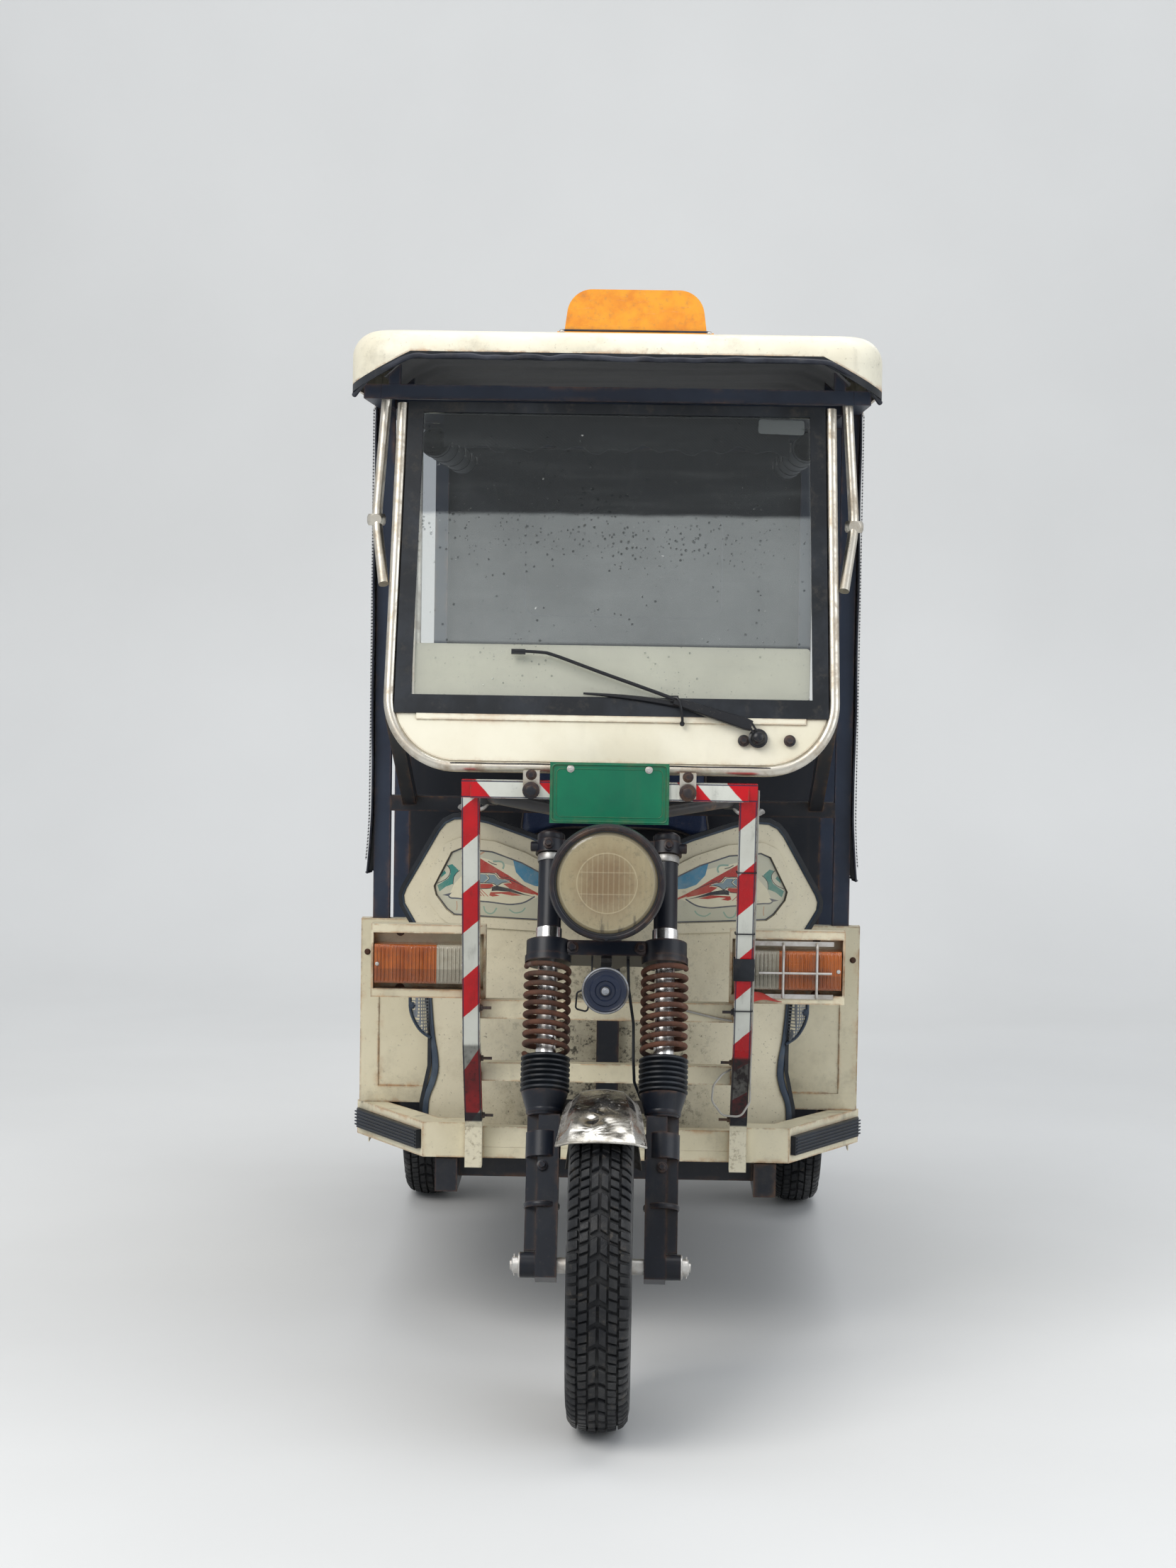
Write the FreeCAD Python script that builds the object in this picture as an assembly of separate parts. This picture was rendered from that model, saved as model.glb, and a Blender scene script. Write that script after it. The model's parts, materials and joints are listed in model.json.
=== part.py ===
"""Three-wheeled electric passenger rickshaw, with an open front fork and a canvas-sided cabin.

Millimetres, +Z up. The vehicle faces -Y and its right hand is -X. While it is modelled, Y is 0 at the
front axle; on export everything moves back so that the origin is below the middle of its length.
"""

import math
import os

import FreeCAD
import Part

V = FreeCAD.Vector
X_AXIS, Y_AXIS, Z_AXIS = V(1, 0, 0), V(0, 1, 0), V(0, 0, 1)

# Driving sizes of the whole vehicle
LENGTH = 2760.0
WHEELBASE = 2050.0
BODY_HALF_WIDTH = 460.0
REAR_HALF_TRACK = BODY_HALF_WIDTH - 51.0
SEAT_GAP = 0.3  # gap between a loose piece and what carries it
RUN_GAP = 0.05  # radial clearance of a shaft that turns in a bore

# Wheels
TYRE_R = 266.0
TYRE_WIDTH = 106.0
RIM_R = 156.0
RIM_WIDTH = 89.0
RIM_WALL = 4.0
DRUM_R = 78.0
DRUM_WIDTH = 72.0
AXLE_R = 8.0
HUB_R = 24.0
SPOKE_HOLES = 8
SPOKE_HOLE_R = 15.0
WHEEL_NUTS = 4

# Fork and steering
RAKE = 22.0
FORK_OFFSET = 45.0  # legs ahead of the steering axis
LEG_X = 98.0
LEG_BOTTOM = -24.0  # along the leg from the axle
SLIDER_WIDTH = 54.0
SLIDER_DEPTH = 46.0
SLIDER_TOP = 286.0
GAITER_TOP = 348.0
GAITER_R = 41.0
GAITER_RIBS = 7
SPRING_TOP = 508.0
SPRING_R = 35.5
SPRING_WIRE = 4.6
SPRING_TURNS = 9
STANCHION_R = 17.0
LOWER_YOKE_LOW = 520.0
LOWER_YOKE_HIGH = 546.0
UPPER_YOKE_LOW = 700.0
UPPER_YOKE_HIGH = 722.0
EAR_R = 20.0
STEM_R = 14.0
HEAD_TUBE_R = 25.0

# Headlamp, horn and front mudguard
LAMP_Z = 883.0
LAMP_FRONT = 96.0
LAMP_RIM_R = 97.0
LAMP_LENS_R = 84.0
LAMP_DEPTH = 128.0
HORN_R = 37.0
HORN_Z = 704.0
MUDGUARD_GAP = 19.0
MUDGUARD_WIDTH = 140.0
MUDGUARD_SKIRT = 22.0
MUDGUARD_ARC = (36.0, 64.0)  # ahead of and behind the wheel's top
SHEET = 2.5

# Handlebar
BAR_R = 11.0
GRIP_R = 16.0
GRIP_X = 235.0
GRIP_LENGTH = 104.0
GRIP_Y = 490.0
GRIP_Z = 1000.0

# Guard frame in front of the leg shield
GUARD_X = 235.0
GUARD_TUBE = 30.0
GUARD_TOP = (250.0, 1041.0)  # Y and Z of the frame's three bends, from the top down
GUARD_KNEE = (384.0, 578.0)
GUARD_FOOT = (506.0, 413.0)
GUARD_END_Z = 336.0
RAIL_HEIGHT = 33.0
RAIL_TOPS = (651.0, 532.0, 405.0)
RAIL_DEPTH = 26.0
PLATE_SIZE = (201.0, 103.0)
PLATE_LOW = 971.0
WIRE_R = 1.8
CABLE_R = 2.5
LEAD_R = 1.5

# Bumper
BUMPER_FRONT = 521.0
BUMPER_LOW = 348.6
BUMPER_HIGH = 411.0
BUMPER_DEPTH = 52.0
BUMPER_CORNER_X = 327.0
BUMPER_END = (BODY_HALF_WIDTH + 5.0, 762.0)
BUMPER_MID_HIGH = 368.0
TRIM_HEIGHT = 34.0
TRIM_DEPTH = 10.0

# Lamp trays behind the guard frame
TRAY_X = (212.0, 412.0)
TRAY_Z = (651.3, 779.0)
TRAY_Y = (386.0, 418.0)
TRAY_LIP = 15.0
LENS_X = (247.0, 297.0, 405.0)  # inner end, colour break, outer end
LENS_Z = (677.0, 745.0)
LENS_PROUD = 14.0

# Leg shield
SHIELD_Y = 600.0
SHIELD_R = 900.0
SHIELD_WALL = 4.0
SHIELD_LOW = 349.0
PIPING = 7.0
SHIELD_OUTLINE = (  # half width and height, from the middle of the top down one side
    (0, 880), (60, 882), (145, 918), (222, 943), (262, 950), (286, 948), (303, 939), (315, 924), (376, 816),
    (381, 802), (379, 786), (347, 734), (328, 640), (322, 560), (322, 492), (336, 425), (336, SHIELD_LOW),
)
SHIELD_COLLAR = 18.0  # width of the raised collar round each wing's recess
SHIELD_PANEL = (  # recess on each wing
    (112, 848), (160, 872), (214, 890), (272, 894), (290, 886), (322, 822), (318, 806), (298, 780),
    (284, 770), (112, 766),
)

# Floor, chassis and posts
FLOOR_Z = 345.0
FLOOR_PLATE = 3.0
FLOOR_FRONT = 580.0
SILL_FRONT = 1030.0
FRONT_MEMBER = 300.0  # half length of the foremost cross member
KICK_Y = 1790.0
CHASSIS_X = 285.0
CHASSIS_TUBE = (40.0, 60.0)
REAR_RAIL_Z = 452.0  # top of the raised rear rails
BODY_REAR = 2420.0
POST = 30.0
POST_X = BODY_HALF_WIDTH - 35.3
POST_Y = (765.0, 1252.0, 2385.0)
ROOF_RAIL_Z = 1690.0  # underside of the roof rails
ROOF_RAIL = 25.0
BOW_X = POST_X - 28.7
PANEL_Y = 740.0
PANEL_DEPTH = 30.0
PANEL_Z = (BUMPER_HIGH + SEAT_GAP, 752.0)
DASH_Z = 952.0

# Windscreen assembly, in its own sloped plane
SCREEN_Y = 280.0
SCREEN_LOW = 1052.0
SCREEN_SLOPE = 13.0
SCREEN_TUBE_R = 9.5
SCREEN_HALF_LOW = 382.0
SCREEN_HALF_HIGH = 370.0
SCREEN_HEIGHT = 662.0
SCREEN_BEND = 118.0
SEAL_LOW = 100.0
SEAL_HIGH = 648.0
SEAL_SIDE = 27.0
SEAL_BOTTOM = 32.0
SEAL_TOP = 18.0
SEAL_DEPTH = 16.0
GLASS = 5.0

# Roof
ROOF_FRONT = 300.0
ROOF_REAR = 2494.0
ROOF_HALF = BODY_HALF_WIDTH - 5.0
ROOF_LOW = 1705.0
ROOF_TOP = 1802.0
ROOF_WALL = 5.0
# Half width, front, rear and height of the raised crown panel
ROOF_PANEL = (ROOF_HALF - 105.0, 640.0, 2390.0, 4.0)
ROOF_EDGE_R = 46.0
RIM_MID_Z = 1764.0
RIM_BEND_X = ROOF_HALF - 105.0
EDGING = 13.0
EDGING_DEPTH = 11.0
SIGN_X = 30.0
SIGN_Y = 500.0
SIGN_HALF = 124.0
SIGN_HEIGHT = 84.0
SIGN_DEPTH = 78.0

# Seats
PLINTH_Y = (950.0, 1480.0)
PLINTH_HALF = BODY_HALF_WIDTH - 60.0
PLINTH_TOP = 615.0
PLINTH_WALL = 20.0
FOOTWELL_HALF = PLINTH_HALF + 5.0  # the footwell sheet lies between the doorway poles
REAR_PLINTH_Y = (1800.0, 2410.0)
REAR_PLINTH_HALF = REAR_HALF_TRACK - 74.0
CUSHION = 78.0
BATTERY = (520.0, 480.0, 236.0)

# Body side and rear panels
SIDE_WALL = 20.0
ARCH_GAP = 38.0
SIDE_LOW = 300.0
SIDE_HIGH = 690.0
REAR_PANEL_HIGH = 1080.0

# Canvas
CANVAS = 6.0
CURTAIN_LOW = 835.0
CURTAIN_Y = (735.0, 965.0)
ROLL_R = 34.0
BUMPER_TUBE_R = 16.0
POLE_Y = 1522.0

# Rear axle
AXLE_TUBE_R = 27.0
DIFF_R = 82.0
MOTOR_R = 78.0
MOTOR_LENGTH = 185.0
SPRING_HALF_SPAN = 240.0
LEAF_WIDTH = 50.0
LEAF = 7.0
LEAVES = 4

FRONT_AXLE_Y = TYRE_R - LENGTH / 2
REAR_END = LENGTH - TYRE_R  # Y of the rearmost point while the front axle is at Y 0


def box(x0, x1, y0, y1, z0, z1):
    """A block between two corners."""
    return Part.makeBox(x1 - x0, y1 - y0, z1 - z0, V(x0, y0, z0))


def bar(start, end, radius):
    """A round bar between two points."""
    way = end - start
    return Part.makeCylinder(radius, way.Length, start, way)


def ring(centre, axis, outer, inner, length):
    """A tube of the given length that starts at centre and runs along axis."""
    return Part.makeCylinder(outer, length, centre, axis).cut(Part.makeCylinder(inner, length, centre, axis))


def polygon(points):
    """A closed flat face through the points."""
    return Part.Face(Part.makePolygon([*points, points[0]]))


def profile_x(points, x0, x1):
    """A side profile of (Y, Z) points, pulled from x0 to x1."""
    return polygon([V(x0, y, z) for y, z in points]).extrude(V(x1 - x0, 0, 0))


def profile_y(points, y0, y1):
    """A front profile of (X, Z) points, pulled from y0 to y1."""
    return polygon([V(x, y0, z) for x, z in points]).extrude(V(0, y1 - y0, 0))


def profile_z(points, z0, z1):
    """A plan of (X, Y) points, pulled from z0 to z1."""
    return polygon([V(x, y, z0) for x, y in points]).extrude(V(0, 0, z1 - z0))


def mirrored(shape):
    """The same shape on the other side of the vehicle."""
    return shape.mirror(V(0, 0, 0), X_AXIS)


def both(shape):
    """A shape and its mirror image, as solids that don't touch."""
    return Part.makeCompound([*shape.Solids, *mirrored(shape).Solids])


def joined(shapes):
    """One solid from shapes that overlap or meet."""
    shapes = list(shapes)
    return shapes[0].fuse(shapes[1:]).removeSplitter()


def rounded_path(points, bend):
    """Straight runs through the points, with a tangent arc of the bend radius at each inner point."""
    edges = []
    last = points[0]
    for before, corner, after in zip(points, points[1:], points[2:]):
        into = (before - corner).normalize()
        out = (after - corner).normalize()
        half = into.getAngle(out) / 2
        cut = bend / math.tan(half)
        first, final = corner + into * cut, corner + out * cut
        middle = (into + out).normalize()
        crown = corner + middle * (bend / math.sin(half) - bend)
        edges.append(Part.LineSegment(last, first).toShape())
        edges.append(Part.Arc(first, crown, final).toShape())
        last = final
    edges.append(Part.LineSegment(last, points[-1]).toShape())
    return Part.Wire(edges)


def pipe(points, radius, bend):
    """A round tube, drawn solid, that follows straight runs and tangent bends."""
    path = rounded_path(points, bend)
    start = Part.Wire(Part.makeCircle(radius, points[0], points[1] - points[0]))
    return path.makePipeShell([start], True, False)


def turned_x(profile, x0, y, z):
    """A round piece about an axis along X: the profile holds (X, radius) points in order."""
    face = polygon([V(x0 + x, y, z + r) for x, r in profile])
    return face.revolve(V(x0, y, z), X_AXIS, 360)


# Wheels


def tyre(x, y):
    """A tyre with a rounded crown and bulging sides, closed over the rim's width."""
    half = TYRE_WIDTH / 2
    shoulder, belly, bead = TYRE_R - 24, TYRE_R - 58, RIM_R + SEAT_GAP
    bead_x = RIM_WIDTH / 2 - 7.5

    def at(dx, r):
        return V(x + dx, y, TYRE_R + r)

    edges = [
        Part.Arc(at(-half + 8, shoulder), at(0, TYRE_R), at(half - 8, shoulder)).toShape(),
        Part.Arc(at(half - 8, shoulder), at(half, belly), at(bead_x, bead)).toShape(),
        Part.LineSegment(at(bead_x, bead), at(-bead_x, bead)).toShape(),
        Part.Arc(at(-bead_x, bead), at(-half, belly), at(-half + 8, shoulder)).toShape(),
    ]
    return Part.Face(Part.Wire(edges)).revolve(V(x, y, TYRE_R), X_AXIS, 360)


def wheel_disc(x, y, outward, stub):
    """Pressed rim, pierced web, brake drum and hub as one casting; outward is the outer side's sign."""
    half = RIM_WIDTH / 2
    well = RIM_R - 16
    channel = [
        (-half, RIM_R + 6), (-half + 3, RIM_R + 6), (-half + 3.5, RIM_R), (-half + 9, RIM_R), (-20, well),
        (20, well),
        (half - 9, RIM_R), (half - 3.5, RIM_R), (half - 3, RIM_R + 6), (half, RIM_R + 6),
        (half, RIM_R - RIM_WALL),
        (24, well - RIM_WALL), (-24, well - RIM_WALL), (-half, RIM_R - RIM_WALL),
    ]
    rim = turned_x(channel, x, y, TYRE_R)
    web = Part.makeCylinder(well, 6, V(x + outward * 6 - 3, y, TYRE_R), X_AXIS)
    drum = Part.makeCylinder(DRUM_R, DRUM_WIDTH, V(x - DRUM_WIDTH / 2, y, TYRE_R), X_AXIS)
    hub = Part.makeCylinder(HUB_R, DRUM_WIDTH + 18, V(x - DRUM_WIDTH / 2 - 9, y, TYRE_R), X_AXIS)
    disc = joined([rim, web, drum, hub])
    for i in range(SPOKE_HOLES):
        turn = 2 * math.pi * i / SPOKE_HOLES
        reach = (DRUM_R + well) / 2
        at = V(x - 60, y + reach * math.sin(turn), TYRE_R + reach * math.cos(turn))
        disc = disc.cut(Part.makeCylinder(SPOKE_HOLE_R, 120, at, X_AXIS))
    for i in range(WHEEL_NUTS):
        turn = 2 * math.pi * (i + 0.5) / WHEEL_NUTS
        at = V(x + outward * DRUM_WIDTH / 2, y + 48 * math.sin(turn), TYRE_R + 48 * math.cos(turn))
        disc = disc.fuse(Part.makeCylinder(9, 10, at, X_AXIS * outward))
    depth = DRUM_WIDTH + 40 if stub is None else stub
    if stub is None:
        bore = Part.makeCylinder(AXLE_R + RUN_GAP, depth, V(x - depth / 2, y, TYRE_R), X_AXIS)
    else:
        mouth = V(x - outward * (DRUM_WIDTH / 2 + 9), y, TYRE_R)
        bore = Part.makeCylinder(AXLE_R * 2 + RUN_GAP, depth, mouth, X_AXIS * outward)
    return disc.cut(bore).removeSplitter()


# Fork: drawn upright from the axle, with the legs along Z, and then raked back about the axle


def raked(shape):
    """Leans an upright fork piece back about the front axle."""
    out = shape.copy()
    out.translate(V(0, 0, TYRE_R))
    out.rotate(V(0, 0, TYRE_R), X_AXIS, -RAKE)
    return out


def on_leg(x, y, s):
    """The place of an upright fork point after the rake."""
    a = math.radians(RAKE)
    return V(x, y * math.cos(a) + s * math.sin(a), TYRE_R - y * math.sin(a) + s * math.cos(a))


def fork_sliders():
    """Lower legs: a flanged bar with an axle boss, and a flared cup that carries the gaiter."""
    shaft = box(LEG_X - SLIDER_WIDTH / 2, LEG_X + 8, -SLIDER_DEPTH / 2, SLIDER_DEPTH / 2, LEG_BOTTOM,
                SLIDER_TOP - 40)
    flange = box(LEG_X + 8, LEG_X + SLIDER_WIDTH / 2, -8, 8, LEG_BOTTOM + 46, SLIDER_TOP - 30)
    boss = Part.makeCylinder(21, SLIDER_WIDTH + 6, V(LEG_X - SLIDER_WIDTH / 2, 0, 0), X_AXIS)
    joint = Part.makeCylinder(29, 42, V(LEG_X, 0, 176), Z_AXIS)
    cup = Part.makeCone(27, GAITER_R - 2, 40, V(LEG_X, 0, SLIDER_TOP - 40), Z_AXIS)
    leg = joined([shaft, flange, boss, joint, cup])
    leg = leg.cut(Part.makeCylinder(AXLE_R + SEAT_GAP, 120, V(LEG_X - 60, 0, 0), X_AXIS))
    return raked(both(leg))


def fork_gaiters():
    """Ribbed rubber gaiters on the cups, one turned profile with a rib per pitch."""
    pitch = (GAITER_TOP - SLIDER_TOP - SEAT_GAP) / GAITER_RIBS
    low = SLIDER_TOP + SEAT_GAP
    outline = [V(LEG_X + STANCHION_R + SEAT_GAP, 0, low)]
    for i in range(GAITER_RIBS):
        z = low + i * pitch
        outline += [V(LEG_X + GAITER_R - 6, 0, z), V(LEG_X + GAITER_R, 0, z + pitch * 0.35)]
        outline += [V(LEG_X + GAITER_R, 0, z + pitch * 0.65), V(LEG_X + GAITER_R - 6, 0, z + pitch)]
    clean = [outline[0]]
    for point in outline[1:]:
        if (point - clean[-1]).Length > 1e-6:
            clean.append(point)
    clean.append(V(LEG_X + STANCHION_R + SEAT_GAP, 0, GAITER_TOP))
    return raked(both(polygon(clean).revolve(V(LEG_X, 0, 0), Z_AXIS, 360)))


def fork_springs():
    """Open coil springs, seated on the gaiters' tops and under the caps."""
    low = GAITER_TOP + SPRING_WIRE + SEAT_GAP
    high = SPRING_TOP - SPRING_WIRE - SEAT_GAP
    coil = Part.makeHelix((high - low) / SPRING_TURNS, high - low, SPRING_R)
    start = Part.Wire(Part.makeCircle(SPRING_WIRE, V(SPRING_R, 0, 0), Y_AXIS))
    spring = Part.Wire(coil).makePipeShell([start], True, True)
    spring.translate(V(LEG_X, 0, low))
    return raked(both(spring))


def fork_stanchions():
    """Bright upper tubes with the collars under the headlamp ears."""
    low = SLIDER_TOP + SEAT_GAP
    tube = Part.makeCylinder(STANCHION_R, UPPER_YOKE_HIGH - low, V(LEG_X, 0, low), Z_AXIS)
    collar = Part.makeCylinder(EAR_R + 2, 22, V(LEG_X, 0, LOWER_YOKE_HIGH + SEAT_GAP), Z_AXIS)
    return raked(both(joined([tube, collar])))


def spring_caps():
    """Dark caps that close the springs below the lower clamp, loose round the upper tubes."""
    height = LOWER_YOKE_LOW - SPRING_TOP - SEAT_GAP
    return raked(both(ring(V(LEG_X, 0, SPRING_TOP), Z_AXIS, GAITER_R - 2, STANCHION_R + SEAT_GAP, height)))


def fork_yokes():
    """Both clamps with the steering stem, the headlamp ears and the axle."""
    reach = FORK_OFFSET
    parts = []
    for low, high, radius in (
        (LOWER_YOKE_LOW, LOWER_YOKE_HIGH, GAITER_R - 4),
        (UPPER_YOKE_LOW, UPPER_YOKE_HIGH, EAR_R + 6),
    ):
        thick = high - low
        parts.append(box(-LEG_X, LEG_X, -16, reach + 8, low, high))
        for x in (-LEG_X, LEG_X):
            parts.append(Part.makeCylinder(radius, thick, V(x, 0, low), Z_AXIS))
        parts.append(Part.makeCylinder(HEAD_TUBE_R + 4, thick, V(0, reach, low), Z_AXIS))
    parts.append(Part.makeCylinder(STEM_R, UPPER_YOKE_HIGH - LOWER_YOKE_LOW, V(0, reach, LOWER_YOKE_LOW),
                                   Z_AXIS))
    yoke = joined(parts)
    for x in (-LEG_X, LEG_X):
        yoke = yoke.cut(Part.makeCylinder(STANCHION_R + SEAT_GAP, UPPER_YOKE_HIGH, V(x, 0, 100), Z_AXIS))
    return raked(yoke)


def headlamp_ears():
    """Painted covers round the upper tubes, with the brackets that hold the headlamp."""
    low = LOWER_YOKE_HIGH + 22 + SEAT_GAP * 2
    high = UPPER_YOKE_LOW - SEAT_GAP
    cover = raked(ring(V(LEG_X, 0, low), Z_AXIS, EAR_R, STANCHION_R + SEAT_GAP, high - low))
    side = LAMP_RIM_R - 14 + SEAT_GAP
    leg_y = on_leg(0, 0, (LAMP_Z - TYRE_R) / math.cos(math.radians(RAKE))).y
    arm = box(side, side + 5, LAMP_FRONT + 30, leg_y, LAMP_Z - 17, LAMP_Z + 17)
    inside = raked(Part.makeCylinder(STANCHION_R + SEAT_GAP, UPPER_YOKE_HIGH, V(LEG_X, 0, 0), Z_AXIS))
    return both(joined([cover, arm]).cut(inside))


def headlamp_shell():
    """Round headlamp bowl and rim, hollowed as a reflector behind the lens."""
    back = LAMP_FRONT + LAMP_DEPTH
    body_r, mouth = LAMP_RIM_R - 14, LAMP_LENS_R + SEAT_GAP
    step = LAMP_FRONT + 16
    profile = [
        (mouth, LAMP_FRONT), (LAMP_RIM_R - 4, LAMP_FRONT), (LAMP_RIM_R, LAMP_FRONT + 6),
        (LAMP_RIM_R, LAMP_FRONT + 24), (body_r, LAMP_FRONT + 30), (body_r - 2, back - 70),
        (body_r - 8, back - 48),
        (body_r - 22, back - 26), (body_r - 46, back - 10), (16, back), (0, back), (0, step + 82),
        (12, step + 82),
        (30, step + 76), (52, step + 52), (68, step + 22), (LAMP_LENS_R - 8, step), (mouth, step),
    ]
    bowl = polygon([V(r, y, 0) for r, y in profile]).revolve(V(0, 0, 0), Y_AXIS, 360)
    bowl.translate(V(0, 0, LAMP_Z))
    return bowl


def headlamp_lens():
    """Domed headlamp glass, seated on the bowl's step."""
    seat = LAMP_FRONT + 16 - SEAT_GAP
    crown = LAMP_FRONT - 7
    edges = [
        Part.Arc(V(0, crown, 0), V(LAMP_LENS_R * 0.55, crown + 2.6, 0),
                 V(LAMP_LENS_R, LAMP_FRONT + 3, 0)).toShape(),
        Part.LineSegment(V(LAMP_LENS_R, LAMP_FRONT + 3, 0), V(LAMP_LENS_R, seat, 0)).toShape(),
        Part.LineSegment(V(LAMP_LENS_R, seat, 0), V(0, seat, 0)).toShape(),
        Part.LineSegment(V(0, seat, 0), V(0, crown, 0)).toShape(),
    ]
    lens = Part.Face(Part.Wire(edges)).revolve(V(0, 0, 0), Y_AXIS, 360)
    lens.translate(V(0, 0, LAMP_Z))
    return lens


def horn():
    """Disc horn below the lower clamp, on its strap."""
    y = on_leg(0, 0, LOWER_YOKE_LOW).y - 92
    body = Part.makeCylinder(HORN_R, 26, V(0, y, HORN_Z), Y_AXIS)
    cone = Part.makeCone(HORN_R - 3, HORN_R - 12, 14, V(0, y + 26, HORN_Z), Y_AXIS)
    centre = Part.makeCylinder(8, 6, V(0, y - 6, HORN_Z), Y_AXIS)
    strap_top = on_leg(0, 0, LOWER_YOKE_LOW)
    strap = box(-9, 9, y + 30, strap_top.y + 6, strap_top.z - 14, strap_top.z - 8)
    drop = box(-9, 9, y + 30, y + 36, HORN_Z - 8, strap_top.z - 8)
    rise = box(-9, 9, strap_top.y, strap_top.y + 6, strap_top.z - 14, strap_top.z + 14)
    piece = joined([body, cone, centre, strap, drop, rise])
    yoke = raked(box(-LEG_X, LEG_X, -16 - SEAT_GAP, FORK_OFFSET, LOWER_YOKE_LOW - SEAT_GAP,
                     LOWER_YOKE_HIGH + 20))
    return piece.cut(yoke)


def front_mudguard():
    """Bright mudguard: a crowned section turned round the wheel, notched for the legs, on its strap."""
    inner = TYRE_R + MUDGUARD_GAP
    half = MUDGUARD_WIDTH / 2
    flat = half - 22
    section = [
        (-half, inner - MUDGUARD_SKIRT), (-flat, inner + 2), (0, inner + 7), (flat, inner + 2),
        (half, inner - MUDGUARD_SKIRT), (half + SHEET, inner - MUDGUARD_SKIRT),
        (flat + 1, inner + 2 + SHEET), (0, inner + 7 + SHEET), (-flat - 1, inner + 2 + SHEET),
        (-half - SHEET, inner - MUDGUARD_SKIRT),
    ]
    face = polygon([V(x, 0, TYRE_R + r) for x, r in section])
    guard = face.revolve(V(0, 0, TYRE_R), X_AXIS, MUDGUARD_ARC[0] + MUDGUARD_ARC[1])
    guard.rotate(V(0, 0, TYRE_R), X_AXIS, -MUDGUARD_ARC[1])
    outer = GAITER_R + 1
    notch = joined([
        box(LEG_X - 30, LEG_X + 60, -outer, outer, 90, 245),
        box(LEG_X - outer, LEG_X + 60, -outer, outer, 240, 380),
    ])
    guard = guard.cut([*raked(notch).Solids, *mirrored(raked(notch)).Solids])
    behind = GAITER_R - 2 + SEAT_GAP
    strap = raked(box(-LEG_X - 14, LEG_X + 14, behind, behind + 4, SLIDER_TOP - 22, SLIDER_TOP))
    return joined([guard, strap])


def grip_ends():
    """The inner and outer end of the left grip's straight run."""
    return V(GRIP_X, GRIP_Y, GRIP_Z), V(GRIP_X + 16, GRIP_Y + GRIP_LENGTH + 8, GRIP_Z)


def handlebar():
    """Pulled-back handlebar with its riser and clamp on the upper yoke."""
    base = on_leg(0, FORK_OFFSET, UPPER_YOKE_HIGH + SEAT_GAP)
    head = on_leg(0, FORK_OFFSET, UPPER_YOKE_HIGH + 66)
    start, end = grip_ends()
    half = [V(0, head.y, head.z), V(80, head.y + 4, head.z + 4), V(192, 424, GRIP_Z - 2), start, end]
    left = [V(-p.x, p.y, p.z) for p in half[:0:-1]]
    tube = pipe([*left, *half], BAR_R, 30)
    riser = bar(base, head, STEM_R + 3)
    clamp = box(-34, 34, head.y - 15, head.y + 15, head.z - 14, head.z + 14)
    return joined([tube, riser, clamp])


def grips():
    """Rubber grips on the ends of the handlebar."""
    start, end = grip_ends()
    way = (end - start).normalize()
    sleeve = Part.makeCylinder(GRIP_R, GRIP_LENGTH, start + way * 6, way)
    sleeve = sleeve.cut(Part.makeCylinder(BAR_R + SEAT_GAP, GRIP_LENGTH + 60, start - way * 20, way))
    return both(sleeve)


# Front structure


def steering_head():
    """Head tube with the gusset that ties it to the dash bar and the front down tube."""
    low = LOWER_YOKE_HIGH + SEAT_GAP * 4
    high = UPPER_YOKE_LOW - SEAT_GAP * 4
    tube = raked(ring(V(0, FORK_OFFSET, low), Z_AXIS, HEAD_TUBE_R, STEM_R + RUN_GAP, high - low))
    top = on_leg(0, FORK_OFFSET + HEAD_TUBE_R - 6, high - 34)
    bottom = on_leg(0, FORK_OFFSET + HEAD_TUBE_R - 6, low + 8)
    gusset = profile_x(
        [(bottom.y, bottom.z), (top.y, top.z), (PANEL_Y, DASH_Z + 26), (PANEL_Y, DASH_Z - 20),
         (560, 760)], -7, 7
    )
    column = box(-20, 20, BUMPER_FRONT + BUMPER_DEPTH + 2, SHIELD_Y - SEAT_GAP, FLOOR_Z - CHASSIS_TUBE[1],
                 880)
    brace = profile_x([(575, 760), (592, 790), (PANEL_Y, DASH_Z), (PANEL_Y, DASH_Z + 26), (575, 900)],
                      -12, 12)
    return joined([tube, gusset, column, brace])


def guard_frame():
    """Two cranked uprights and the top bar."""
    half = GUARD_TUBE / 2
    lean_top = math.atan2(GUARD_KNEE[0] - GUARD_TOP[0], GUARD_TOP[1] - GUARD_KNEE[1])
    lean_foot = math.atan2(GUARD_FOOT[0] - GUARD_KNEE[0], GUARD_KNEE[1] - GUARD_FOOT[1])
    mid = (lean_top + lean_foot) / 2
    wide_knee, wide_foot = half / math.cos(mid - lean_top), half / math.cos(lean_foot / 2)
    side = []
    for sign in (-1, 1):
        line = [
            (GUARD_TOP[0] + sign * half / math.cos(lean_top), GUARD_TOP[1]),
            (GUARD_KNEE[0] + sign * wide_knee * math.cos(mid),
             GUARD_KNEE[1] + sign * wide_knee * math.sin(mid)),
            (GUARD_FOOT[0] + sign * half, GUARD_FOOT[1] + sign * wide_foot * math.sin(lean_foot / 2)),
            (GUARD_FOOT[0] + sign * half, GUARD_END_Z),
        ]
        side += line if sign < 0 else line[::-1]
    upright = profile_x(side, GUARD_X - half, GUARD_X + half)
    parts = [upright, mirrored(upright)]
    parts.append(box(-GUARD_X, GUARD_X, GUARD_TOP[0] - half, GUARD_TOP[0] + half,
                     GUARD_TOP[1] - GUARD_TUBE, GUARD_TOP[1]))
    frame = joined(parts)
    behind = box(-600, 600, BUMPER_FRONT - SEAT_GAP, BUMPER_FRONT + 200, 300, BUMPER_HIGH + 60)
    return frame.cut(behind)


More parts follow.
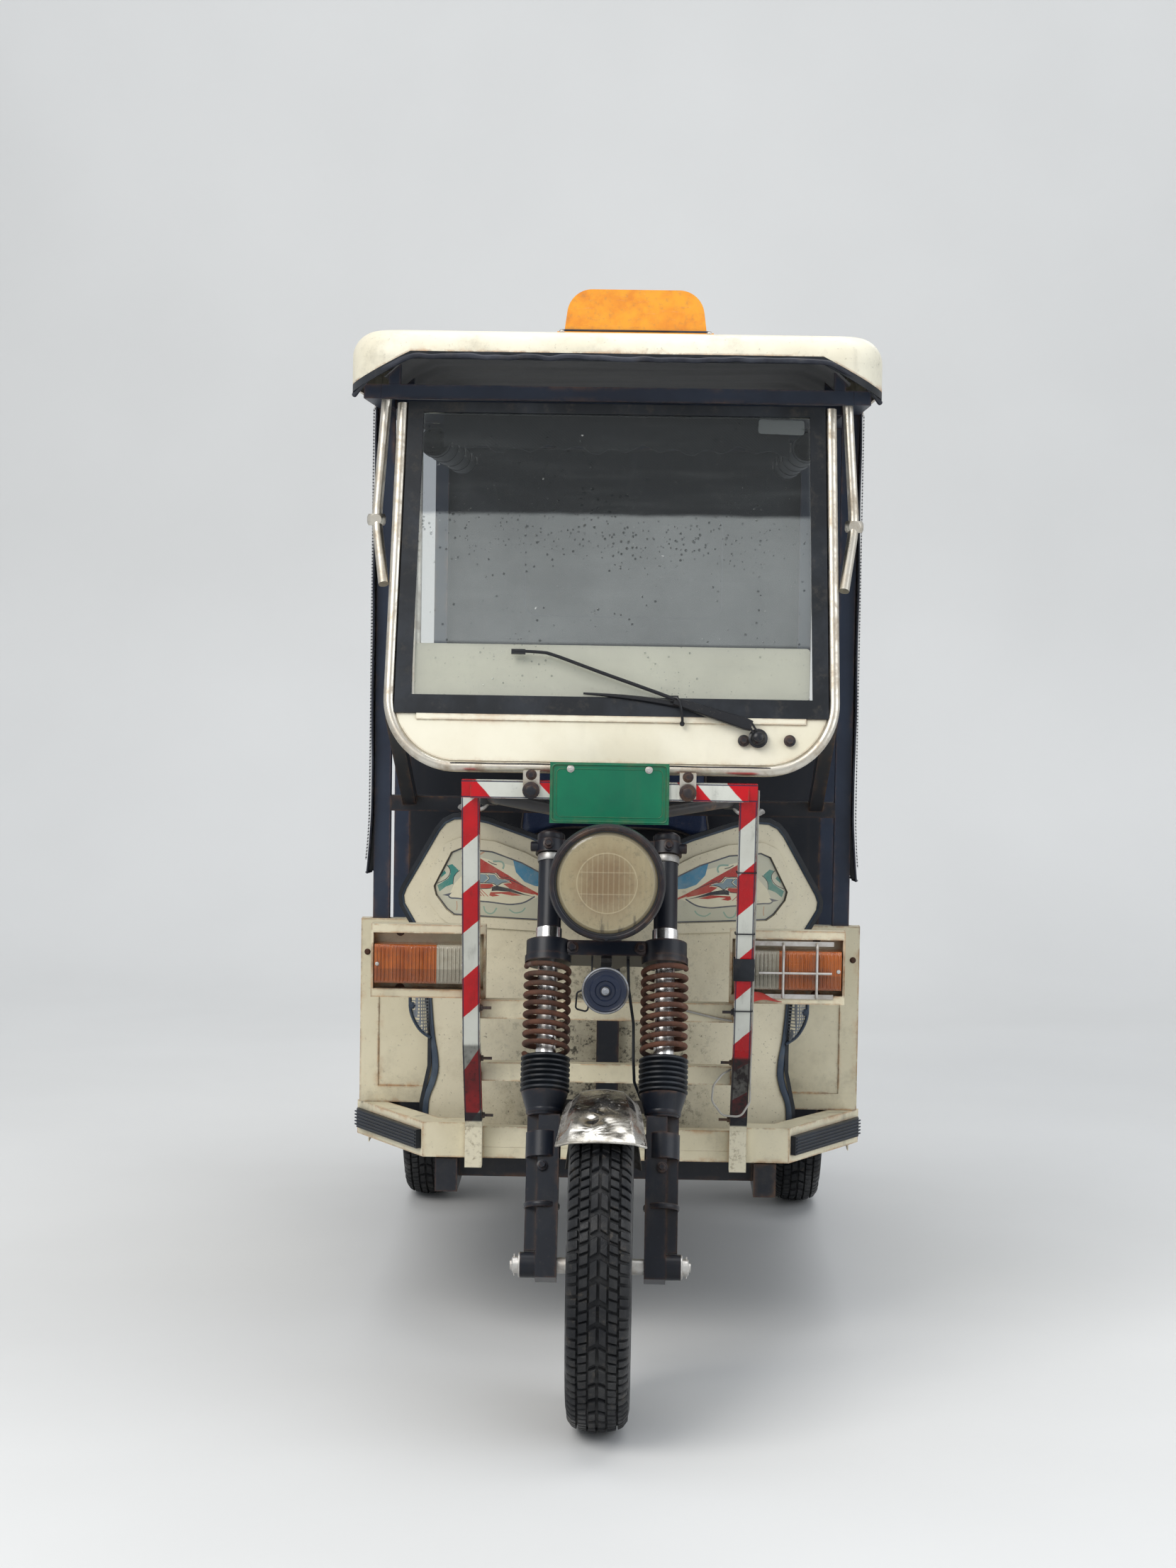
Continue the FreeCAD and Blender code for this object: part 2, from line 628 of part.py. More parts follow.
def guard_rear(z):
    """Y of the guard uprights' rear face at a height."""
    upper, lower = (GUARD_TOP, GUARD_KNEE) if z > GUARD_KNEE[1] else (GUARD_KNEE, GUARD_FOOT)
    share = (upper[1] - z) / (upper[1] - lower[1])
    share = min(share, 1.0)
    lean = math.atan2(lower[0] - upper[0], upper[1] - lower[1])
    return upper[0] + share * (lower[0] - upper[0]) + GUARD_TUBE / 2 / math.cos(lean)


def guard_rails():
    """Three rails between the uprights; the lowest stands on the bumper's middle."""
    reach = GUARD_X - GUARD_TUBE / 2 - SEAT_GAP
    rails = []
    for top in RAIL_TOPS[:-1]:
        y = guard_rear(top - RAIL_HEIGHT / 2) - 6
        rails.append(box(-reach, reach, y, y + RAIL_DEPTH, top - RAIL_HEIGHT, top))
    reach = GUARD_X - SEAT_GAP
    rails.append(box(-reach, reach, BUMPER_FRONT, BUMPER_FRONT + RAIL_DEPTH, BUMPER_MID_HIGH + SEAT_GAP,
                     RAIL_TOPS[-1]))
    return rails


def cable(points, radius, bend):
    """A round cable along a path with rounded corners."""
    return pipe([V(*point) for point in points], radius, bend)


def guard_wire():
    """Thin held wires: one down the left upright with a loop at its foot, one on to the top rail."""
    def centre(z):
        upper, lower = (GUARD_TOP, GUARD_KNEE) if z > GUARD_KNEE[1] else (GUARD_KNEE, GUARD_FOOT)
        return upper[0] + (upper[1] - z) / (upper[1] - lower[1]) * (lower[0] - upper[0])

    off = GUARD_TUBE / 2 + SEAT_GAP + WIRE_R
    out, inside = GUARD_X + off, GUARD_X - off
    down = [(out, centre(z), z) for z in (1030.0, GUARD_KNEE[1], 520.0)]
    loop = [(out, 414.0, 474.0), (236.0, 396.0, 451.0), (204.0, 394.0, 453.0), (185.0, 396.0, 478.0),
            (187.0, 397.0, 505.0), (203.0, 407.0, 524.0), (inside, centre(530.0), 530.0)]
    rail = guard_rear(RAIL_TOPS[0] - RAIL_HEIGHT / 2) - 6 - SEAT_GAP - WIRE_R
    short = [(inside, centre(622.0), 622.0), (190.0, rail, 626.0), (120.0, rail, 642.0),
             (104.0, rail, 645.0)]
    return Part.makeCompound([cable(down + loop, WIRE_R, 16), cable(short, WIRE_R, 16)])


def fork_cables():
    """Front brake cable down the left leg, and the horn's lead with its slack loop."""
    back = SLIDER_DEPTH / 2 + SEAT_GAP + CABLE_R
    leg = [(36, 8, LOWER_YOKE_LOW - SEAT_GAP), (38, 8, 470), (47, 8, 410), (48, 16, 350), (50, 34, 316),
           (62, 52, 290),
           (84, 52, 262), (92, 37, 226), (92, 33, 190), (90, back, 150), (90, back, 50)]
    lead = [V(-18, 143.1, 706), V(-18, 154, 706), V(-48, 157, 694), V(-50, 160, 666), V(-30, 168, 660),
            on_leg(-24, 4, 490), on_leg(-24, 4, LOWER_YOKE_LOW - SEAT_GAP)]
    return Part.makeCompound([pipe([on_leg(*point) for point in leg], CABLE_R, 14), pipe(lead, LEAD_R, 6)])


def number_plate():
    """Blank plate with a pressed rim, on the guard frame's top bar."""
    width, height = PLATE_SIZE
    face = GUARD_TOP[0] - GUARD_TUBE / 2 - SEAT_GAP
    plate = box(-width / 2, width / 2, face - 4, face, PLATE_LOW, PLATE_LOW + height)
    dish = box(-width / 2 + 5, width / 2 - 5, face - 5, face - 2.5, PLATE_LOW + 5, PLATE_LOW + height - 5)
    return plate.cut(dish)


def screen_clamps():
    """Two small brackets that tie the top bar to the windscreen tube."""
    low, high = GUARD_TOP[1] - 26, SCREEN_LOW + 6
    y = GUARD_TOP[0] - GUARD_TUBE / 2 - SEAT_GAP
    plate = box(118, 146, y - 3, y, low, high)
    cap = box(118, 146, y - 3, SCREEN_Y - SCREEN_TUBE_R - 2, high - 3, high)
    bolt = Part.makeCylinder(8, 9, V(132, y - 12, GUARD_TOP[1] - GUARD_TUBE / 2), Y_AXIS)
    return both(joined([plate, cap, bolt]))


def bumper():
    """Box-section bumper: a low middle bar and two full-height corners with swept-back ends."""
    end_x, end_y = BUMPER_END
    inner = BUMPER_DEPTH
    plan = [
        (-end_x, end_y), (-BUMPER_CORNER_X, BUMPER_FRONT), (BUMPER_CORNER_X, BUMPER_FRONT), (end_x, end_y),
        (end_x - 44, end_y), (BUMPER_CORNER_X - 26, BUMPER_FRONT + inner),
        (-BUMPER_CORNER_X + 26, BUMPER_FRONT + inner), (-end_x + 44, end_y),
    ]
    body = profile_z(plan, BUMPER_LOW, BUMPER_HIGH)
    middle = box(-GUARD_X, GUARD_X, BUMPER_FRONT - 1, BUMPER_FRONT + inner + 1, BUMPER_MID_HIGH,
                 BUMPER_HIGH + 1)
    return body.cut(middle)


def bumper_trim():
    """Rubber strips along the bumper's swept ends."""
    end_x, end_y = BUMPER_END
    run = V(end_x - BUMPER_CORNER_X, end_y - BUMPER_FRONT, 0).normalize()
    out = V(run.y, -run.x, 0)
    start = V(BUMPER_CORNER_X, BUMPER_FRONT, 0) + run * 6 + out * SEAT_GAP
    end = V(end_x, end_y, 0) - run * 4 + out * SEAT_GAP
    plan = [(p.x, p.y) for p in (start, end, end + out * TRIM_DEPTH, start + out * TRIM_DEPTH)]
    middle = (BUMPER_LOW + BUMPER_HIGH) / 2
    strip = profile_z(plan, middle - TRIM_HEIGHT / 2, middle + TRIM_HEIGHT / 2)
    limit = box(0, BUMPER_END[0], 0, 2000, 0, 1000)
    return both(strip.common(limit))


def lamp_trays():
    """Open trays for the side lamps: a back plate with a lip all round."""
    x0, x1 = TRAY_X
    y0, y1 = TRAY_Y
    z0, z1 = TRAY_Z
    tray = box(x0, x1, y0, y1, z0, z1)
    hollow = box(x0 + 4, x1 - 4, y0 - 1, y1 - 6, z0 + TRAY_LIP, z1 - TRAY_LIP)
    return both(tray.cut(hollow))


def side_lamps(first, last):
    """One colour of the two side lamps, as a ribbed block seated on the tray's back plate."""
    z0, z1 = LENS_Z
    y1 = TRAY_Y[1] - 6 - SEAT_GAP
    lens = box(first, last, TRAY_Y[0] - LENS_PROUD, y1, z0, z1)
    edges = [e for e in lens.Edges if abs(e.CenterOfMass.y - (TRAY_Y[0] - LENS_PROUD)) < 1e-3]
    ends = [e for e in edges if min(abs(e.CenterOfMass.z - z) for z in (z0, z1)) < 1e-3]
    lens = lens.makeFillet(6, ends)
    return both(lens)


def lamp_guard():
    """Wire cage over one side lamp: two bent uprights and a middle wire."""
    front = TRAY_Y[0] - LENS_PROUD - 9
    z0, z1 = LENS_Z[0] - 12, LENS_Z[1] + 12
    foot = TRAY_Y[0] + 0.5
    parts = []
    for x in (304.0, 362.0):
        parts.append(pipe([V(x, foot, z0), V(x, front, z0), V(x, front, z1), V(x, foot, z1)], 2.5, 7))
    parts.append(bar(V(262, front, 708), V(388, front, 708), 2.2))
    parts.append(box(240, 392, foot - 3, foot - SEAT_GAP - 0.2, z0 - 4, z0 + 4))
    parts.append(box(240, 392, foot - 3, foot - SEAT_GAP - 0.2, z1 - 4, z1 + 4))
    cage = joined(parts)
    return cage.cut(box(0, 600, TRAY_Y[0] - SEAT_GAP, 600, 0, 1000))


def leg_shield():
    """Moulded leg shield: a curved wall cut to its winged outline, with a collared recess on each wing."""
    half = [(float(x), float(z)) for x, z in SHIELD_OUTLINE]
    outline = half + [(-x, z) for x, z in half[:0:-1]]
    axis = V(0, SHIELD_Y + SHIELD_R, 0)
    wall = ring(axis, Z_AXIS, SHIELD_R, SHIELD_R - SHIELD_WALL, 1200)
    body = profile_y(outline, SHIELD_Y - 20, SHIELD_Y + 200).common(wall)
    flat = polygon([V(x, SHIELD_Y - 20, z) for x, z in SHIELD_PANEL])
    collar = flat.makeOffset2D(SHIELD_COLLAR).extrude(V(0, 220, 0))
    collar = collar.common(ring(axis, Z_AXIS, SHIELD_R + 5, SHIELD_R - 1, 1200))
    pocket = flat.extrude(V(0, 220, 0)).common(ring(axis, Z_AXIS, SHIELD_R + 9, SHIELD_R - 1, 1200))
    shield = joined([body, collar, mirrored(collar)]).cut([pocket, mirrored(pocket)])
    slot = box(-30, 30, SHIELD_Y - 20, SHIELD_Y + 60, 740, 900)
    return shield.cut(slot)


def shield_piping():
    """Dark beading round the wings and down the leg shield's sides."""
    half = [(float(x), float(z)) for x, z in SHIELD_OUTLINE]
    outline = polygon([V(x, SHIELD_Y - 20, z) for x, z in half + [(-x, z) for x, z in half[:0:-1]]])
    band = outline.makeOffset2D(PIPING + SEAT_GAP).cut(outline.makeOffset2D(SEAT_GAP)).extrude(V(0, 220, 0))
    wall = ring(V(0, SHIELD_Y + SHIELD_R, 0), Z_AXIS, SHIELD_R + 5, SHIELD_R - SHIELD_WALL - 4, 1200)
    bare = [box(-60, 60, SHIELD_Y - 30, SHIELD_Y + 220, 800, 1000),
            box(-600, 600, 0, 2000, 0, SHIELD_LOW + 6)]
    return band.common(wall).cut(bare)


def front_panels():
    """Folded front panels beside the leg shield, with a pressed field and side returns."""
    z0, z1 = PANEL_Z
    inner, outer = 300.0, BODY_HALF_WIDTH
    skin = box(inner, outer, PANEL_Y, PANEL_Y + PANEL_DEPTH, z0, z1)
    hollow = box(inner - 1, outer - 4, PANEL_Y + 4, PANEL_Y + PANEL_DEPTH + 1, z0 + 4, z1 - 4)
    field = box(inner - 1, outer - 34, PANEL_Y - 1, PANEL_Y + 2.5, z0 + 30, z1 - 40)
    panel = skin.cut([hollow, field])
    post = box(POST_X - POST / 2 - SEAT_GAP, POST_X + POST / 2 + SEAT_GAP, POST_Y[0] - POST / 2 - SEAT_GAP,
               POST_Y[0] + POST / 2 + 60, 0, z1 + 50)
    return both(panel.cut(post))


# Chassis and cabin frame


def chassis_frame():
    """Ladder frame: low front rails, raised rear rails, cross members and outriggers."""
    width, depth = CHASSIS_TUBE
    low = FLOOR_Z - depth
    parts = []
    for x in (-CHASSIS_X, CHASSIS_X):
        parts.append(box(x - width / 2, x + width / 2, BUMPER_FRONT + 8, KICK_Y, low, FLOOR_Z))
        parts.append(box(x - width / 2, x + width / 2, KICK_Y - width, KICK_Y, low, REAR_RAIL_Z))
        parts.append(box(x - width / 2, x + width / 2, KICK_Y - width, BODY_REAR - 12,
                         REAR_RAIL_Z - depth, REAR_RAIL_Z))
    wide = BODY_HALF_WIDTH - SIDE_WALL - 4
    for y, reach in ((FLOOR_FRONT, FRONT_MEMBER), (PLINTH_Y[0] + 30, wide), (PLINTH_Y[1] - 100, wide),
                     (KICK_Y - width, CHASSIS_X)):
        parts.append(box(-reach, reach, y, y + width, low + 20, FLOOR_Z))
    for y in (WHEELBASE + 70, BODY_REAR - 12 - width):
        parts.append(box(-CHASSIS_X, CHASSIS_X, y, y + width, REAR_RAIL_Z - depth + 20, REAR_RAIL_Z))
    frame = joined(parts)
    column = box(-20 - SEAT_GAP, 20 + SEAT_GAP, 530, SHIELD_Y, 0, 400)
    return frame.cut(column)


def floor_plate():
    """Chequer-plate floor with turned-down side sills, and a loose sheet in the passengers' footwell."""
    half = BODY_HALF_WIDTH - 2
    top = FLOOR_Z + SEAT_GAP + FLOOR_PLATE
    plate = box(-half, half, FLOOR_FRONT + 20, KICK_Y - CHASSIS_TUBE[0] - 4, FLOOR_Z + SEAT_GAP, top)
    sill = box(half - FLOOR_PLATE, half, SILL_FRONT, KICK_Y - CHASSIS_TUBE[0] - 4, FLOOR_Z - 44, top)
    floor = joined([plate, sill, mirrored(sill)])
    cuts = [box(-22, 22, 530, 600.5, 300, 400)]
    for sign in (-1, 1):
        for y in POST_Y[:2]:
            x = sign * POST_X
            cuts.append(box(x - POST / 2 - SEAT_GAP, x + POST / 2 + SEAT_GAP, y - POST / 2 - SEAT_GAP,
                            y + POST / 2 + SEAT_GAP, 200, 500))
    corner = profile_z([(300, 500), (600, 500), (600, 780), (BUMPER_END[0] - 58, BUMPER_END[1]),
                        (BUMPER_CORNER_X - 17, BUMPER_FRONT + BUMPER_DEPTH + 1)], 300, 400)
    well_front, well_rear = PLINTH_Y[1] + 1, KICK_Y - CHASSIS_TUBE[0] - 4
    well = box(-FOOTWELL_HALF, FOOTWELL_HALF, well_front, well_rear + 1, FLOOR_Z - 1, top + 1)
    inner = FOOTWELL_HALF - SEAT_GAP
    sheet = box(-inner, inner, well_front + SEAT_GAP, well_rear, FLOOR_Z + SEAT_GAP, top)
    return Part.makeCompound([floor.cut([*cuts, corner, mirrored(corner), well]), sheet])


def cabin_posts():
    """Six square posts from the chassis to the roof rails."""
    posts = []
    for y, low in zip(POST_Y, (BUMPER_HIGH + SEAT_GAP, FLOOR_Z - 40, SIDE_LOW + 40)):
        posts.append(box(POST_X - POST / 2, POST_X + POST / 2, y - POST / 2, y + POST / 2, low,
                         ROOF_RAIL_Z - SEAT_GAP))
    return both(Part.makeCompound(posts))


def roof_rails():
    """Roof frame: two long rails, five cross bars between them and a bow on each bar for the roof."""
    front, rear = 430.0, BODY_REAR - 20
    z0, z1 = ROOF_RAIL_Z, ROOF_RAIL_Z + ROOF_RAIL
    top = ROOF_TOP - ROOF_WALL - SEAT_GAP
    inner = POST_X - POST / 2 - SEAT_GAP
    members = [box(x - POST / 2, x + POST / 2, front, rear, z0, z1) for x in (-POST_X, POST_X)]
    for y in (front, POST_Y[0] - 12, POST_Y[1] - 12, 1800.0, rear - ROOF_RAIL):
        members.append(box(-inner, inner, y, y + ROOF_RAIL, z0, z1))
        bow = box(-BOW_X, BOW_X, y, y + ROOF_RAIL, z1 + SEAT_GAP, top)
        members.append(bow.cut(box(-BOW_X + 20, BOW_X - 20, y - 1, y + 60, z1, top - 20)))
    return Part.makeCompound(members)


def dash_frame():
    """Black cross bar between the front posts, with side arms forward to the windscreen tube."""
    z = DASH_Z
    inner = POST_X - POST / 2 - SEAT_GAP
    parts = [box(-inner, inner, PANEL_Y + SEAT_GAP, PANEL_Y + 30, z, z + 28)]
    for x in (-374.0, 374.0):
        arm = profile_x([(PANEL_Y + 30, z), (PANEL_Y + 30, z + 28), (280, 1178), (280, 1150)], x - 12,
                        x + 12)
        parts.append(arm)
    front = on_slope(box(-600, 600, -400, SCREEN_TUBE_R + SEAT_GAP, -200, 900))
    return joined(parts).cut(front)


# Windscreen, drawn upright at Y 0 and Z 0 and then leaned back and moved to its place


def on_slope(shape):
    """Leans an upright windscreen piece back and moves it to its seat."""
    out = shape.copy()
    out.rotate(V(0, 0, 0), X_AXIS, -SCREEN_SLOPE)
    out.translate(V(0, SCREEN_Y, SCREEN_LOW))
    return out


def half_width(v):
    """Half the windscreen tube's centreline width at a height up the slope."""
    return SCREEN_HALF_LOW + (SCREEN_HALF_HIGH - SCREEN_HALF_LOW) * v / SCREEN_HEIGHT


def screen_path():
    """Corner points of the windscreen tube's centreline."""
    low, top = SCREEN_TUBE_R, SCREEN_HEIGHT - 16
    return [V(-half_width(top), 0, top), V(-half_width(low), 0, low), V(half_width(low), 0, low),
            V(half_width(top), 0, top)]


def screen_tube():
    """Bright tube round the windscreen's sides and bottom."""
    return on_slope(pipe(screen_path(), SCREEN_TUBE_R, SCREEN_BEND))


def trapezoid(v0, v1, inset0, inset1, y0, y1):
    """A slab between two heights up the slope, inset from the tube's centreline at each."""
    a, b = half_width(v0) - inset0, half_width(v1) - inset1
    return profile_y([(-a, v0), (a, v0), (b, v1), (-b, v1)], y0, y1)


def screen_seal():
    """Broad black frame round the glass."""
    edge = SCREEN_TUBE_R + SEAT_GAP
    outer = trapezoid(SEAL_LOW, SEAL_HIGH, edge, edge, -SEAL_DEPTH / 2, SEAL_DEPTH / 2)
    inner = trapezoid(SEAL_LOW + SEAL_BOTTOM, SEAL_HIGH - SEAL_TOP, edge + SEAL_SIDE, edge + SEAL_SIDE,
                      -SEAL_DEPTH, SEAL_DEPTH)
    return on_slope(outer.cut(inner))


def screen_glass():
    """Flat windscreen glass, held in the seal's opening."""
    edge = SCREEN_TUBE_R + SEAT_GAP + SEAL_SIDE + SEAT_GAP
    return on_slope(trapezoid(SEAL_LOW + SEAL_BOTTOM + SEAT_GAP, SEAL_HIGH - SEAL_TOP - SEAT_GAP, edge, edge,
                              -GLASS / 2, GLASS / 2))


def nose_panel():
    """Painted panel below the glass, with the tube's own corner bends and a folded top lip."""
    gap = SCREEN_TUBE_R + SEAT_GAP
    low = SCREEN_TUBE_R + gap
    high = SEAL_LOW - SEAT_GAP
    bend = SCREEN_BEND - gap
    wide = half_width(low) - gap
    disc = Part.makeCylinder(bend, 6, V(wide - bend, -3, low + bend), Y_AXIS)
    band = box(-(wide - bend), wide - bend, -3, 3, low, high)
    top = half_width(high) - gap
    upper = min(bend, high - low)
    side = disc.common(box(wide - bend, wide + 1, -3, 3, low, low + upper))
    panel = joined([band, side, mirrored(side)])
    lip = box(-top + 22, top - 22, -7, -3, high - 10, high)
    panel = joined([panel, lip.common(box(-wide + 40, wide - 40, -8, 0, 0, high))])
    return on_slope(panel.cut(pipe(screen_path(), SCREEN_TUBE_R + SEAT_GAP, SCREEN_BEND)))


def wiper():
    """Wiper: spindle through the nose panel, cranked arm and a long blade lying low on the glass."""
    pivot = V(250, 0, 64)
    mid = V(110, 0, 116)
    tip = V(-168, 0, 204)
    spindle = Part.makeCylinder(13, 18, V(pivot.x, -24, pivot.z), Y_AXIS)
    pin = Part.makeCylinder(7, 8, V(pivot.x, -31, pivot.z), Y_AXIS)
    base = Part.makeCylinder(17, 12, V(pivot.x, -12, pivot.z), Y_AXIS)

    def strip(a, b, wide_a, wide_b, y0, y1):
        way = (b - a).normalize()
        side = V(-way.z, 0, way.x)
        points = [a - side * wide_a, b - side * wide_b, b + side * wide_b, a + side * wide_a]
        return profile_y([(p.x, p.z) for p in points], y0, y1)

    arm = strip(pivot, mid, 11, 8, -26, -17)
    blade = strip(V(170, 0, 88), tip, 6, 4, -22, -9)
    arm = joined([spindle, pin, base, arm, blade])
    seal = box(-500, 500, -SEAL_DEPTH / 2 - SEAT_GAP, 20, SEAL_LOW - 11, 700)
    return on_slope(arm.cut([seal, box(-500, 500, -3 - SEAT_GAP, 20, -50, SEAL_LOW - 10)]))


def roof_stays():
    """Bright stays from the roof frame down to the windscreen tube, each with its clip."""
    top = V(400, 448, ROOF_RAIL_Z + 6)
    bend = V(414, 420, 1480)
    tip_v = 325.0
    a = math.radians(SCREEN_SLOPE)
    tube_x = half_width(tip_v) + SCREEN_TUBE_R + 9 + SEAT_GAP
    tip = V(tube_x, SCREEN_Y + tip_v * math.sin(a), SCREEN_LOW + tip_v * math.cos(a))
    stay = pipe([top, bend, tip], 9.0, 120).cut(box(0, 500, 300, 600, ROOF_RAIL_Z - SEAT_GAP, 1800))
    clip = box(bend.x - 16, bend.x + 16, bend.y - 14, bend.y + 12, bend.z - 10, bend.z + 10)
    return both(joined([stay, clip.common(Part.makeSphere(17, bend))]))


# Roof


def roof():
    """Moulded roof: a shallow tray with rounded edges, a raised crown panel and a front lip cut to a rim."""

    def tray(inset, top):
        block = box(-ROOF_HALF + inset, ROOF_HALF - inset, ROOF_FRONT + inset, ROOF_REAR - inset,
                    ROOF_LOW, top)
        corners = [e for e in block.Edges if abs(e.Length - (top - ROOF_LOW)) < 1e-6]
        block = block.makeFillet(90 - inset, corners)
        upper = [e for e in block.Edges if abs(e.BoundBox.ZMin - top) < 1e-3]
        return block.makeFillet(ROOF_EDGE_R - inset, upper)

    shell = tray(0, ROOF_TOP).cut(tray(ROOF_WALL, ROOF_TOP - ROOF_WALL))
    notch = profile_y([(-ROOF_HALF - 20, ROOF_LOW - 6), (-RIM_BEND_X, RIM_MID_Z), (RIM_BEND_X, RIM_MID_Z),
                       (ROOF_HALF + 20, ROOF_LOW - 6)], ROOF_FRONT - 10, ROOF_FRONT + 95)
    half, front, rear, height = ROOF_PANEL
    panel = box(-half, half, front, rear, ROOF_TOP - 1, ROOF_TOP + height)
    panel = panel.makeFillet(60, [e for e in panel.Edges if abs(e.Length - height - 1) < 1e-6])
    upper = [e for e in panel.Edges if abs(e.BoundBox.ZMin - ROOF_TOP - height) < 1e-3]
    return shell.cut(notch).fuse(panel.makeChamfer(height - 0.5, upper)).removeSplitter()


def roof_edging():
    """Black beading that follows the front rim round both corners."""

    def plan(inset):
        block = box(-ROOF_HALF + inset, ROOF_HALF - inset, ROOF_FRONT + inset, ROOF_REAR, ROOF_LOW - 60,
                    ROOF_TOP)
        upright = [e for e in block.Edges if abs(e.Length - ROOF_TOP + ROOF_LOW - 60) < 1e-6]
        return block.makeFillet(90 - inset, [e for e in upright if e.CenterOfMass.y < ROOF_FRONT + 50])

    x, low = ROOF_HALF + 20, ROOF_LOW - 6
    line = [(-x, low), (-RIM_BEND_X, RIM_MID_Z), (RIM_BEND_X, RIM_MID_Z), (x, low)]
    band = profile_y([(x, z - SEAT_GAP) for x, z in line] + [(x, z - EDGING) for x, z in line[::-1]],
                     ROOF_FRONT - 10, ROOF_FRONT + 94)
    return plan(0).cut(plan(EDGING_DEPTH)).common(band)


def roof_sign():
    """Blank roof lamp: a low dome with rounded shoulders on a stepped base."""
    base = box(SIGN_X - SIGN_HALF - 12, SIGN_X + SIGN_HALF + 12, SIGN_Y - SIGN_DEPTH / 2 - 8,
               SIGN_Y + SIGN_DEPTH / 2 + 8, ROOF_TOP + SEAT_GAP, ROOF_TOP + 10)
    z0, z1 = ROOF_TOP + 10, ROOF_TOP + SIGN_HEIGHT
    outline = [(SIGN_X - SIGN_HALF, z0), (SIGN_X + SIGN_HALF, z0), (SIGN_X + SIGN_HALF - 10, z1),
               (SIGN_X - SIGN_HALF + 10, z1)]
    dome = profile_y(outline, SIGN_Y - SIGN_DEPTH / 2, SIGN_Y + SIGN_DEPTH / 2)
    shoulders = [e for e in dome.Edges if abs(e.CenterOfMass.z - z1) < 1e-3 and e.BoundBox.XLength < 1e-3]
    dome = dome.makeFillet(44, shoulders)
    return joined([base, dome])


# Seats, panels and canvas


def hollow_box(x0, x1, y0, y1, z0, z1, wall):
    """A box with closed sides and top and an open bottom."""
    return box(x0, x1, y0, y1, z0, z1).cut(box(x0 + wall, x1 - wall, y0 + wall, y1 - wall, z0 - 1,
                                               z1 - wall))


def battery():
    """The traction batteries as one plain block under the front seats."""
    width, length, height = BATTERY
    low = FLOOR_Z + SEAT_GAP + FLOOR_PLATE + SEAT_GAP
    return box(-width / 2, width / 2, 975, 975 + length, low, low + height)


def cushion(x0, x1, y0, y1, z0, z1):
    """A plain closed seat pad with rounded edges."""
    pad = box(x0, x1, y0, y1, z0, z1)
    return pad.makeFillet(16, pad.Edges)


SEAT_LOW = PLINTH_TOP + SEAT_GAP
DIVIDER = (1234.0, 1270.0)
PADS = {  # x half, y0, y1, z0, z1 of each pad
    "driver_seat": (
        (235.0, PLINTH_Y[0] + 5, PLINTH_Y[0] + 265, SEAT_LOW + 40, SEAT_LOW + 40 + CUSHION),
        (225.0, PLINTH_Y[0] + 228, PLINTH_Y[0] + 284, 850.0, 1130.0),
    ),
    "front_bench": (
        (PLINTH_HALF - 5, PLINTH_Y[1] - 198, PLINTH_Y[1] + 50, SEAT_LOW, SEAT_LOW + CUSHION),
        (PLINTH_HALF - 5, PLINTH_Y[1] - 210, PLINTH_Y[1] - 154, 760.0, 1130.0),
    ),
    "rear_bench": (
        (PLINTH_HALF, REAR_PLINTH_Y[0] + 125, REAR_PLINTH_Y[1] - 80, SEAT_LOW, SEAT_LOW + CUSHION),
        (PLINTH_HALF - 5, REAR_PLINTH_Y[1] - 80 + SEAT_GAP, REAR_PLINTH_Y[1] - 22 - SEAT_GAP, 735.0, 1130.0),
    ),
}


def seat_pads(name):
    """A seat's cushion and backrest from its rows of the table above."""
    return Part.makeCompound([cushion(-half, half, y0, y1, z0, z1) for half, y0, y1, z0, z1 in PADS[name]])


def seat_boxes():
    """Sheet boxes below the seats, the driver's riser, the divider and the rear bench's back board."""
    low = FLOOR_Z + SEAT_GAP + FLOOR_PLATE + SEAT_GAP
    front = hollow_box(-PLINTH_HALF, PLINTH_HALF, *PLINTH_Y, low, PLINTH_TOP, PLINTH_WALL)
    rear = hollow_box(-REAR_PLINTH_HALF, REAR_PLINTH_HALF, *REAR_PLINTH_Y, REAR_RAIL_Z + SEAT_GAP,
                      PLINTH_TOP,
                      PLINTH_WALL)
    riser = hollow_box(-235, 235, 960, 1211, SEAT_LOW, SEAT_LOW + 40 - SEAT_GAP, 12)
    inner = POST_X - POST / 2 - SEAT_GAP
    divider = box(-inner, inner, DIVIDER[0] + SEAT_GAP, DIVIDER[1] - SEAT_GAP, SEAT_LOW, 1150)
    window = box(-inner + 40, inner - 40, DIVIDER[0] - 10, DIVIDER[1] + 10, 700, 840)
    board = box(-inner, inner, 2388, POST_Y[2] + POST / 2, SEAT_LOW + 90, 1130)
    return Part.makeCompound([front, rear, riser, divider.cut(window), board])


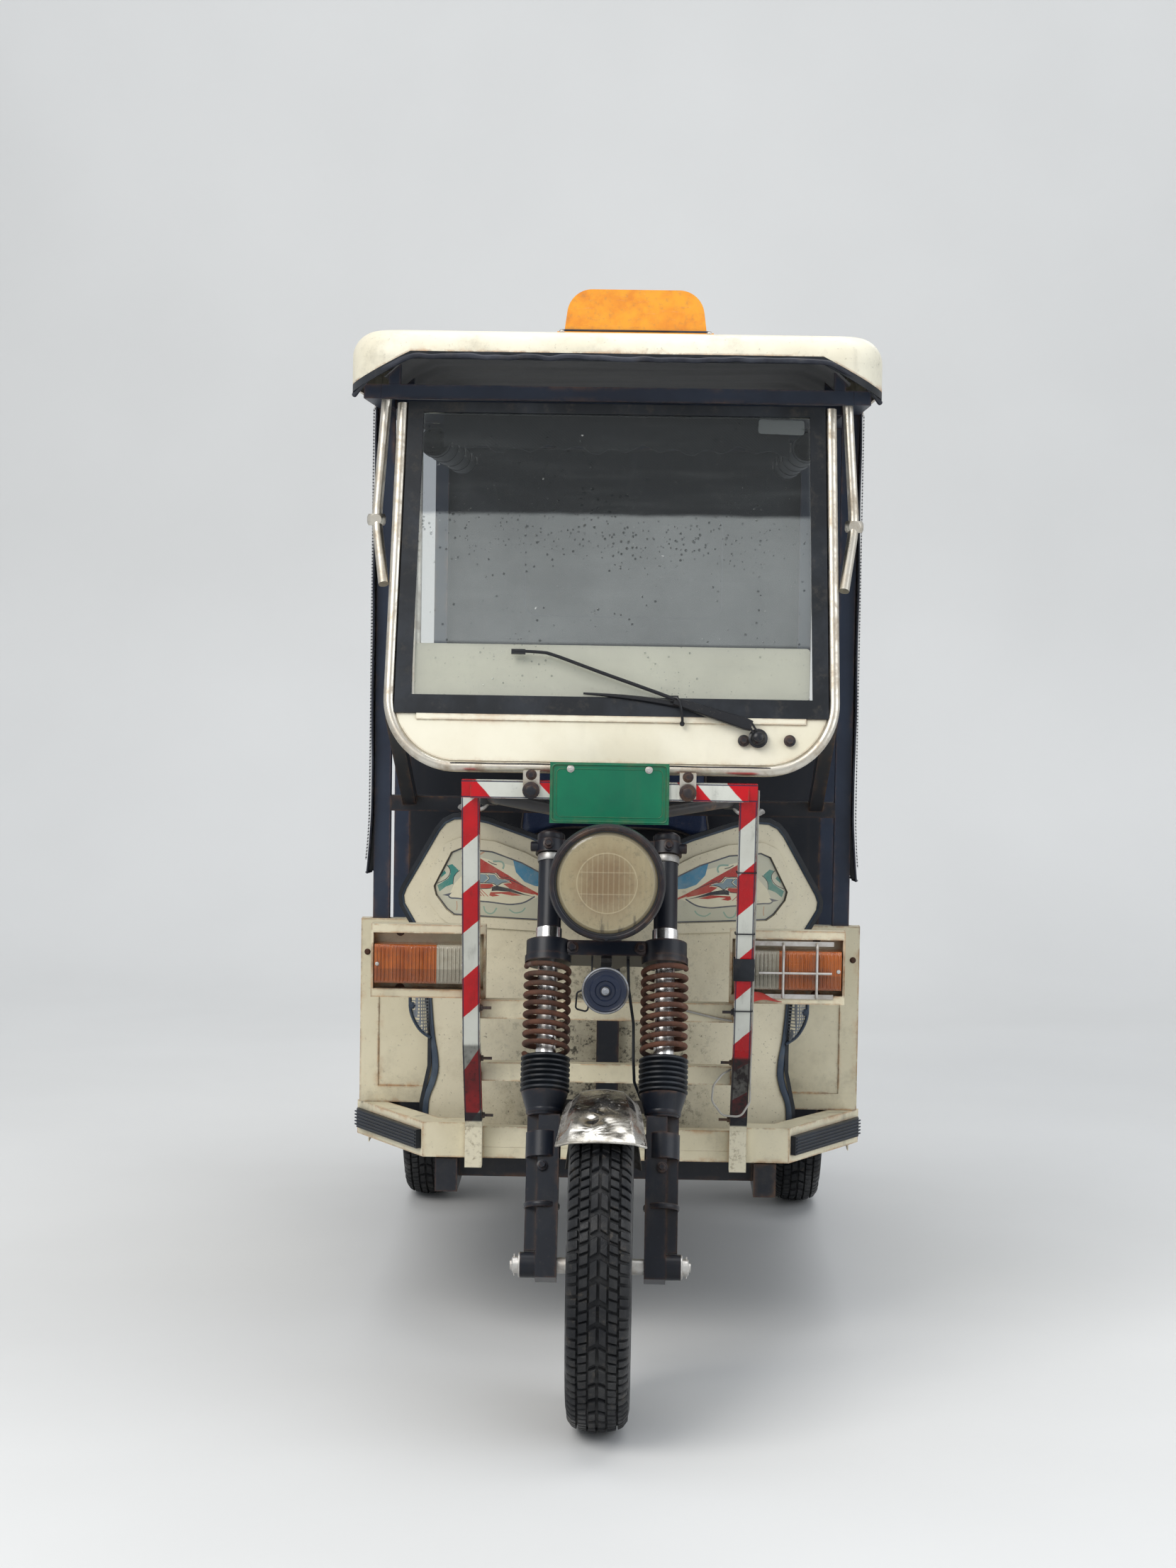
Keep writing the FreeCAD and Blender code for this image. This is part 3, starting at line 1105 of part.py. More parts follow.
def side_panels():
    """Body sides: a plain panel below the front seats and a wheel-arched one at the rear."""
    x1 = BODY_HALF_WIDTH
    x0 = x1 - SIDE_WALL
    floor_edge = box(x0 - 50, x1 - 1.7, 0, KICK_Y - CHASSIS_TUBE[0] - 3.7, FLOOR_Z - 46,
                     FLOOR_Z + FLOOR_PLATE + 1)
    front = box(x0, x1, PLINTH_Y[0], 1500, SIDE_LOW, PLINTH_TOP + 20).cut(floor_edge)
    rear = box(x0, x1, 1800, BODY_REAR, SIDE_LOW + 40, SIDE_HIGH)
    arch = Part.makeCylinder(TYRE_R + ARCH_GAP, 100, V(x0 - 40, WHEELBASE, TYRE_R), X_AXIS)
    low_edge = box(x0 - 40, x1 + 10, WHEELBASE - TYRE_R - ARCH_GAP, WHEELBASE + TYRE_R + ARCH_GAP, 200,
                   TYRE_R)
    rear = rear.cut([arch, low_edge])
    shelf = box(REAR_PLINTH_HALF + SEAT_GAP, x0, 1800, BODY_REAR - 30, PLINTH_TOP - 22, PLINTH_TOP)
    shelf = shelf.cut(box(POST_X - POST / 2 - SEAT_GAP, POST_X + POST / 2 + SEAT_GAP,
                          POST_Y[2] - POST / 2 - SEAT_GAP,
                          POST_Y[2] + POST / 2 + SEAT_GAP, 0, 900))
    rear = joined([rear, shelf])
    flare = ring(V(x1, WHEELBASE, TYRE_R), X_AXIS, TYRE_R + ARCH_GAP + 22, TYRE_R + ARCH_GAP, 6)
    flare = flare.cut(box(x1 - 1, x1 + 10, 0, 4000, -200, SIDE_LOW + 60))
    return both(Part.makeCompound([front, joined([rear, flare])]))


def rear_panel():
    """Painted tail panel with a pressed field and lamp recesses."""
    half = BODY_HALF_WIDTH
    y0 = BODY_REAR + SEAT_GAP
    panel = box(-half, half, y0, y0 + 24, SIDE_LOW + 40, REAR_PANEL_HIGH)
    corners = [e for e in panel.Edges if abs(e.Length - 24) < 1e-6 and e.CenterOfMass.z > 1000]
    panel = panel.makeFillet(60, corners)
    field = box(-half + 60, half - 60, y0 + 20, y0 + 30, 640, REAR_PANEL_HIGH - 60)
    lower = box(-210, 210, y0 + 20, y0 + 30, 420, 580)
    return panel.cut([field, lower])


def tail_lamps():
    """Rear lamp blocks on the tail panel."""
    y0 = BODY_REAR + SEAT_GAP + 24 + SEAT_GAP
    lens = box(250, 410, y0, y0 + 26, 470, 540)
    edges = [e for e in lens.Edges if abs(e.CenterOfMass.y - y0 - 26) < 1e-3]
    return both(lens.makeFillet(7, edges))


def rear_bumper():
    """Tube bumper on two short arms behind the tail panel."""
    y = REAR_END - BUMPER_TUBE_R
    face = BODY_REAR + SEAT_GAP + 24 + SEAT_GAP
    tube = pipe([V(-400, face, 392), V(-400, y, 392), V(400, y, 392), V(400, face, 392)], BUMPER_TUBE_R, 28)
    arms = [box(x - 16, x + 16, face, y, 380, 404) for x in (-CHASSIS_X, CHASSIS_X)]
    return joined([tube, *arms])


def curtain(y0, y1, low):
    """One hanging side curtain: a thin wall outside the posts that kicks outward at its foot."""
    x0 = POST_X + POST / 2 + SEAT_GAP
    outline = [(x0, ROOF_RAIL_Z + 12), (x0, low + 120), (x0 + 8, low), (x0 + 8 + CANVAS, low),
               (x0 + CANVAS, low + 120), (x0 + CANVAS, ROOF_RAIL_Z + 12)]
    return profile_y(outline, y0, y1)


def side_canvas():
    """A drawn-back curtain at each front post, and the rolled-up canvas over the passengers' doorways."""
    hanging = curtain(*CURTAIN_Y, CURTAIN_LOW)
    x = POST_X - POST / 2 - ROLL_R - 2
    y0, y1 = POST_Y[1] + 40, POST_Y[2] - 40
    roll = Part.makeCylinder(ROLL_R, y1 - y0, V(x, y0, ROOF_RAIL_Z - ROLL_R - SEAT_GAP), Y_AXIS)
    return both(Part.makeCompound([hanging, roll]))


def rear_curtain():
    """Canvas back wall above the tail panel."""
    y0 = POST_Y[2] + POST / 2 + SEAT_GAP
    return box(-POST_X - 10, POST_X + 10, y0, y0 + CANVAS, SIDE_HIGH + 10, ROOF_RAIL_Z + 8)


def grab_rails():
    """Bright poles at the doorways and arm rails beside the rear bench."""
    low = FLOOR_Z + SEAT_GAP + FLOOR_PLATE + SEAT_GAP
    pole = bar(V(POST_X - 3, POLE_Y, low), V(POST_X - 3, POLE_Y, ROOF_RAIL_Z - SEAT_GAP), 11)
    y = POST_Y[2] - POST / 2 - SEAT_GAP
    x = BODY_HALF_WIDTH - 14
    arm = pipe([V(x, y, 980), V(x, 1832, 980), V(x, 1832, SIDE_HIGH + SEAT_GAP)], 11, 60)
    return both(Part.makeCompound([pole, arm]))


# Rear axle and suspension


def rear_axle():
    """Axle tube with spindles, final-drive case and the spring saddles."""
    inner = REAR_HALF_TRACK - DRUM_WIDTH / 2 - 9
    tube = bar(V(-inner + 8, WHEELBASE, TYRE_R), V(inner - 8, WHEELBASE, TYRE_R), AXLE_TUBE_R)
    spindle = bar(V(-inner - 50, WHEELBASE, TYRE_R), V(inner + 50, WHEELBASE, TYRE_R), AXLE_R * 2)
    case = Part.makeCylinder(DIFF_R, 96, V(-30, WHEELBASE, TYRE_R), X_AXIS)
    neck = Part.makeCone(DIFF_R - 14, AXLE_TUBE_R + 4, 60, V(66, WHEELBASE, TYRE_R), X_AXIS)
    neck_l = Part.makeCone(DIFF_R - 14, AXLE_TUBE_R + 4, 60, V(-30, WHEELBASE, TYRE_R), X_AXIS * -1)
    gearbox = box(-26, 60, WHEELBASE - 190, WHEELBASE, TYRE_R - 40, TYRE_R + 62)
    saddles = []
    for x in (-CHASSIS_X, CHASSIS_X):
        saddles.append(box(x - 26, x + 26, WHEELBASE - 30, WHEELBASE + 30, TYRE_R, TYRE_R + AXLE_TUBE_R + 6))
    return joined([tube, spindle, case, neck, neck_l, gearbox, *saddles])


def motor():
    """Drive motor as one plain ribbed drum on the gear case."""
    y, z = WHEELBASE - 130, TYRE_R + 20
    x0 = 60 + SEAT_GAP
    body = Part.makeCylinder(MOTOR_R - 6, MOTOR_LENGTH, V(x0, y, z), X_AXIS)
    ribs = [Part.makeCylinder(MOTOR_R, 8, V(x0 + 24 + i * 22, y, z), X_AXIS) for i in range(8)]
    piece = joined([body, *ribs])
    return piece.cut(Part.makeCylinder(DIFF_R + 2, 200, V(-30, WHEELBASE, TYRE_R), X_AXIS))


def leaf_springs():
    """Leaf packs over the axle, with eyes and hangers under the rear rails."""
    z0 = TYRE_R + AXLE_TUBE_R + 6 + SEAT_GAP
    rise = REAR_RAIL_Z - CHASSIS_TUBE[1] - SEAT_GAP - 14 - (LEAVES - 1) * LEAF - z0
    parts = []
    for i in range(LEAVES):
        span = SPRING_HALF_SPAN * (1 - 0.2 * i)
        lift = rise * (span / SPRING_HALF_SPAN) ** 2
        low = z0 + (LEAVES - 1 - i) * LEAF
        edges = []
        for dz in (0, LEAF):
            edges.append(Part.Arc(V(0, -span, low + lift + dz), V(0, 0, low + dz),
                                  V(0, span, low + lift + dz)).toShape())
        edges.append(Part.LineSegment(V(0, -span, low + lift), V(0, -span, low + lift + LEAF)).toShape())
        edges.append(Part.LineSegment(V(0, span, low + lift), V(0, span, low + lift + LEAF)).toShape())
        leaf = Part.Face(Part.Wire(Part.__sortEdges__(edges))).extrude(V(LEAF_WIDTH, 0, 0))
        leaf.translate(V(-LEAF_WIDTH / 2, 0, 0))
        parts.append(leaf)
    eye_z = z0 + 3 * LEAF + rise
    hanger_top = REAR_RAIL_Z - CHASSIS_TUBE[1] - SEAT_GAP
    for sign in (-1, 1):
        eye = Part.makeCylinder(13, LEAF_WIDTH, V(-LEAF_WIDTH / 2, sign * SPRING_HALF_SPAN, eye_z), X_AXIS)
        hanger = box(-LEAF_WIDTH / 2, LEAF_WIDTH / 2, sign * SPRING_HALF_SPAN - 12,
                     sign * SPRING_HALF_SPAN + 12,
                     eye_z, hanger_top)
        parts += [eye, hanger]
    pack = joined(parts)
    pack.translate(V(CHASSIS_X, WHEELBASE, 0))
    return both(pack)


def brake_pedal():
    """Foot pedal with its arm and floor bracket."""
    low = FLOOR_Z + SEAT_GAP + FLOOR_PLATE + SEAT_GAP
    foot = box(-150, -110, 690, 730, low, low + 40)
    arm = profile_x([(700, low + 30), (712, low + 30), (672, low + 118), (660, low + 110)], -138, -124)
    pad = profile_x([(646, low + 92), (652, low + 86), (690, low + 122), (684, low + 130)], -160, -102)
    return joined([foot, arm, pad])


def front_axle():
    """Front wheel spindle with its end nuts."""
    reach = LEG_X + SLIDER_WIDTH / 2 + 6 + 4
    shaft = bar(V(-reach - 12, 0, TYRE_R), V(reach + 12, 0, TYRE_R), AXLE_R)
    nuts = []
    for sign in (-1, 1):
        nuts.append(Part.makeCylinder(14, 11, V(sign * (reach - 3.7), 0, TYRE_R), X_AXIS * sign))
        inner = LEG_X - SLIDER_WIDTH / 2 - SEAT_GAP
        spacer_start = DRUM_WIDTH / 2 + 9 + 1
        nuts.append(Part.makeCylinder(13, inner - spacer_start, V(sign * spacer_start, 0, TYRE_R),
                                      X_AXIS * sign))
    return joined([shaft, *nuts])


def build():
    """Every node's name and shape, in the modelling frame."""
    inner, split, outer = LENS_X
    nodes = {
        "front_tyre": tyre(0, 0),
        "front_wheel": wheel_disc(0, 0, 1, None),
        "rear_left_tyre": tyre(REAR_HALF_TRACK, WHEELBASE),
        "rear_left_wheel": wheel_disc(REAR_HALF_TRACK, WHEELBASE, 1, 55),
        "rear_right_tyre": tyre(-REAR_HALF_TRACK, WHEELBASE),
        "rear_right_wheel": wheel_disc(-REAR_HALF_TRACK, WHEELBASE, -1, 55),
        "front_axle": front_axle(),
        "fork_sliders": fork_sliders(),
        "fork_gaiters": fork_gaiters(),
        "fork_springs": fork_springs(),
        "fork_stanchions": fork_stanchions(),
        "fork_clamps": Part.makeCompound([fork_yokes(), *headlamp_ears().Solids, *spring_caps().Solids]),
        "headlamp_shell": headlamp_shell(),
        "headlamp_lens": headlamp_lens(),
        "horn": horn(),
        "fork_cables": fork_cables(),
        "front_mudguard": front_mudguard(),
        "handlebar": handlebar(),
        "grips": grips(),
        "steering_head": steering_head(),
        "guard_frame": guard_frame(),
        "number_plate": number_plate(),
        "guard_wire": guard_wire(),
        "bumper": Part.makeCompound([bumper(), *guard_rails()]),
        "bumper_trim": bumper_trim(),
        "lamp_trays": lamp_trays(),
        "lamp_clear": side_lamps(inner, split - 0.2),
        "lamp_amber": side_lamps(split, outer),
        "lamp_guard": lamp_guard(),
        "leg_shield": leg_shield(),
        "front_panels": front_panels(),
        "chassis_frame": chassis_frame(),
        "floor_plate": floor_plate(),
        "cabin_posts": cabin_posts(),
        "roof_rails": roof_rails(),
        "dash_frame": dash_frame(),
        "screen_tube": screen_tube(),
        "screen_seal": screen_seal(),
        "screen_glass": screen_glass(),
        "nose_panel": nose_panel(),
        "wiper": wiper(),
        "screen_stays": Part.makeCompound([*roof_stays().Solids, *screen_clamps().Solids]),
        "roof": roof(),
        "edge_beading": Part.makeCompound([roof_edging(), *shield_piping().Solids]),
        "roof_sign": roof_sign(),
        "seat_boxes": seat_boxes(),
        "battery": battery(),
        "side_panels": side_panels(),
        "rear_panel": rear_panel(),
        "tail_lamps": tail_lamps(),
        "rear_bumper": rear_bumper(),
        "side_canvas": side_canvas(),
        "rear_curtain": rear_curtain(),
        "grab_rails": grab_rails(),
        "rear_axle": Part.makeCompound([rear_axle(), motor()]),
        "leaf_springs": leaf_springs(),
        "brake_pedal": brake_pedal(),
    }
    for name in PADS:
        nodes[name] = seat_pads(name)
    return nodes


def main():
    """Moves each node to the row frame and writes its STEP file."""
    os.makedirs("parts", exist_ok=True)
    for name, shape in build().items():
        shape = shape.copy()
        shape.translate(V(0, FRONT_AXLE_Y, 0))
        good = all(s.isValid() and s.Volume > 0 for s in shape.Solids) and shape.Solids
        bb = shape.optimalBoundingBox()
        print(f"{name:22s} {'ok ' if good else 'BAD'} solids {len(shape.Solids):2d} "
              f"volume {shape.Volume / 1e3:10.1f} cm3 x {bb.XMin:7.1f} {bb.XMax:7.1f} "
              f"y {bb.YMin:8.1f} {bb.YMax:8.1f} z {bb.ZMin:7.1f} {bb.ZMax:7.1f}")
        shape.exportStep(f"parts/{name}.step")


if __name__ == "__main__":
    main()
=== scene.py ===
"""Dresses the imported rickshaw: finishes, tread, lamps, canvas, cushions, fasteners, light and camera."""

from __future__ import annotations

import json
import logging
import math
import random
from dataclasses import dataclass, field
from enum import Enum
from typing import Callable, Iterable, Sequence

import bmesh
import bpy
from mathutils import Matrix, Vector
from mathutils.bvhtree import BVHTree
from mathutils.geometry import delaunay_2d_cdt


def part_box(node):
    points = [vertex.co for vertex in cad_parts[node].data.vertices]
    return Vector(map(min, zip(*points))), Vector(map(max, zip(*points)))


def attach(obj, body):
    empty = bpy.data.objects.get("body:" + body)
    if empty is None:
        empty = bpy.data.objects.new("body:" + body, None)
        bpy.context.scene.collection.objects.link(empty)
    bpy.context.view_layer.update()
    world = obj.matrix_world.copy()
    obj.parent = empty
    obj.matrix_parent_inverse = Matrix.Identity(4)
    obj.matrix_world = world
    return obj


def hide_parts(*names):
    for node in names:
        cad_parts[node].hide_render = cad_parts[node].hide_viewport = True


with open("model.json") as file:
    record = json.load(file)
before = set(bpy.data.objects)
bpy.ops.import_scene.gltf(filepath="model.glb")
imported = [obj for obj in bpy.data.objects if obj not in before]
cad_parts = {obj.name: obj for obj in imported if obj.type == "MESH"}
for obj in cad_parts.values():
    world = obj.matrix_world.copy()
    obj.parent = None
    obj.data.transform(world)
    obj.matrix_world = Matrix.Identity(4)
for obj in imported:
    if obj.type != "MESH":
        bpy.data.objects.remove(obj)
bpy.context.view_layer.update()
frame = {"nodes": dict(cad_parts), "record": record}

log = logging.getLogger("rickshaw")

Colour = tuple[float, float, float]
Point = tuple[float, float, float]

FRONT_AXLE_Y = -1.114
TYRE_R = 0.266
RAKE = math.radians(22.0)
MM = 0.001
FORWARD = Vector((0, -1, 0)).freeze()
HEADLAMP_Z = 883
HORN_Z = 704
GUARD_X = 235
GUARD_TOP = (250, 1041)
GUARD_FOOT = (384, 578)
QUARTERS = ((1, 1, 0), (-1, 1, 90), (-1, -1, 180), (1, -1, 270))


def at(x: float, y: float, z: float) -> Vector:
    """A point in metres from millimetres, with Y counted back from the front axle."""
    return Vector((x * MM, y * MM + FRONT_AXLE_Y, z * MM))


def on_leg(x: float, y: float, s: float) -> Vector:
    """A raked fork point in metres from millimetres: s runs up the leg from the axle."""
    return at(x, y * math.cos(RAKE) + s * math.sin(RAKE), 266.0 - y * math.sin(RAKE) + s * math.cos(RAKE))


def guard_y(z: float) -> float:
    """How far the guard's uprights lie behind the front axle at a height, in millimetres."""
    (y0, z0), (y1, z1) = GUARD_TOP, GUARD_FOOT
    return y0 + (y1 - y0) * (z0 - z) / (z0 - z1)


def shield_y(x: float) -> float:
    """How far the leg shield's round front lies behind the front axle at a sideways place, in millimetres."""
    return 1500.0 - math.sqrt(900.0 ** 2 - x ** 2)


def side_of(sign: int) -> str:
    """The side's name: left where X is positive."""
    return "left" if sign > 0 else "right"


def turns(count: int) -> Iterable[float]:
    """Angles spread evenly over a full circle, in radians."""
    return (2 * math.pi * k / count for k in range(count))


def square_to(axis: Vector) -> tuple[Vector, Vector]:
    """Two unit vectors square to a unit axis and to each other."""
    guess = Vector((0, 0, 1)) if abs(axis.z) < 0.9 else Vector((1, 0, 0))
    u = axis.cross(guess).normalized()
    return u, axis.cross(u)


# Shader trees


class Tree:
    """One material's node tree, built with short calls."""

    def __init__(self, name: str) -> None:
        """Starts an empty tree with a Principled shader.

        Args:
            name: the material's name.
        """
        self.material = bpy.data.materials.new(name)
        self.material.use_nodes = True
        self.nodes = self.material.node_tree.nodes
        self.links = self.material.node_tree.links
        self.nodes.clear()
        self.out = self.add("ShaderNodeOutputMaterial")
        self.shader = self.add("ShaderNodeBsdfPrincipled")
        self.links.new(self.shader.outputs[0], self.out.inputs["Surface"])
        self._place = None

    def add(self, kind: str, **settings) -> bpy.types.Node:
        """Adds a node and sets its plain properties.

        Args:
            kind: the node's type name.
            settings: property values.

        Returns:
            The new node.
        """
        node = self.nodes.new(kind)
        for key, value in settings.items():
            setattr(node, key, value)
        return node

    def feed(self, node: bpy.types.Node, **inputs) -> bpy.types.Node:
        """Links or sets a node's inputs by name, with underscores for spaces.

        Args:
            node: the node to fill.
            inputs: sockets or plain values.

        Returns:
            The same node.
        """
        for key, value in inputs.items():
            name = key.replace("_", " ")
            socket = node.inputs[int(name[2:])] if name.startswith("i ") else node.inputs[name]
            if isinstance(value, bpy.types.NodeSocket):
                self.links.new(value, socket)
            else:
                socket.default_value = value
        return node

    @property
    def place(self) -> bpy.types.NodeSocket:
        """Object coordinates."""
        if self._place is None:
            self._place = self.add("ShaderNodeTexCoord").outputs["Object"]
        return self._place

    def stretched(self, scale: Point, turn: Point = (0, 0, 0), source=None) -> bpy.types.NodeSocket:
        """Coordinates scaled along each axis, for grain and streaks."""
        node = self.add("ShaderNodeMapping")
        self.feed(node, Vector=source or self.place, Scale=scale, Rotation=turn)
        return node.outputs[0]

    def axis(self, name: str, source=None) -> bpy.types.NodeSocket:
        """One coordinate of the place."""
        node = self.feed(self.add("ShaderNodeSeparateXYZ"), Vector=source or self.place)
        return node.outputs[name]

    def noise(self, scale: float, detail: float = 4, rough: float = 0.55, source=None, warp: float = 0.0):
        """A noise value between 0 and 1."""
        node = self.add("ShaderNodeTexNoise")
        self.feed(node, Vector=source or self.place, Scale=scale, Detail=detail, Roughness=rough, Distortion=warp)
        return node.outputs[0]

    def cells(self, scale: float, feature: str = "F1", source=None, output: str = "Distance"):
        """A Voronoi value."""
        node = self.add("ShaderNodeTexVoronoi", feature=feature)
        self.feed(node, Vector=source or self.place, Scale=scale)
        return node.outputs[output]

    def calc(self, operation: str, a, b=0.0, clamp: bool = False) -> bpy.types.NodeSocket:
        """A math node's value."""
        node = self.add("ShaderNodeMath", operation=operation, use_clamp=clamp)
        for socket, value in zip(node.inputs, (a, b)):
            if isinstance(value, bpy.types.NodeSocket):
                self.links.new(value, socket)
            else:
                socket.default_value = value
        return node.outputs[0]

    def times(self, a, b, clamp: bool = False) -> bpy.types.NodeSocket:
        """A product."""
        return self.calc("MULTIPLY", a, b, clamp)

    def plus(self, a, b, clamp: bool = False) -> bpy.types.NodeSocket:
        """A sum."""
        return self.calc("ADD", a, b, clamp)

    def minus(self, a, b) -> bpy.types.NodeSocket:
        """A difference."""
        return self.calc("SUBTRACT", a, b)

    def size(self, a) -> bpy.types.NodeSocket:
        """A value without its sign."""
        return self.calc("ABSOLUTE", a)

    def blend(self, share, a: bpy.types.NodeSocket, b: bpy.types.NodeSocket) -> bpy.types.NodeSocket:
        """A surface blended from a to b."""
        node = self.feed(self.add("ShaderNodeMixShader"), Fac=share)
        self.links.new(a, node.inputs[1])
        self.links.new(b, node.inputs[2])
        return node.outputs[0]

    def band(self, value, low: float, high: float, to_low: float = 0.0, to_high: float = 1.0):
        """A value remapped smoothly from one range to another."""
        node = self.add("ShaderNodeMapRange", interpolation_type="SMOOTHSTEP")
        self.feed(node, i_0=value, i_1=low, i_2=high, i_3=to_low, i_4=to_high)
        return node.outputs[0]

    def mix(self, share, a, b) -> bpy.types.NodeSocket:
        """A colour mixed from a to b."""
        node = self.add("ShaderNodeMix", data_type="RGBA")
        for index, value in ((0, share), (6, a), (7, b)):
            socket = node.inputs[index]
            if isinstance(value, bpy.types.NodeSocket):
                self.links.new(value, socket)
            elif index:
                socket.default_value = (*value, 1.0) if len(value) == 3 else value
            else:
                socket.default_value = value
        return node.outputs[2]

    def edges(self, radius: float, sharp: float = 0.06) -> bpy.types.NodeSocket:
        """A mask that is 1 on worn edges and corners."""
        bevel = self.add("ShaderNodeBevel", samples=4)
        self.feed(bevel, Radius=radius)
        dot = self.add("ShaderNodeVectorMath", operation="DOT_PRODUCT")
        self.links.new(bevel.outputs[0], dot.inputs[0])
        self.links.new(self.add("ShaderNodeNewGeometry").outputs["Normal"], dot.inputs[1])
        return self.band(dot.outputs["Value"], 1.0, 1.0 - sharp)

    def crevice(self, reach: float) -> bpy.types.NodeSocket:
        """A mask that is 1 in seams and corners where dirt gathers."""
        node = self.add("ShaderNodeAmbientOcclusion", samples=4)
        self.feed(node, Distance=reach)
        return self.band(node.outputs["AO"], 0.75, 0.3)

    def bump(self, height, distance: float, strength: float = 1.0, under=None) -> bpy.types.NodeSocket:
        """A bumped normal."""
        node = self.add("ShaderNodeBump")
        self.feed(node, Height=height, Distance=distance, Strength=strength)
        if under is not None:
            self.links.new(under, node.inputs["Normal"])
        return node.outputs[0]

    def finish(self, **inputs) -> bpy.types.Material:
        """Fills the shader and hands over the material."""
        self.feed(self.shader, **inputs)
        return self.material


class Finish:
    """A surface finish that builds its material once and keeps it."""

    _made: dict[str, bpy.types.Material] = {}
    name: str

    def build(self, t: Tree) -> bpy.types.Material:
        """Fills the material's empty tree; each kind of finish has its own way."""
        raise NotImplementedError

    @property
    def material(self) -> bpy.types.Material:
        """The built material."""
        if self.name not in Finish._made:
            Finish._made[self.name] = self.build(Tree(self.name))
        return Finish._made[self.name]


RUST: Colour = (0.17, 0.055, 0.018)
RUST_STAIN: Colour = (0.42, 0.2, 0.07)
ROAD_DIRT: Colour = (0.13, 0.11, 0.082)
DULL = 0.28


@dataclass(frozen=True)
class Paint(Finish):
    """Brushed or sprayed paint over steel, with grime, streaks, chips and rust along edges and seams."""

    name: str
    colour: Colour
    shade: Colour
    roughness: float = 0.36
    rust: float = 0.5
    grime: float = 0.5
    chips: float = 0.4
    metal: float = 0.0
    low: float = 0.3
    high: float = 1.2

    def build(self, t: Tree) -> bpy.types.Material:
        """Makes the painted surface."""
        cloud = t.noise(5.0, 6, 0.6)
        fine = t.noise(60.0, 5, 0.65)
        base = t.mix(t.band(cloud, 0.32, 0.68), self.colour, self.shade)
        height = t.band(t.axis("Z"), self.high, self.low, 0.3, 1.0)
        drip = t.times(t.band(t.noise(1.0, 4, 0.5, t.stretched((34, 34, 1.6)), 0.2), 0.56, 0.76),
                      t.band(t.noise(3.2, 4, 0.6), 0.42, 0.62))
        haze = t.band(t.noise(9.0, 8, 0.72), 0.48, 0.76)
        pepper = t.band(t.noise(150.0, 5, 0.7), 0.6, 0.7, 0, 0.5)
        dirt = t.times(t.plus(t.times(drip, 0.5), t.times(haze, 0.55)), height)
        dirt = t.plus(dirt, t.times(pepper, height))
        dirt = t.plus(dirt, t.times(t.crevice(0.02), 0.7))
        dirt = t.times(dirt, self.grime, True)
        base = t.mix(dirt, base, ROAD_DIRT)
        worn = t.times(t.edges(0.0055), t.band(t.noise(24.0, 7, 0.72), 0.4, 0.54))
        speck = t.band(t.noise(21.0, 8, 0.72), 0.705 - 0.05 * self.chips, 0.735)
        stain = t.times(t.band(t.noise(11.0, 6, 0.7), 0.5, 0.68), t.edges(0.016, 0.1))
        seam = t.times(t.crevice(0.012), t.band(t.noise(12.0, 6, 0.68), 0.38, 0.52))
        rust = t.times(t.calc("MAXIMUM", t.calc("MAXIMUM", worn, speck), seam), self.rust, True)
        base = t.mix(t.times(stain, min(1.0, self.rust * 1.2)), base, RUST_STAIN)
        base = t.mix(rust, base, t.mix(t.band(fine, 0.4, 0.6), RUST, RUST_STAIN))
        rough = t.plus(t.times(t.calc("MAXIMUM", rust, dirt), 0.4), self.roughness, True)
        rough = t.plus(rough, t.times(cloud, 0.1))
        relief = t.minus(t.times(fine, 0.3), t.times(rust, 1.0))
        skin = t.bump(t.noise(420.0, 2, 0.5), 0.00012, 0.5)
        return t.finish(Base_Color=base, Specular_IOR_Level=DULL, Roughness=rough, Metallic=self.metal,
                        Normal=t.bump(relief, 0.0005, 0.6, skin))


@dataclass(frozen=True)
class Metal(Finish):
    """Bare or plated metal: drawn grain, water marks, pits and a film of dirt."""

    name: str
    colour: Colour
    roughness: float = 0.2
    pits: float = 0.3
    film: float = 0.4
    grain: Point = (18.0, 18.0, 140.0)

    def build(self, t: Tree) -> bpy.types.Material:
        """Makes the metal surface."""
        grain = t.noise(1.0, 3, 0.6, t.stretched(self.grain))
        blot = t.noise(26.0, 6, 0.7, warp=0.3)
        drops = t.band(t.cells(170.0), 0.1, 0.42)
        film = t.times(t.band(blot, 0.4, 0.72), self.film)
        pit = t.times(t.band(t.noise(70.0, 8, 0.75), 0.64, 0.7), self.pits, True)
        dull = tuple(c * k for c, k in zip(self.colour, (0.5, 0.42, 0.34)))
        base = t.mix(film, self.colour, dull)
        base = t.mix(pit, base, RUST_STAIN)
        rough = t.plus(t.times(grain, 0.14), self.roughness)
        rough = t.plus(rough, t.times(t.calc("MAXIMUM", film, pit), 0.35), True)
        rough = t.plus(rough, t.times(drops, 0.03))
        metal = t.minus(1.0, t.times(pit, 0.8))
        relief = t.minus(t.times(grain, 0.25), pit)
        return t.finish(Base_Color=base, Roughness=rough, Metallic=metal, Normal=t.bump(relief, 0.0003, 0.5))


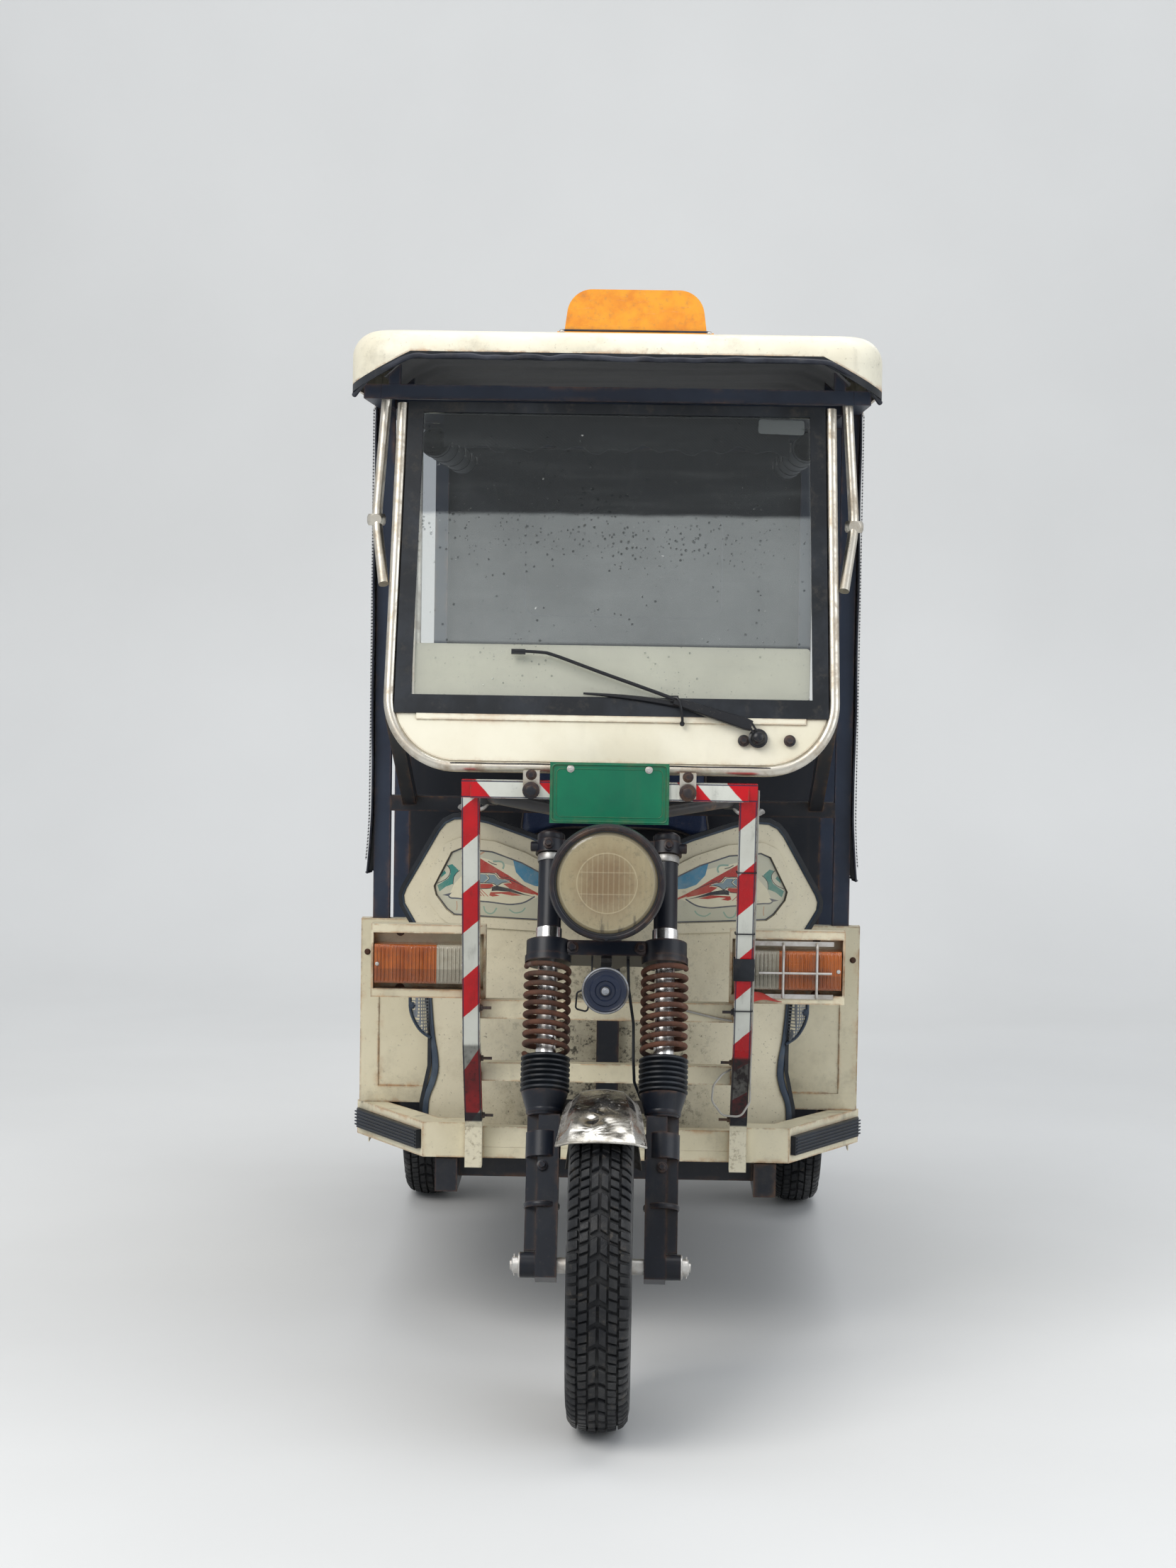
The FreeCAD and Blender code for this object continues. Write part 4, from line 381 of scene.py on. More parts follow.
@dataclass(frozen=True)
class BrightSheet(Finish):
    """Thin bright sheet: rubbed and rippled outside; road mud with painted shade underneath, behind the axle, low down
    and at the sides.
    """

    name: str
    crown: float = 0.2855

    def build(self, t: Tree) -> bpy.types.Material:
        """Makes the sheet surface."""
        y, z = t.minus(t.axis("Y"), FRONT_AXLE_Y), t.minus(t.axis("Z"), TYRE_R)
        reach = t.calc("SQRT", t.plus(t.times(y, y), t.times(z, z)))
        side = t.band(t.size(t.axis("X")), 0.03, 0.062)
        ripple = t.noise(16.0, 3, 0.5, warp=0.6)
        blot = t.noise(30.0, 7, 0.72)
        base = t.mix(t.band(blot, 0.42, 0.7, 0, 0.7), (0.5, 0.485, 0.45), (0.24, 0.215, 0.17))
        # Mud with painted shade: the inner face and the part behind the axle turn almost black, and the sides darker in
        # patches.
        back = t.band(y, 0.0, 0.06)
        under = t.band(reach, self.crown - 0.010, self.crown - 0.0165, 0.0, 0.75)
        mud = t.calc("MAXIMUM", t.times(back, 0.97), t.times(under, t.band(y, -0.15, -0.04)))
        speck = t.band(t.noise(95.0, 7, 0.75), 0.57, 0.66, 0, 0.55)
        mud = t.plus(mud, t.plus(speck, t.times(side, t.band(blot, 0.45, 0.6, 0, 0.4))), True)
        base = t.mix(mud, base, (0.03, 0.026, 0.021))
        rough = t.plus(t.times(mud, 0.6), t.band(blot, 0.3, 0.7, 0.12, 0.32), True)
        return t.finish(Base_Color=base, Roughness=rough, Metallic=t.band(mud, 0.15, 0.7, 1.0, 0.0),
                        Normal=t.bump(ripple, 0.006, 0.55, t.bump(blot, 0.0005, 0.4)))


@dataclass(frozen=True)
class RustedSteel(Finish):
    """Steel rusted all over, with scale, darker pits and rubbed brighter crests."""

    name: str
    colour: Colour = (0.11, 0.042, 0.022)
    bare: float = 0.18

    def build(self, t: Tree) -> bpy.types.Material:
        """Makes the rusted surface."""
        scale = t.noise(120.0, 8, 0.72)
        patch = t.noise(24.0, 5, 0.6)
        base = t.mix(t.band(patch, 0.3, 0.66), self.colour, tuple(c * 0.42 for c in self.colour))
        base = t.mix(t.band(scale, 0.55, 0.74, 0, 0.75), base, tuple(min(1.0, c * 1.9) for c in self.colour))
        base = t.mix(t.band(t.noise(8.0, 5, 0.6), 0.5, 0.75, 0, 0.5), base, (0.05, 0.042, 0.03))
        shine = t.times(t.band(t.noise(52.0, 6, 0.7), 0.58, 0.7), self.bare, True)
        base = t.mix(shine, base, (0.3, 0.28, 0.26))
        rough = t.band(shine, 0.0, 1.0, 0.82, 0.38)
        return t.finish(Base_Color=base, Roughness=rough, Metallic=t.band(shine, 0, 1, 0.15, 0.9),
                        Normal=t.bump(scale, 0.0008, 0.8))


@dataclass(frozen=True)
class Rubber(Finish):
    """Weathered rubber with a pale bloom, fine grain and dust."""

    name: str
    colour: Colour = (0.018, 0.02, 0.024)
    bloom: Colour = (0.07, 0.075, 0.085)
    roughness: float = 0.5
    dust: float = 0.3

    def build(self, t: Tree) -> bpy.types.Material:
        """Makes the rubber surface."""
        cloud = t.noise(9.0, 6, 0.65, warp=0.4)
        fine = t.noise(240.0, 4, 0.6)
        base = t.mix(t.band(cloud, 0.4, 0.75), self.colour, self.bloom)
        dust = t.times(t.band(t.noise(34.0, 8, 0.75), 0.5, 0.72), self.dust)
        base = t.mix(dust, base, ROAD_DIRT)
        rough = t.plus(t.times(cloud, 0.2), t.plus(dust, self.roughness - 0.1), True)
        return t.finish(Base_Color=base, Specular_IOR_Level=DULL, Roughness=rough, Normal=t.bump(fine, 0.0002, 0.5))


@dataclass(frozen=True)
class Moulding(Finish):
    """Moulded plastic or fibre skin with scuffs, stains, a slight orange peel and, where set, road splash with painted
    shade on its lower middle.
    """

    name: str
    colour: Colour
    stain: Colour = (0.36, 0.3, 0.19)
    roughness: float = 0.3
    dirt: float = 0.5
    scuffs: float = 0.3
    splash_and_shade: float = 0.0

    def build(self, t: Tree) -> bpy.types.Material:
        """Makes the moulded surface."""
        cloud = t.noise(4.0, 6, 0.62)
        lower = t.band(t.axis("Z"), 0.98, 0.35, 0.3, 1.0)
        drip = t.times(t.band(t.noise(1.0, 4, 0.5, t.stretched((30, 30, 1.8)), 0.25), 0.55, 0.75),
                      t.band(t.noise(3.0, 4, 0.6), 0.4, 0.6))
        smudge = t.band(t.noise(11.0, 8, 0.74, warp=0.4), 0.46, 0.78)
        dirt = t.times(t.plus(t.times(drip, 0.4), t.times(smudge, 0.75)), lower)
        dirt = t.times(t.plus(dirt, t.times(t.crevice(0.03), 0.8)), self.dirt, True)
        pepper = t.band(t.noise(170.0, 5, 0.75), 0.6, 0.68)
        shade = tuple(c * 0.86 for c in self.colour)
        base = t.mix(t.band(cloud, 0.35, 0.7), self.colour, shade)
        base = t.mix(dirt, base, self.stain)
        base = t.mix(t.times(pepper, self.dirt), base, ROAD_DIRT)
        # Road splash with painted shade: dark speckled spots darken the lower middle, where the rails' shade falls on
        # the shield.
        if self.splash_and_shade:
            spray_and_shade = t.times(t.band(t.size(t.axis("X")), 0.25, 0.04), t.band(t.axis("Z"), 0.80, 0.48, 0.15, 1.0))
            spots = t.plus(t.band(t.noise(75.0, 8, 0.8), 0.5, 0.62), t.band(t.noise(14.0, 6, 0.7), 0.3, 0.7, 0.35, 0.8))
            spray_and_shade = t.times(t.times(spray_and_shade, spots), self.splash_and_shade, True)
            base = t.mix(spray_and_shade, base, (0.055, 0.05, 0.04))
        scratch = t.noise(1.0, 6, 0.8, t.stretched((15, 180, 90), (0.4, 0.2, 0.9)))
        scratch = t.times(t.band(scratch, 0.62, 0.7), self.scuffs)
        base = t.mix(scratch, base, shade)
        rough = t.plus(t.times(t.calc("MAXIMUM", dirt, scratch), 0.4), self.roughness)
        relief = t.plus(t.noise(300.0, 2, 0.5), t.times(cloud, 2.0))
        return t.finish(Base_Color=base, Specular_IOR_Level=DULL, Roughness=rough,
                        Normal=t.bump(relief, 0.0003, 0.4), Coat_Weight=0.15, Coat_Roughness=0.2)


@dataclass(frozen=True)
class SafetyTape(Finish):
    """Red and white slanted safety tape round the guard frame, with dark edges, road dirt, painted shade on the lower
    legs and bare cream feet.
    """

    name: str
    bar: float = 0.235
    period: float = 0.150

    def build(self, t: Tree) -> bpy.types.Material:
        """Makes the taped tube surface: one slant on both uprights, the other way on the top bar."""
        x, y, z = t.axis("X"), t.axis("Y"), t.axis("Z")
        side = t.calc("SIGN", x)
        across = t.minus(x, t.times(side, self.bar))
        wobble = t.times(t.minus(t.noise(22.0, 3), 0.5), 0.005)
        back = t.minus(t.minus(y, FRONT_AXLE_Y + 0.235), t.times(t.minus(1.041, z), 0.2894))
        run = t.minus(z, t.times(t.plus(across, t.times(side, back)), 0.9))
        shift = t.plus(t.times(side, 0.0205), 0.8745 + self.period * 0.265)
        turn = t.calc("DIVIDE", t.minus(t.plus(shift, wobble), run), self.period)
        half = t.size(t.minus(t.calc("FRACT", turn), 0.5))
        upright = t.band(half, 0.238, 0.232)
        over = t.plus(t.plus(x, wobble), t.times(t.minus(z, 1.026), 0.9))
        top = t.band(t.size(over), 0.2115, 0.2135)
        for middle, reach in ((-0.079, 0.029), (0.055, 0.025), (0.144, 0.016)):
            away = t.size(t.minus(over, middle))
            top = t.calc("MAXIMUM", top, t.band(away, reach + 0.001, reach - 0.001))
        on_top = t.band(z, 1.0105, 1.0115)
        red = t.plus(t.times(top, on_top), t.times(upright, t.minus(1.0, on_top)))
        fade = t.noise(13.0, 6, 0.62)
        paint = t.mix(t.band(fade, 0.35, 0.7), (0.52, 0.006, 0.012), (0.36, 0.008, 0.012))
        white = t.mix(t.band(t.noise(7.0, 5, 0.6), 0.35, 0.7), (0.62, 0.63, 0.57), (0.52, 0.52, 0.46))
        base = t.mix(red, white, paint)
        line = t.size(t.minus(t.size(across), 0.0134))
        rib = t.size(t.minus(t.size(t.minus(z, 1.026)), 0.0134))
        edge = t.plus(t.times(t.band(rib, 0.0013, 0.0008), on_top),
                      t.times(t.band(line, 0.0013, 0.0008), t.minus(1.0, on_top)))
        base = t.mix(t.times(edge, 0.9), base, (0.012, 0.016, 0.045))
        lift = t.times(t.edges(0.003, 0.1), t.band(t.noise(64.0, 6, 0.72), 0.44, 0.6))
        base = t.mix(lift, base, (0.14, 0.07, 0.045))
        grit = t.noise(95.0, 8, 0.75)
        drip = t.noise(1.0, 5, 0.6, t.stretched((60.0, 60.0, 7.0)))
        # Soot with painted shade: below about 0.56 m, where the legs bend back and face down, the tape turns almost
        # black, the left leg darker than the right.
        low = t.band(t.plus(z, t.times(side, 0.008)), 0.568, 0.560)
        cloud = t.band(t.times(t.plus(drip, fade), 0.5), 0.3, 0.6, 0.8, 1.05)
        soot_and_shade = t.times(t.times(low, cloud), t.plus(t.times(side, 0.15), 0.78), True)
        film = t.plus(t.band(grit, 0.56, 0.76, 0, 0.4), t.times(t.band(drip, 0.52, 0.72), 0.22))
        dirt = t.plus(soot_and_shade, film, True)
        base = t.mix(dirt, base, (0.022, 0.018, 0.018))
        tip = t.times(t.band(z, 0.440, 0.436), t.band(z, 0.418, 0.422))
        base = t.mix(t.times(tip, 0.93), base, (0.012, 0.013, 0.018))
        bare = t.mix(t.band(grit, 0.5, 0.7), (0.66, 0.61, 0.46), (0.3, 0.25, 0.17))
        base = t.mix(t.band(z, 0.422, 0.418), base, bare)
        rough = t.plus(t.times(dirt, 0.5), t.plus(0.2, t.times(fade, 0.12)), True)
        relief = t.plus(t.times(edge, -0.5), t.plus(t.times(grit, 0.35), lift))
        return t.finish(Base_Color=base, Specular_IOR_Level=DULL, Roughness=rough, Normal=t.bump(relief, 0.0005, 0.7))


@dataclass(frozen=True)
class Pane(Finish):
    """Window glass: clear above, a grey film of reflected light below a soft line, wiped dust and rain drops."""

    name: str
    line: float = 1.492
    banner: float = 1.272
    tilt: float = math.radians(13.0)

    def build(self, t: Tree) -> bpy.types.Material:
        """Makes the rain-spotted glass."""
        height = t.plus(t.axis("Z"), t.times(t.minus(t.noise(16.0, 4), 0.5), 0.008))
        # Painted reflection: below the soft line a grey film lies over the glass.
        haze = t.times(t.band(height, self.line + 0.006, self.line - 0.004),
                      t.band(t.axis("Z"), self.banner - 0.004, self.banner + 0.004, 0.12, 1.0))
        haze = t.times(haze, t.band(t.noise(5.0, 5, 0.6), 0.25, 0.7, 0.72, 1.0))
        wet = t.band(t.size(t.minus(height, self.line - 0.03)), 0.1, 0.0)
        thick = t.plus(t.times(wet, 0.5), t.band(t.noise(9.0, 4, 0.6), 0.42, 0.7, 0.0, 0.6), True)
        size = t.times(thick, 0.3)
        depth = t.minus(size, t.cells(118.0))
        drop = t.calc("GREATER_THAN", depth, 0.0)
        dome = t.times(depth, drop)
        large = t.times(t.band(t.cells(74.0), 0.17, 0.12), t.band(t.noise(13.0, 3), 0.5, 0.58))
        wipe = t.band(t.noise(1.0, 5, 0.6, t.stretched((3.0, 3.0, 34.0), (0, 0.5, 0))), 0.45, 0.8)
        dust = t.band(t.noise(140.0, 6, 0.75), 0.56, 0.72)
        # The grey film mixes painted reflection with wiped dust and dirt at the edges.
        dust_and_reflection = t.plus(t.times(haze, 0.34), t.times(wipe, 0.04), True)
        dust_and_reflection = t.plus(dust_and_reflection, t.times(dust, 0.05), True)
        dust_and_reflection = t.plus(dust_and_reflection, t.times(t.crevice(0.02), 0.25), True)
        lean = t.times(t.minus(t.axis("Z"), 1.052), math.tan(self.tilt))
        out = t.minus(lean, t.minus(t.axis("Y"), FRONT_AXLE_Y + 0.28))
        outer = t.calc("GREATER_THAN", out, 0.0)
        dust_and_reflection = t.times(dust_and_reflection, outer)
        wetness = t.times(t.calc("MAXIMUM", drop, large), outer)
        relief = t.times(t.plus(t.times(dome, 6.0), large), outer)
        normal = t.bump(relief, 0.0011, 0.9)
        t.feed(t.shader, Base_Color=t.mix(t.times(wetness, 0.8), (0.44, 0.47, 0.46), (0.07, 0.08, 0.08)),
               Roughness=0.12, Normal=normal, Coat_Weight=1.0, Coat_Roughness=0.03)
        # Painted reflection: the glass below the line also lets less light through.
        upper = t.band(height, self.line - 0.004, self.line + 0.006)
        plain = t.mix(upper, (0.985, 0.99, 0.98), (0.66, 0.68, 0.7))
        clear = t.feed(t.add("ShaderNodeBsdfTransparent"),
                       Color=t.mix(t.times(wetness, 0.6), plain, (0.42, 0.45, 0.45)))
        gloss = t.feed(t.add("ShaderNodeBsdfGlossy"), Color=(0.9, 0.95, 0.95, 1.0), Roughness=0.03, Normal=normal)
        film = t.blend(dust_and_reflection, clear.outputs[0], t.shader.outputs[0])
        fresnel = t.feed(t.add("ShaderNodeFresnel"), IOR=1.5, Normal=normal)
        both = t.blend(t.times(fresnel.outputs[0], t.plus(t.times(outer, 0.8), 0.2)), film, gloss.outputs[0])
        t.links.new(both, t.out.inputs["Surface"])
        return t.material


@dataclass(frozen=True)
class Lens(Finish):
    """A moulded lamp lens: fine pressed flutes, yellowed depth, scratches and dirt gathered round its edge."""

    name: str
    colour: Colour
    deep: Colour
    clear: float = 0.5
    flutes: float = 0.0
    glow: float = 0.0
    split: float = 0.0

    def build(self, t: Tree) -> bpy.types.Material:
        """Makes the lens surface; split is the height below which the lens turns darker."""
        cloud = t.noise(26.0, 6, 0.66, warp=0.3)
        base = t.mix(t.band(cloud, 0.36, 0.72), self.colour, self.deep)
        relief = t.times(t.noise(130.0, 4), 0.25)
        if self.flutes:
            wave = t.calc("SINE", t.times(t.axis("X"), self.flutes * 6.283))
            base = t.mix(t.band(wave, 0.1, 0.95, 0, 0.3), base, self.deep)
            relief = t.plus(relief, wave)
        if self.split:
            low = t.band(t.axis("Z"), self.split + 0.001, self.split - 0.001)
            base = t.mix(t.times(low, 0.45), base, tuple(c * 0.4 for c in self.deep))
        dirt = t.times(t.band(t.noise(100.0, 7, 0.75), 0.5, 0.72), 0.35)
        dirt = t.plus(dirt, t.times(t.crevice(0.012), 0.75), True)
        base = t.mix(dirt, base, ROAD_DIRT)
        scratch = t.band(t.noise(1.0, 5, 0.8, t.stretched((20, 200, 260), (0.3, 0.5, 0.2))), 0.6, 0.68)
        rough = t.plus(t.times(t.plus(scratch, dirt), 0.25), 0.1, True)
        return t.finish(Base_Color=base, Roughness=rough, IOR=1.49, Transmission_Weight=self.clear,
                        Normal=t.bump(t.plus(relief, scratch), 0.0004, 0.7), Coat_Weight=0.6,
                        Emission_Color=(*self.colour, 1.0), Emission_Strength=self.glow)


@dataclass(frozen=True)
class HeadGlass(Finish):
    """The headlamp's old glass: browned middle, paler rim, painted highlights along the pressed ring, bars and flutes,
    a smear and dried dirt.
    """

    name: str
    height: float = 0.883

    def build(self, t: Tree) -> bpy.types.Material:
        """Makes the glass surface."""
        x, z = t.axis("X"), t.minus(t.axis("Z"), self.height)
        reach = t.calc("SQRT", t.plus(t.times(x, x), t.times(z, z)))
        cloud = t.noise(24.0, 6, 0.66, warp=0.4)
        wide = t.plus(reach, t.times(t.minus(cloud, 0.5), 0.05))
        base = t.mix(t.band(wide, 0.02, 0.08), (0.25, 0.165, 0.078), (0.42, 0.35, 0.2))
        # Painted highlights: pale lines on one flank of each flute, on the two pressed rings and on the two bars, where
        # light catches the ridges.
        flute = t.calc("SINE", t.times(x, 6.283 / 0.0088))
        inner = t.band(reach, 0.052, 0.049)
        base = t.mix(t.times(t.times(t.band(flute, 0.5, 0.98), inner), 0.3), base, (0.52, 0.44, 0.27))
        for radius in (0.0497, 0.0778):
            away = t.size(t.minus(reach, radius))
            base = t.mix(t.band(away, 0.0014, 0.0004, 0, 0.55), base, (0.58, 0.5, 0.31))
        for level in (-0.018, 0.018):
            away = t.size(t.minus(z, level))
            base = t.mix(t.times(t.band(away, 0.0012, 0.0004, 0, 0.4), inner), base, (0.55, 0.47, 0.29))
        smear = t.times(t.band(t.noise(1.0, 5, 0.6, t.stretched((70, 70, 9))), 0.56, 0.7), t.band(z, -0.02, -0.05))
        dust = t.band(t.noise(90.0, 8, 0.75), 0.5, 0.74, 0, 0.45)
        rim = t.band(reach, 0.074, 0.084, 0, 0.6)
        dirt = t.plus(t.calc("MAXIMUM", dust, rim), t.times(smear, 0.8), True)
        base = t.mix(dirt, base, (0.1, 0.08, 0.05))
        rough = t.plus(t.times(dirt, 0.35), 0.12, True)
        return t.finish(Base_Color=base, Roughness=rough, IOR=1.49, Transmission_Weight=0.3, Coat_Weight=0.5,
                        Normal=t.bump(t.noise(130.0, 4), 0.0003, 0.4))


@dataclass(frozen=True)
class Cloth(Finish):
    """Woven or coated fabric: a weave in both directions, creases rubbed pale, dust and damp."""

    name: str
    colour: Colour
    pale: Colour
    thread: float = 900.0
    roughness: float = 0.62
    sheen: float = 0.2
    depth: float = 0.00025

    def build(self, t: Tree) -> bpy.types.Material:
        """Makes the fabric surface."""
        across = t.plus(t.axis("X"), t.axis("Y"))
        warp = t.calc("SINE", t.times(across, self.thread * 2.0))
        weft = t.calc("SINE", t.times(t.axis("Z"), self.thread * 2.0))
        weave = t.times(warp, weft)
        cloud = t.noise(6.0, 6, 0.66, warp=0.5)
        crease = t.noise(1.0, 6, 0.65, t.stretched((22, 22, 7)), 0.8)
        base = t.mix(t.band(cloud, 0.42, 0.75, 0, 0.7), self.colour, self.pale)
        base = t.mix(t.band(weave, -0.7, 0.9, 0, 0.35), base, self.pale)
        base = t.mix(t.band(crease, 0.58, 0.68, 0, 0.5), base, self.pale)
        dust = t.times(t.band(t.noise(60.0, 8, 0.75), 0.5, 0.75), t.band(t.axis("Z"), 1.5, 0.7, 0.2, 0.7))
        base = t.mix(dust, base, ROAD_DIRT)
        rough = t.plus(t.times(cloud, 0.2), self.roughness - 0.1)
        folds = t.bump(crease, 0.004, 0.35)
        return t.finish(Base_Color=base, Specular_IOR_Level=DULL, Roughness=rough, Sheen_Weight=self.sheen,
                        Normal=t.bump(weave, self.depth, 0.6, folds))


@dataclass(frozen=True)
class Vinyl(Finish):
    """Padded seat vinyl: leather grain, rubbed crests, dark seams and fine cracks."""

    name: str
    colour: Colour
    worn: Colour

    def build(self, t: Tree) -> bpy.types.Material:
        """Makes the vinyl surface."""
        grain = t.cells(620.0, "SMOOTH_F1")
        crack = t.band(t.cells(75.0, "DISTANCE_TO_EDGE"), 0.0, 0.035, 1.0, 0.0)
        crack = t.times(crack, t.band(t.noise(9.0, 4), 0.54, 0.66))
        cloud = t.noise(7.0, 6, 0.66)
        base = t.mix(t.band(cloud, 0.4, 0.75, 0, 0.75), self.colour, self.worn)
        base = t.mix(t.band(grain, 0.35, 0.75, 0, 0.3), base, self.worn)
        base = t.mix(crack, base, (0.02, 0.015, 0.012))
        dust = t.band(t.noise(46.0, 8, 0.75), 0.56, 0.75, 0, 0.4)
        base = t.mix(dust, base, ROAD_DIRT)
        rough = t.plus(t.times(dust, 0.6), 0.34, True)
        relief = t.minus(grain, crack)
        return t.finish(Base_Color=base, Specular_IOR_Level=DULL, Roughness=rough, Normal=t.bump(relief, 0.0004, 0.6))


@dataclass(frozen=True)
class Tread(Finish):
    """Road rubber: wet dark blocks, dry scuffed crests and mud in the grooves."""

    name: str

    def build(self, t: Tree) -> bpy.types.Material:
        """Makes the tyre surface."""
        fine = t.noise(210.0, 6, 0.7)
        cloud = t.noise(18.0, 7, 0.7, warp=0.6)
        base = t.mix(t.band(cloud, 0.38, 0.72), (0.007, 0.008, 0.01), (0.026, 0.026, 0.026))
        mud = t.times(t.band(t.noise(38.0, 8, 0.76), 0.55, 0.7), 0.5)
        base = t.mix(mud, base, (0.1, 0.083, 0.064))
        wet = t.band(t.noise(9.0, 4, 0.6), 0.45, 0.6)
        rough = t.plus(t.times(wet, -0.32), t.plus(0.66, t.times(mud, 0.3)), True)
        crack = t.cells(150.0, "DISTANCE_TO_EDGE")
        relief = t.plus(fine, t.times(t.band(crack, 0, 0.06), 0.3))
        return t.finish(Base_Color=base, Specular_IOR_Level=DULL, Roughness=rough, Normal=t.bump(relief, 0.0006, 0.8))


@dataclass(frozen=True)
class Sticker(Finish):
    """Printed film: the colours of the mesh's own attribute, scuffed, dusty and yellowed at the edges."""

    name: str
    attribute: str = "Tint"

    def build(self, t: Tree) -> bpy.types.Material:
        """Makes the printed surface."""
        ink = t.add("ShaderNodeAttribute", attribute_name=self.attribute).outputs["Color"]
        cloud = t.noise(12.0, 6, 0.65)
        base = t.mix(t.band(cloud, 0.4, 0.75, 0, 0.3), ink, (0.5, 0.44, 0.3))
        worn = t.times(t.band(t.noise(1.0, 7, 0.78, t.stretched((60, 60, 26), (0, 0.7, 0))), 0.62, 0.66),
                      t.band(t.noise(6.0, 3), 0.45, 0.6))
        base = t.mix(t.times(worn, 0.7), base, (0.6, 0.56, 0.44))
        dirt = t.plus(t.band(t.noise(70.0, 7, 0.75), 0.54, 0.76, 0, 0.5), t.times(t.crevice(0.006), 0.5), True)
        base = t.mix(dirt, base, ROAD_DIRT)
        rough = t.plus(t.times(dirt, 0.5), 0.26, True)
        return t.finish(Base_Color=base, Roughness=rough, Normal=t.bump(worn, 0.0002, 0.5), Coat_Weight=0.3)


@dataclass(frozen=True)
class LeatherMesh(Finish):
    """Dark pressed mesh: a grid of holes through a thin strip."""

    name: str
    pitch: float = 0.006
    colour: Colour = (0.14, 0.16, 0.19)

    def build(self, t: Tree) -> bpy.types.Material:
        """Makes the open mesh."""
        across = t.plus(t.axis("X"), t.times(t.axis("Y"), 1.0))
        a = t.size(t.calc("SINE", t.times(across, math.pi / self.pitch)))
        b = t.size(t.calc("SINE", t.times(t.axis("Z"), math.pi / self.pitch)))
        thread = t.minus(1.0, t.band(t.calc("MINIMUM", a, b), 0.42, 0.52))
        dust = t.band(t.noise(50.0, 6, 0.7), 0.45, 0.7, 0, 0.6)
        base = t.mix(dust, self.colour, (0.3, 0.29, 0.26))
        return t.finish(Base_Color=base, Roughness=0.6, Alpha=thread, Normal=t.bump(thread, 0.0006, 0.6))


CREAM = Paint("cream_paint", (0.7, 0.64, 0.47), (0.6, 0.54, 0.38), rust=0.8, grime=0.75, chips=0.5)
WHITE = Paint("white_paint", (0.78, 0.74, 0.6), (0.7, 0.65, 0.5), roughness=0.3, rust=0.45, grime=0.35, chips=0.2)
POST = Paint("post_paint", (0.026, 0.037, 0.062), (0.017, 0.023, 0.04), roughness=0.36, rust=0.16, grime=0.25)
BLACK = Paint("frame_black", (0.011, 0.013, 0.018), (0.018, 0.02, 0.026), roughness=0.38, rust=0.16, grime=0.25)
FORK = Paint("fork_black", (0.008, 0.011, 0.018), (0.005, 0.006, 0.010), roughness=0.3, rust=0.1, grime=0.18)
CHROME = Metal("chrome", (0.66, 0.66, 0.66), 0.1, pits=0.45, film=0.6)
STAINLESS = Metal("stainless", (0.6, 0.57, 0.5), 0.2, pits=0.3, film=0.75)
STEEL = Metal("steel", (0.56, 0.55, 0.53), 0.3, pits=0.4, film=0.6)
RUBBER = Rubber("black_rubber", (0.007, 0.009, 0.012), (0.02, 0.024, 0.031), 0.44, 0.2)
SEAL = Rubber("seal_rubber", (0.007, 0.011, 0.019), (0.018, 0.025, 0.037), 0.4, 0.1)
STRIP = Rubber("strip_rubber", (0.03, 0.045, 0.07), (0.075, 0.1, 0.13), 0.36, 0.35)
BEAD = Rubber("bead_rubber", (0.012, 0.014, 0.022), (0.045, 0.05, 0.065), 0.38, 0.2)
CANVAS = Cloth("canvas", (0.016, 0.018, 0.021), (0.05, 0.053, 0.058))
LINING = Cloth("lining", (0.024, 0.025, 0.027), (0.06, 0.058, 0.056), 500.0)
SEAT = Vinyl("seat_vinyl", (0.012, 0.02, 0.05), (0.035, 0.05, 0.095))
PIPE = Vinyl("seat_piping", (0.03, 0.025, 0.022), (0.09, 0.08, 0.075))
WIPER = Moulding("wiper_black", (0.007, 0.008, 0.011), (0.03, 0.028, 0.026), 0.34, 0.4, 0.3)
GLASS = Pane("window_glass")
MESH = LeatherMesh("mesh")

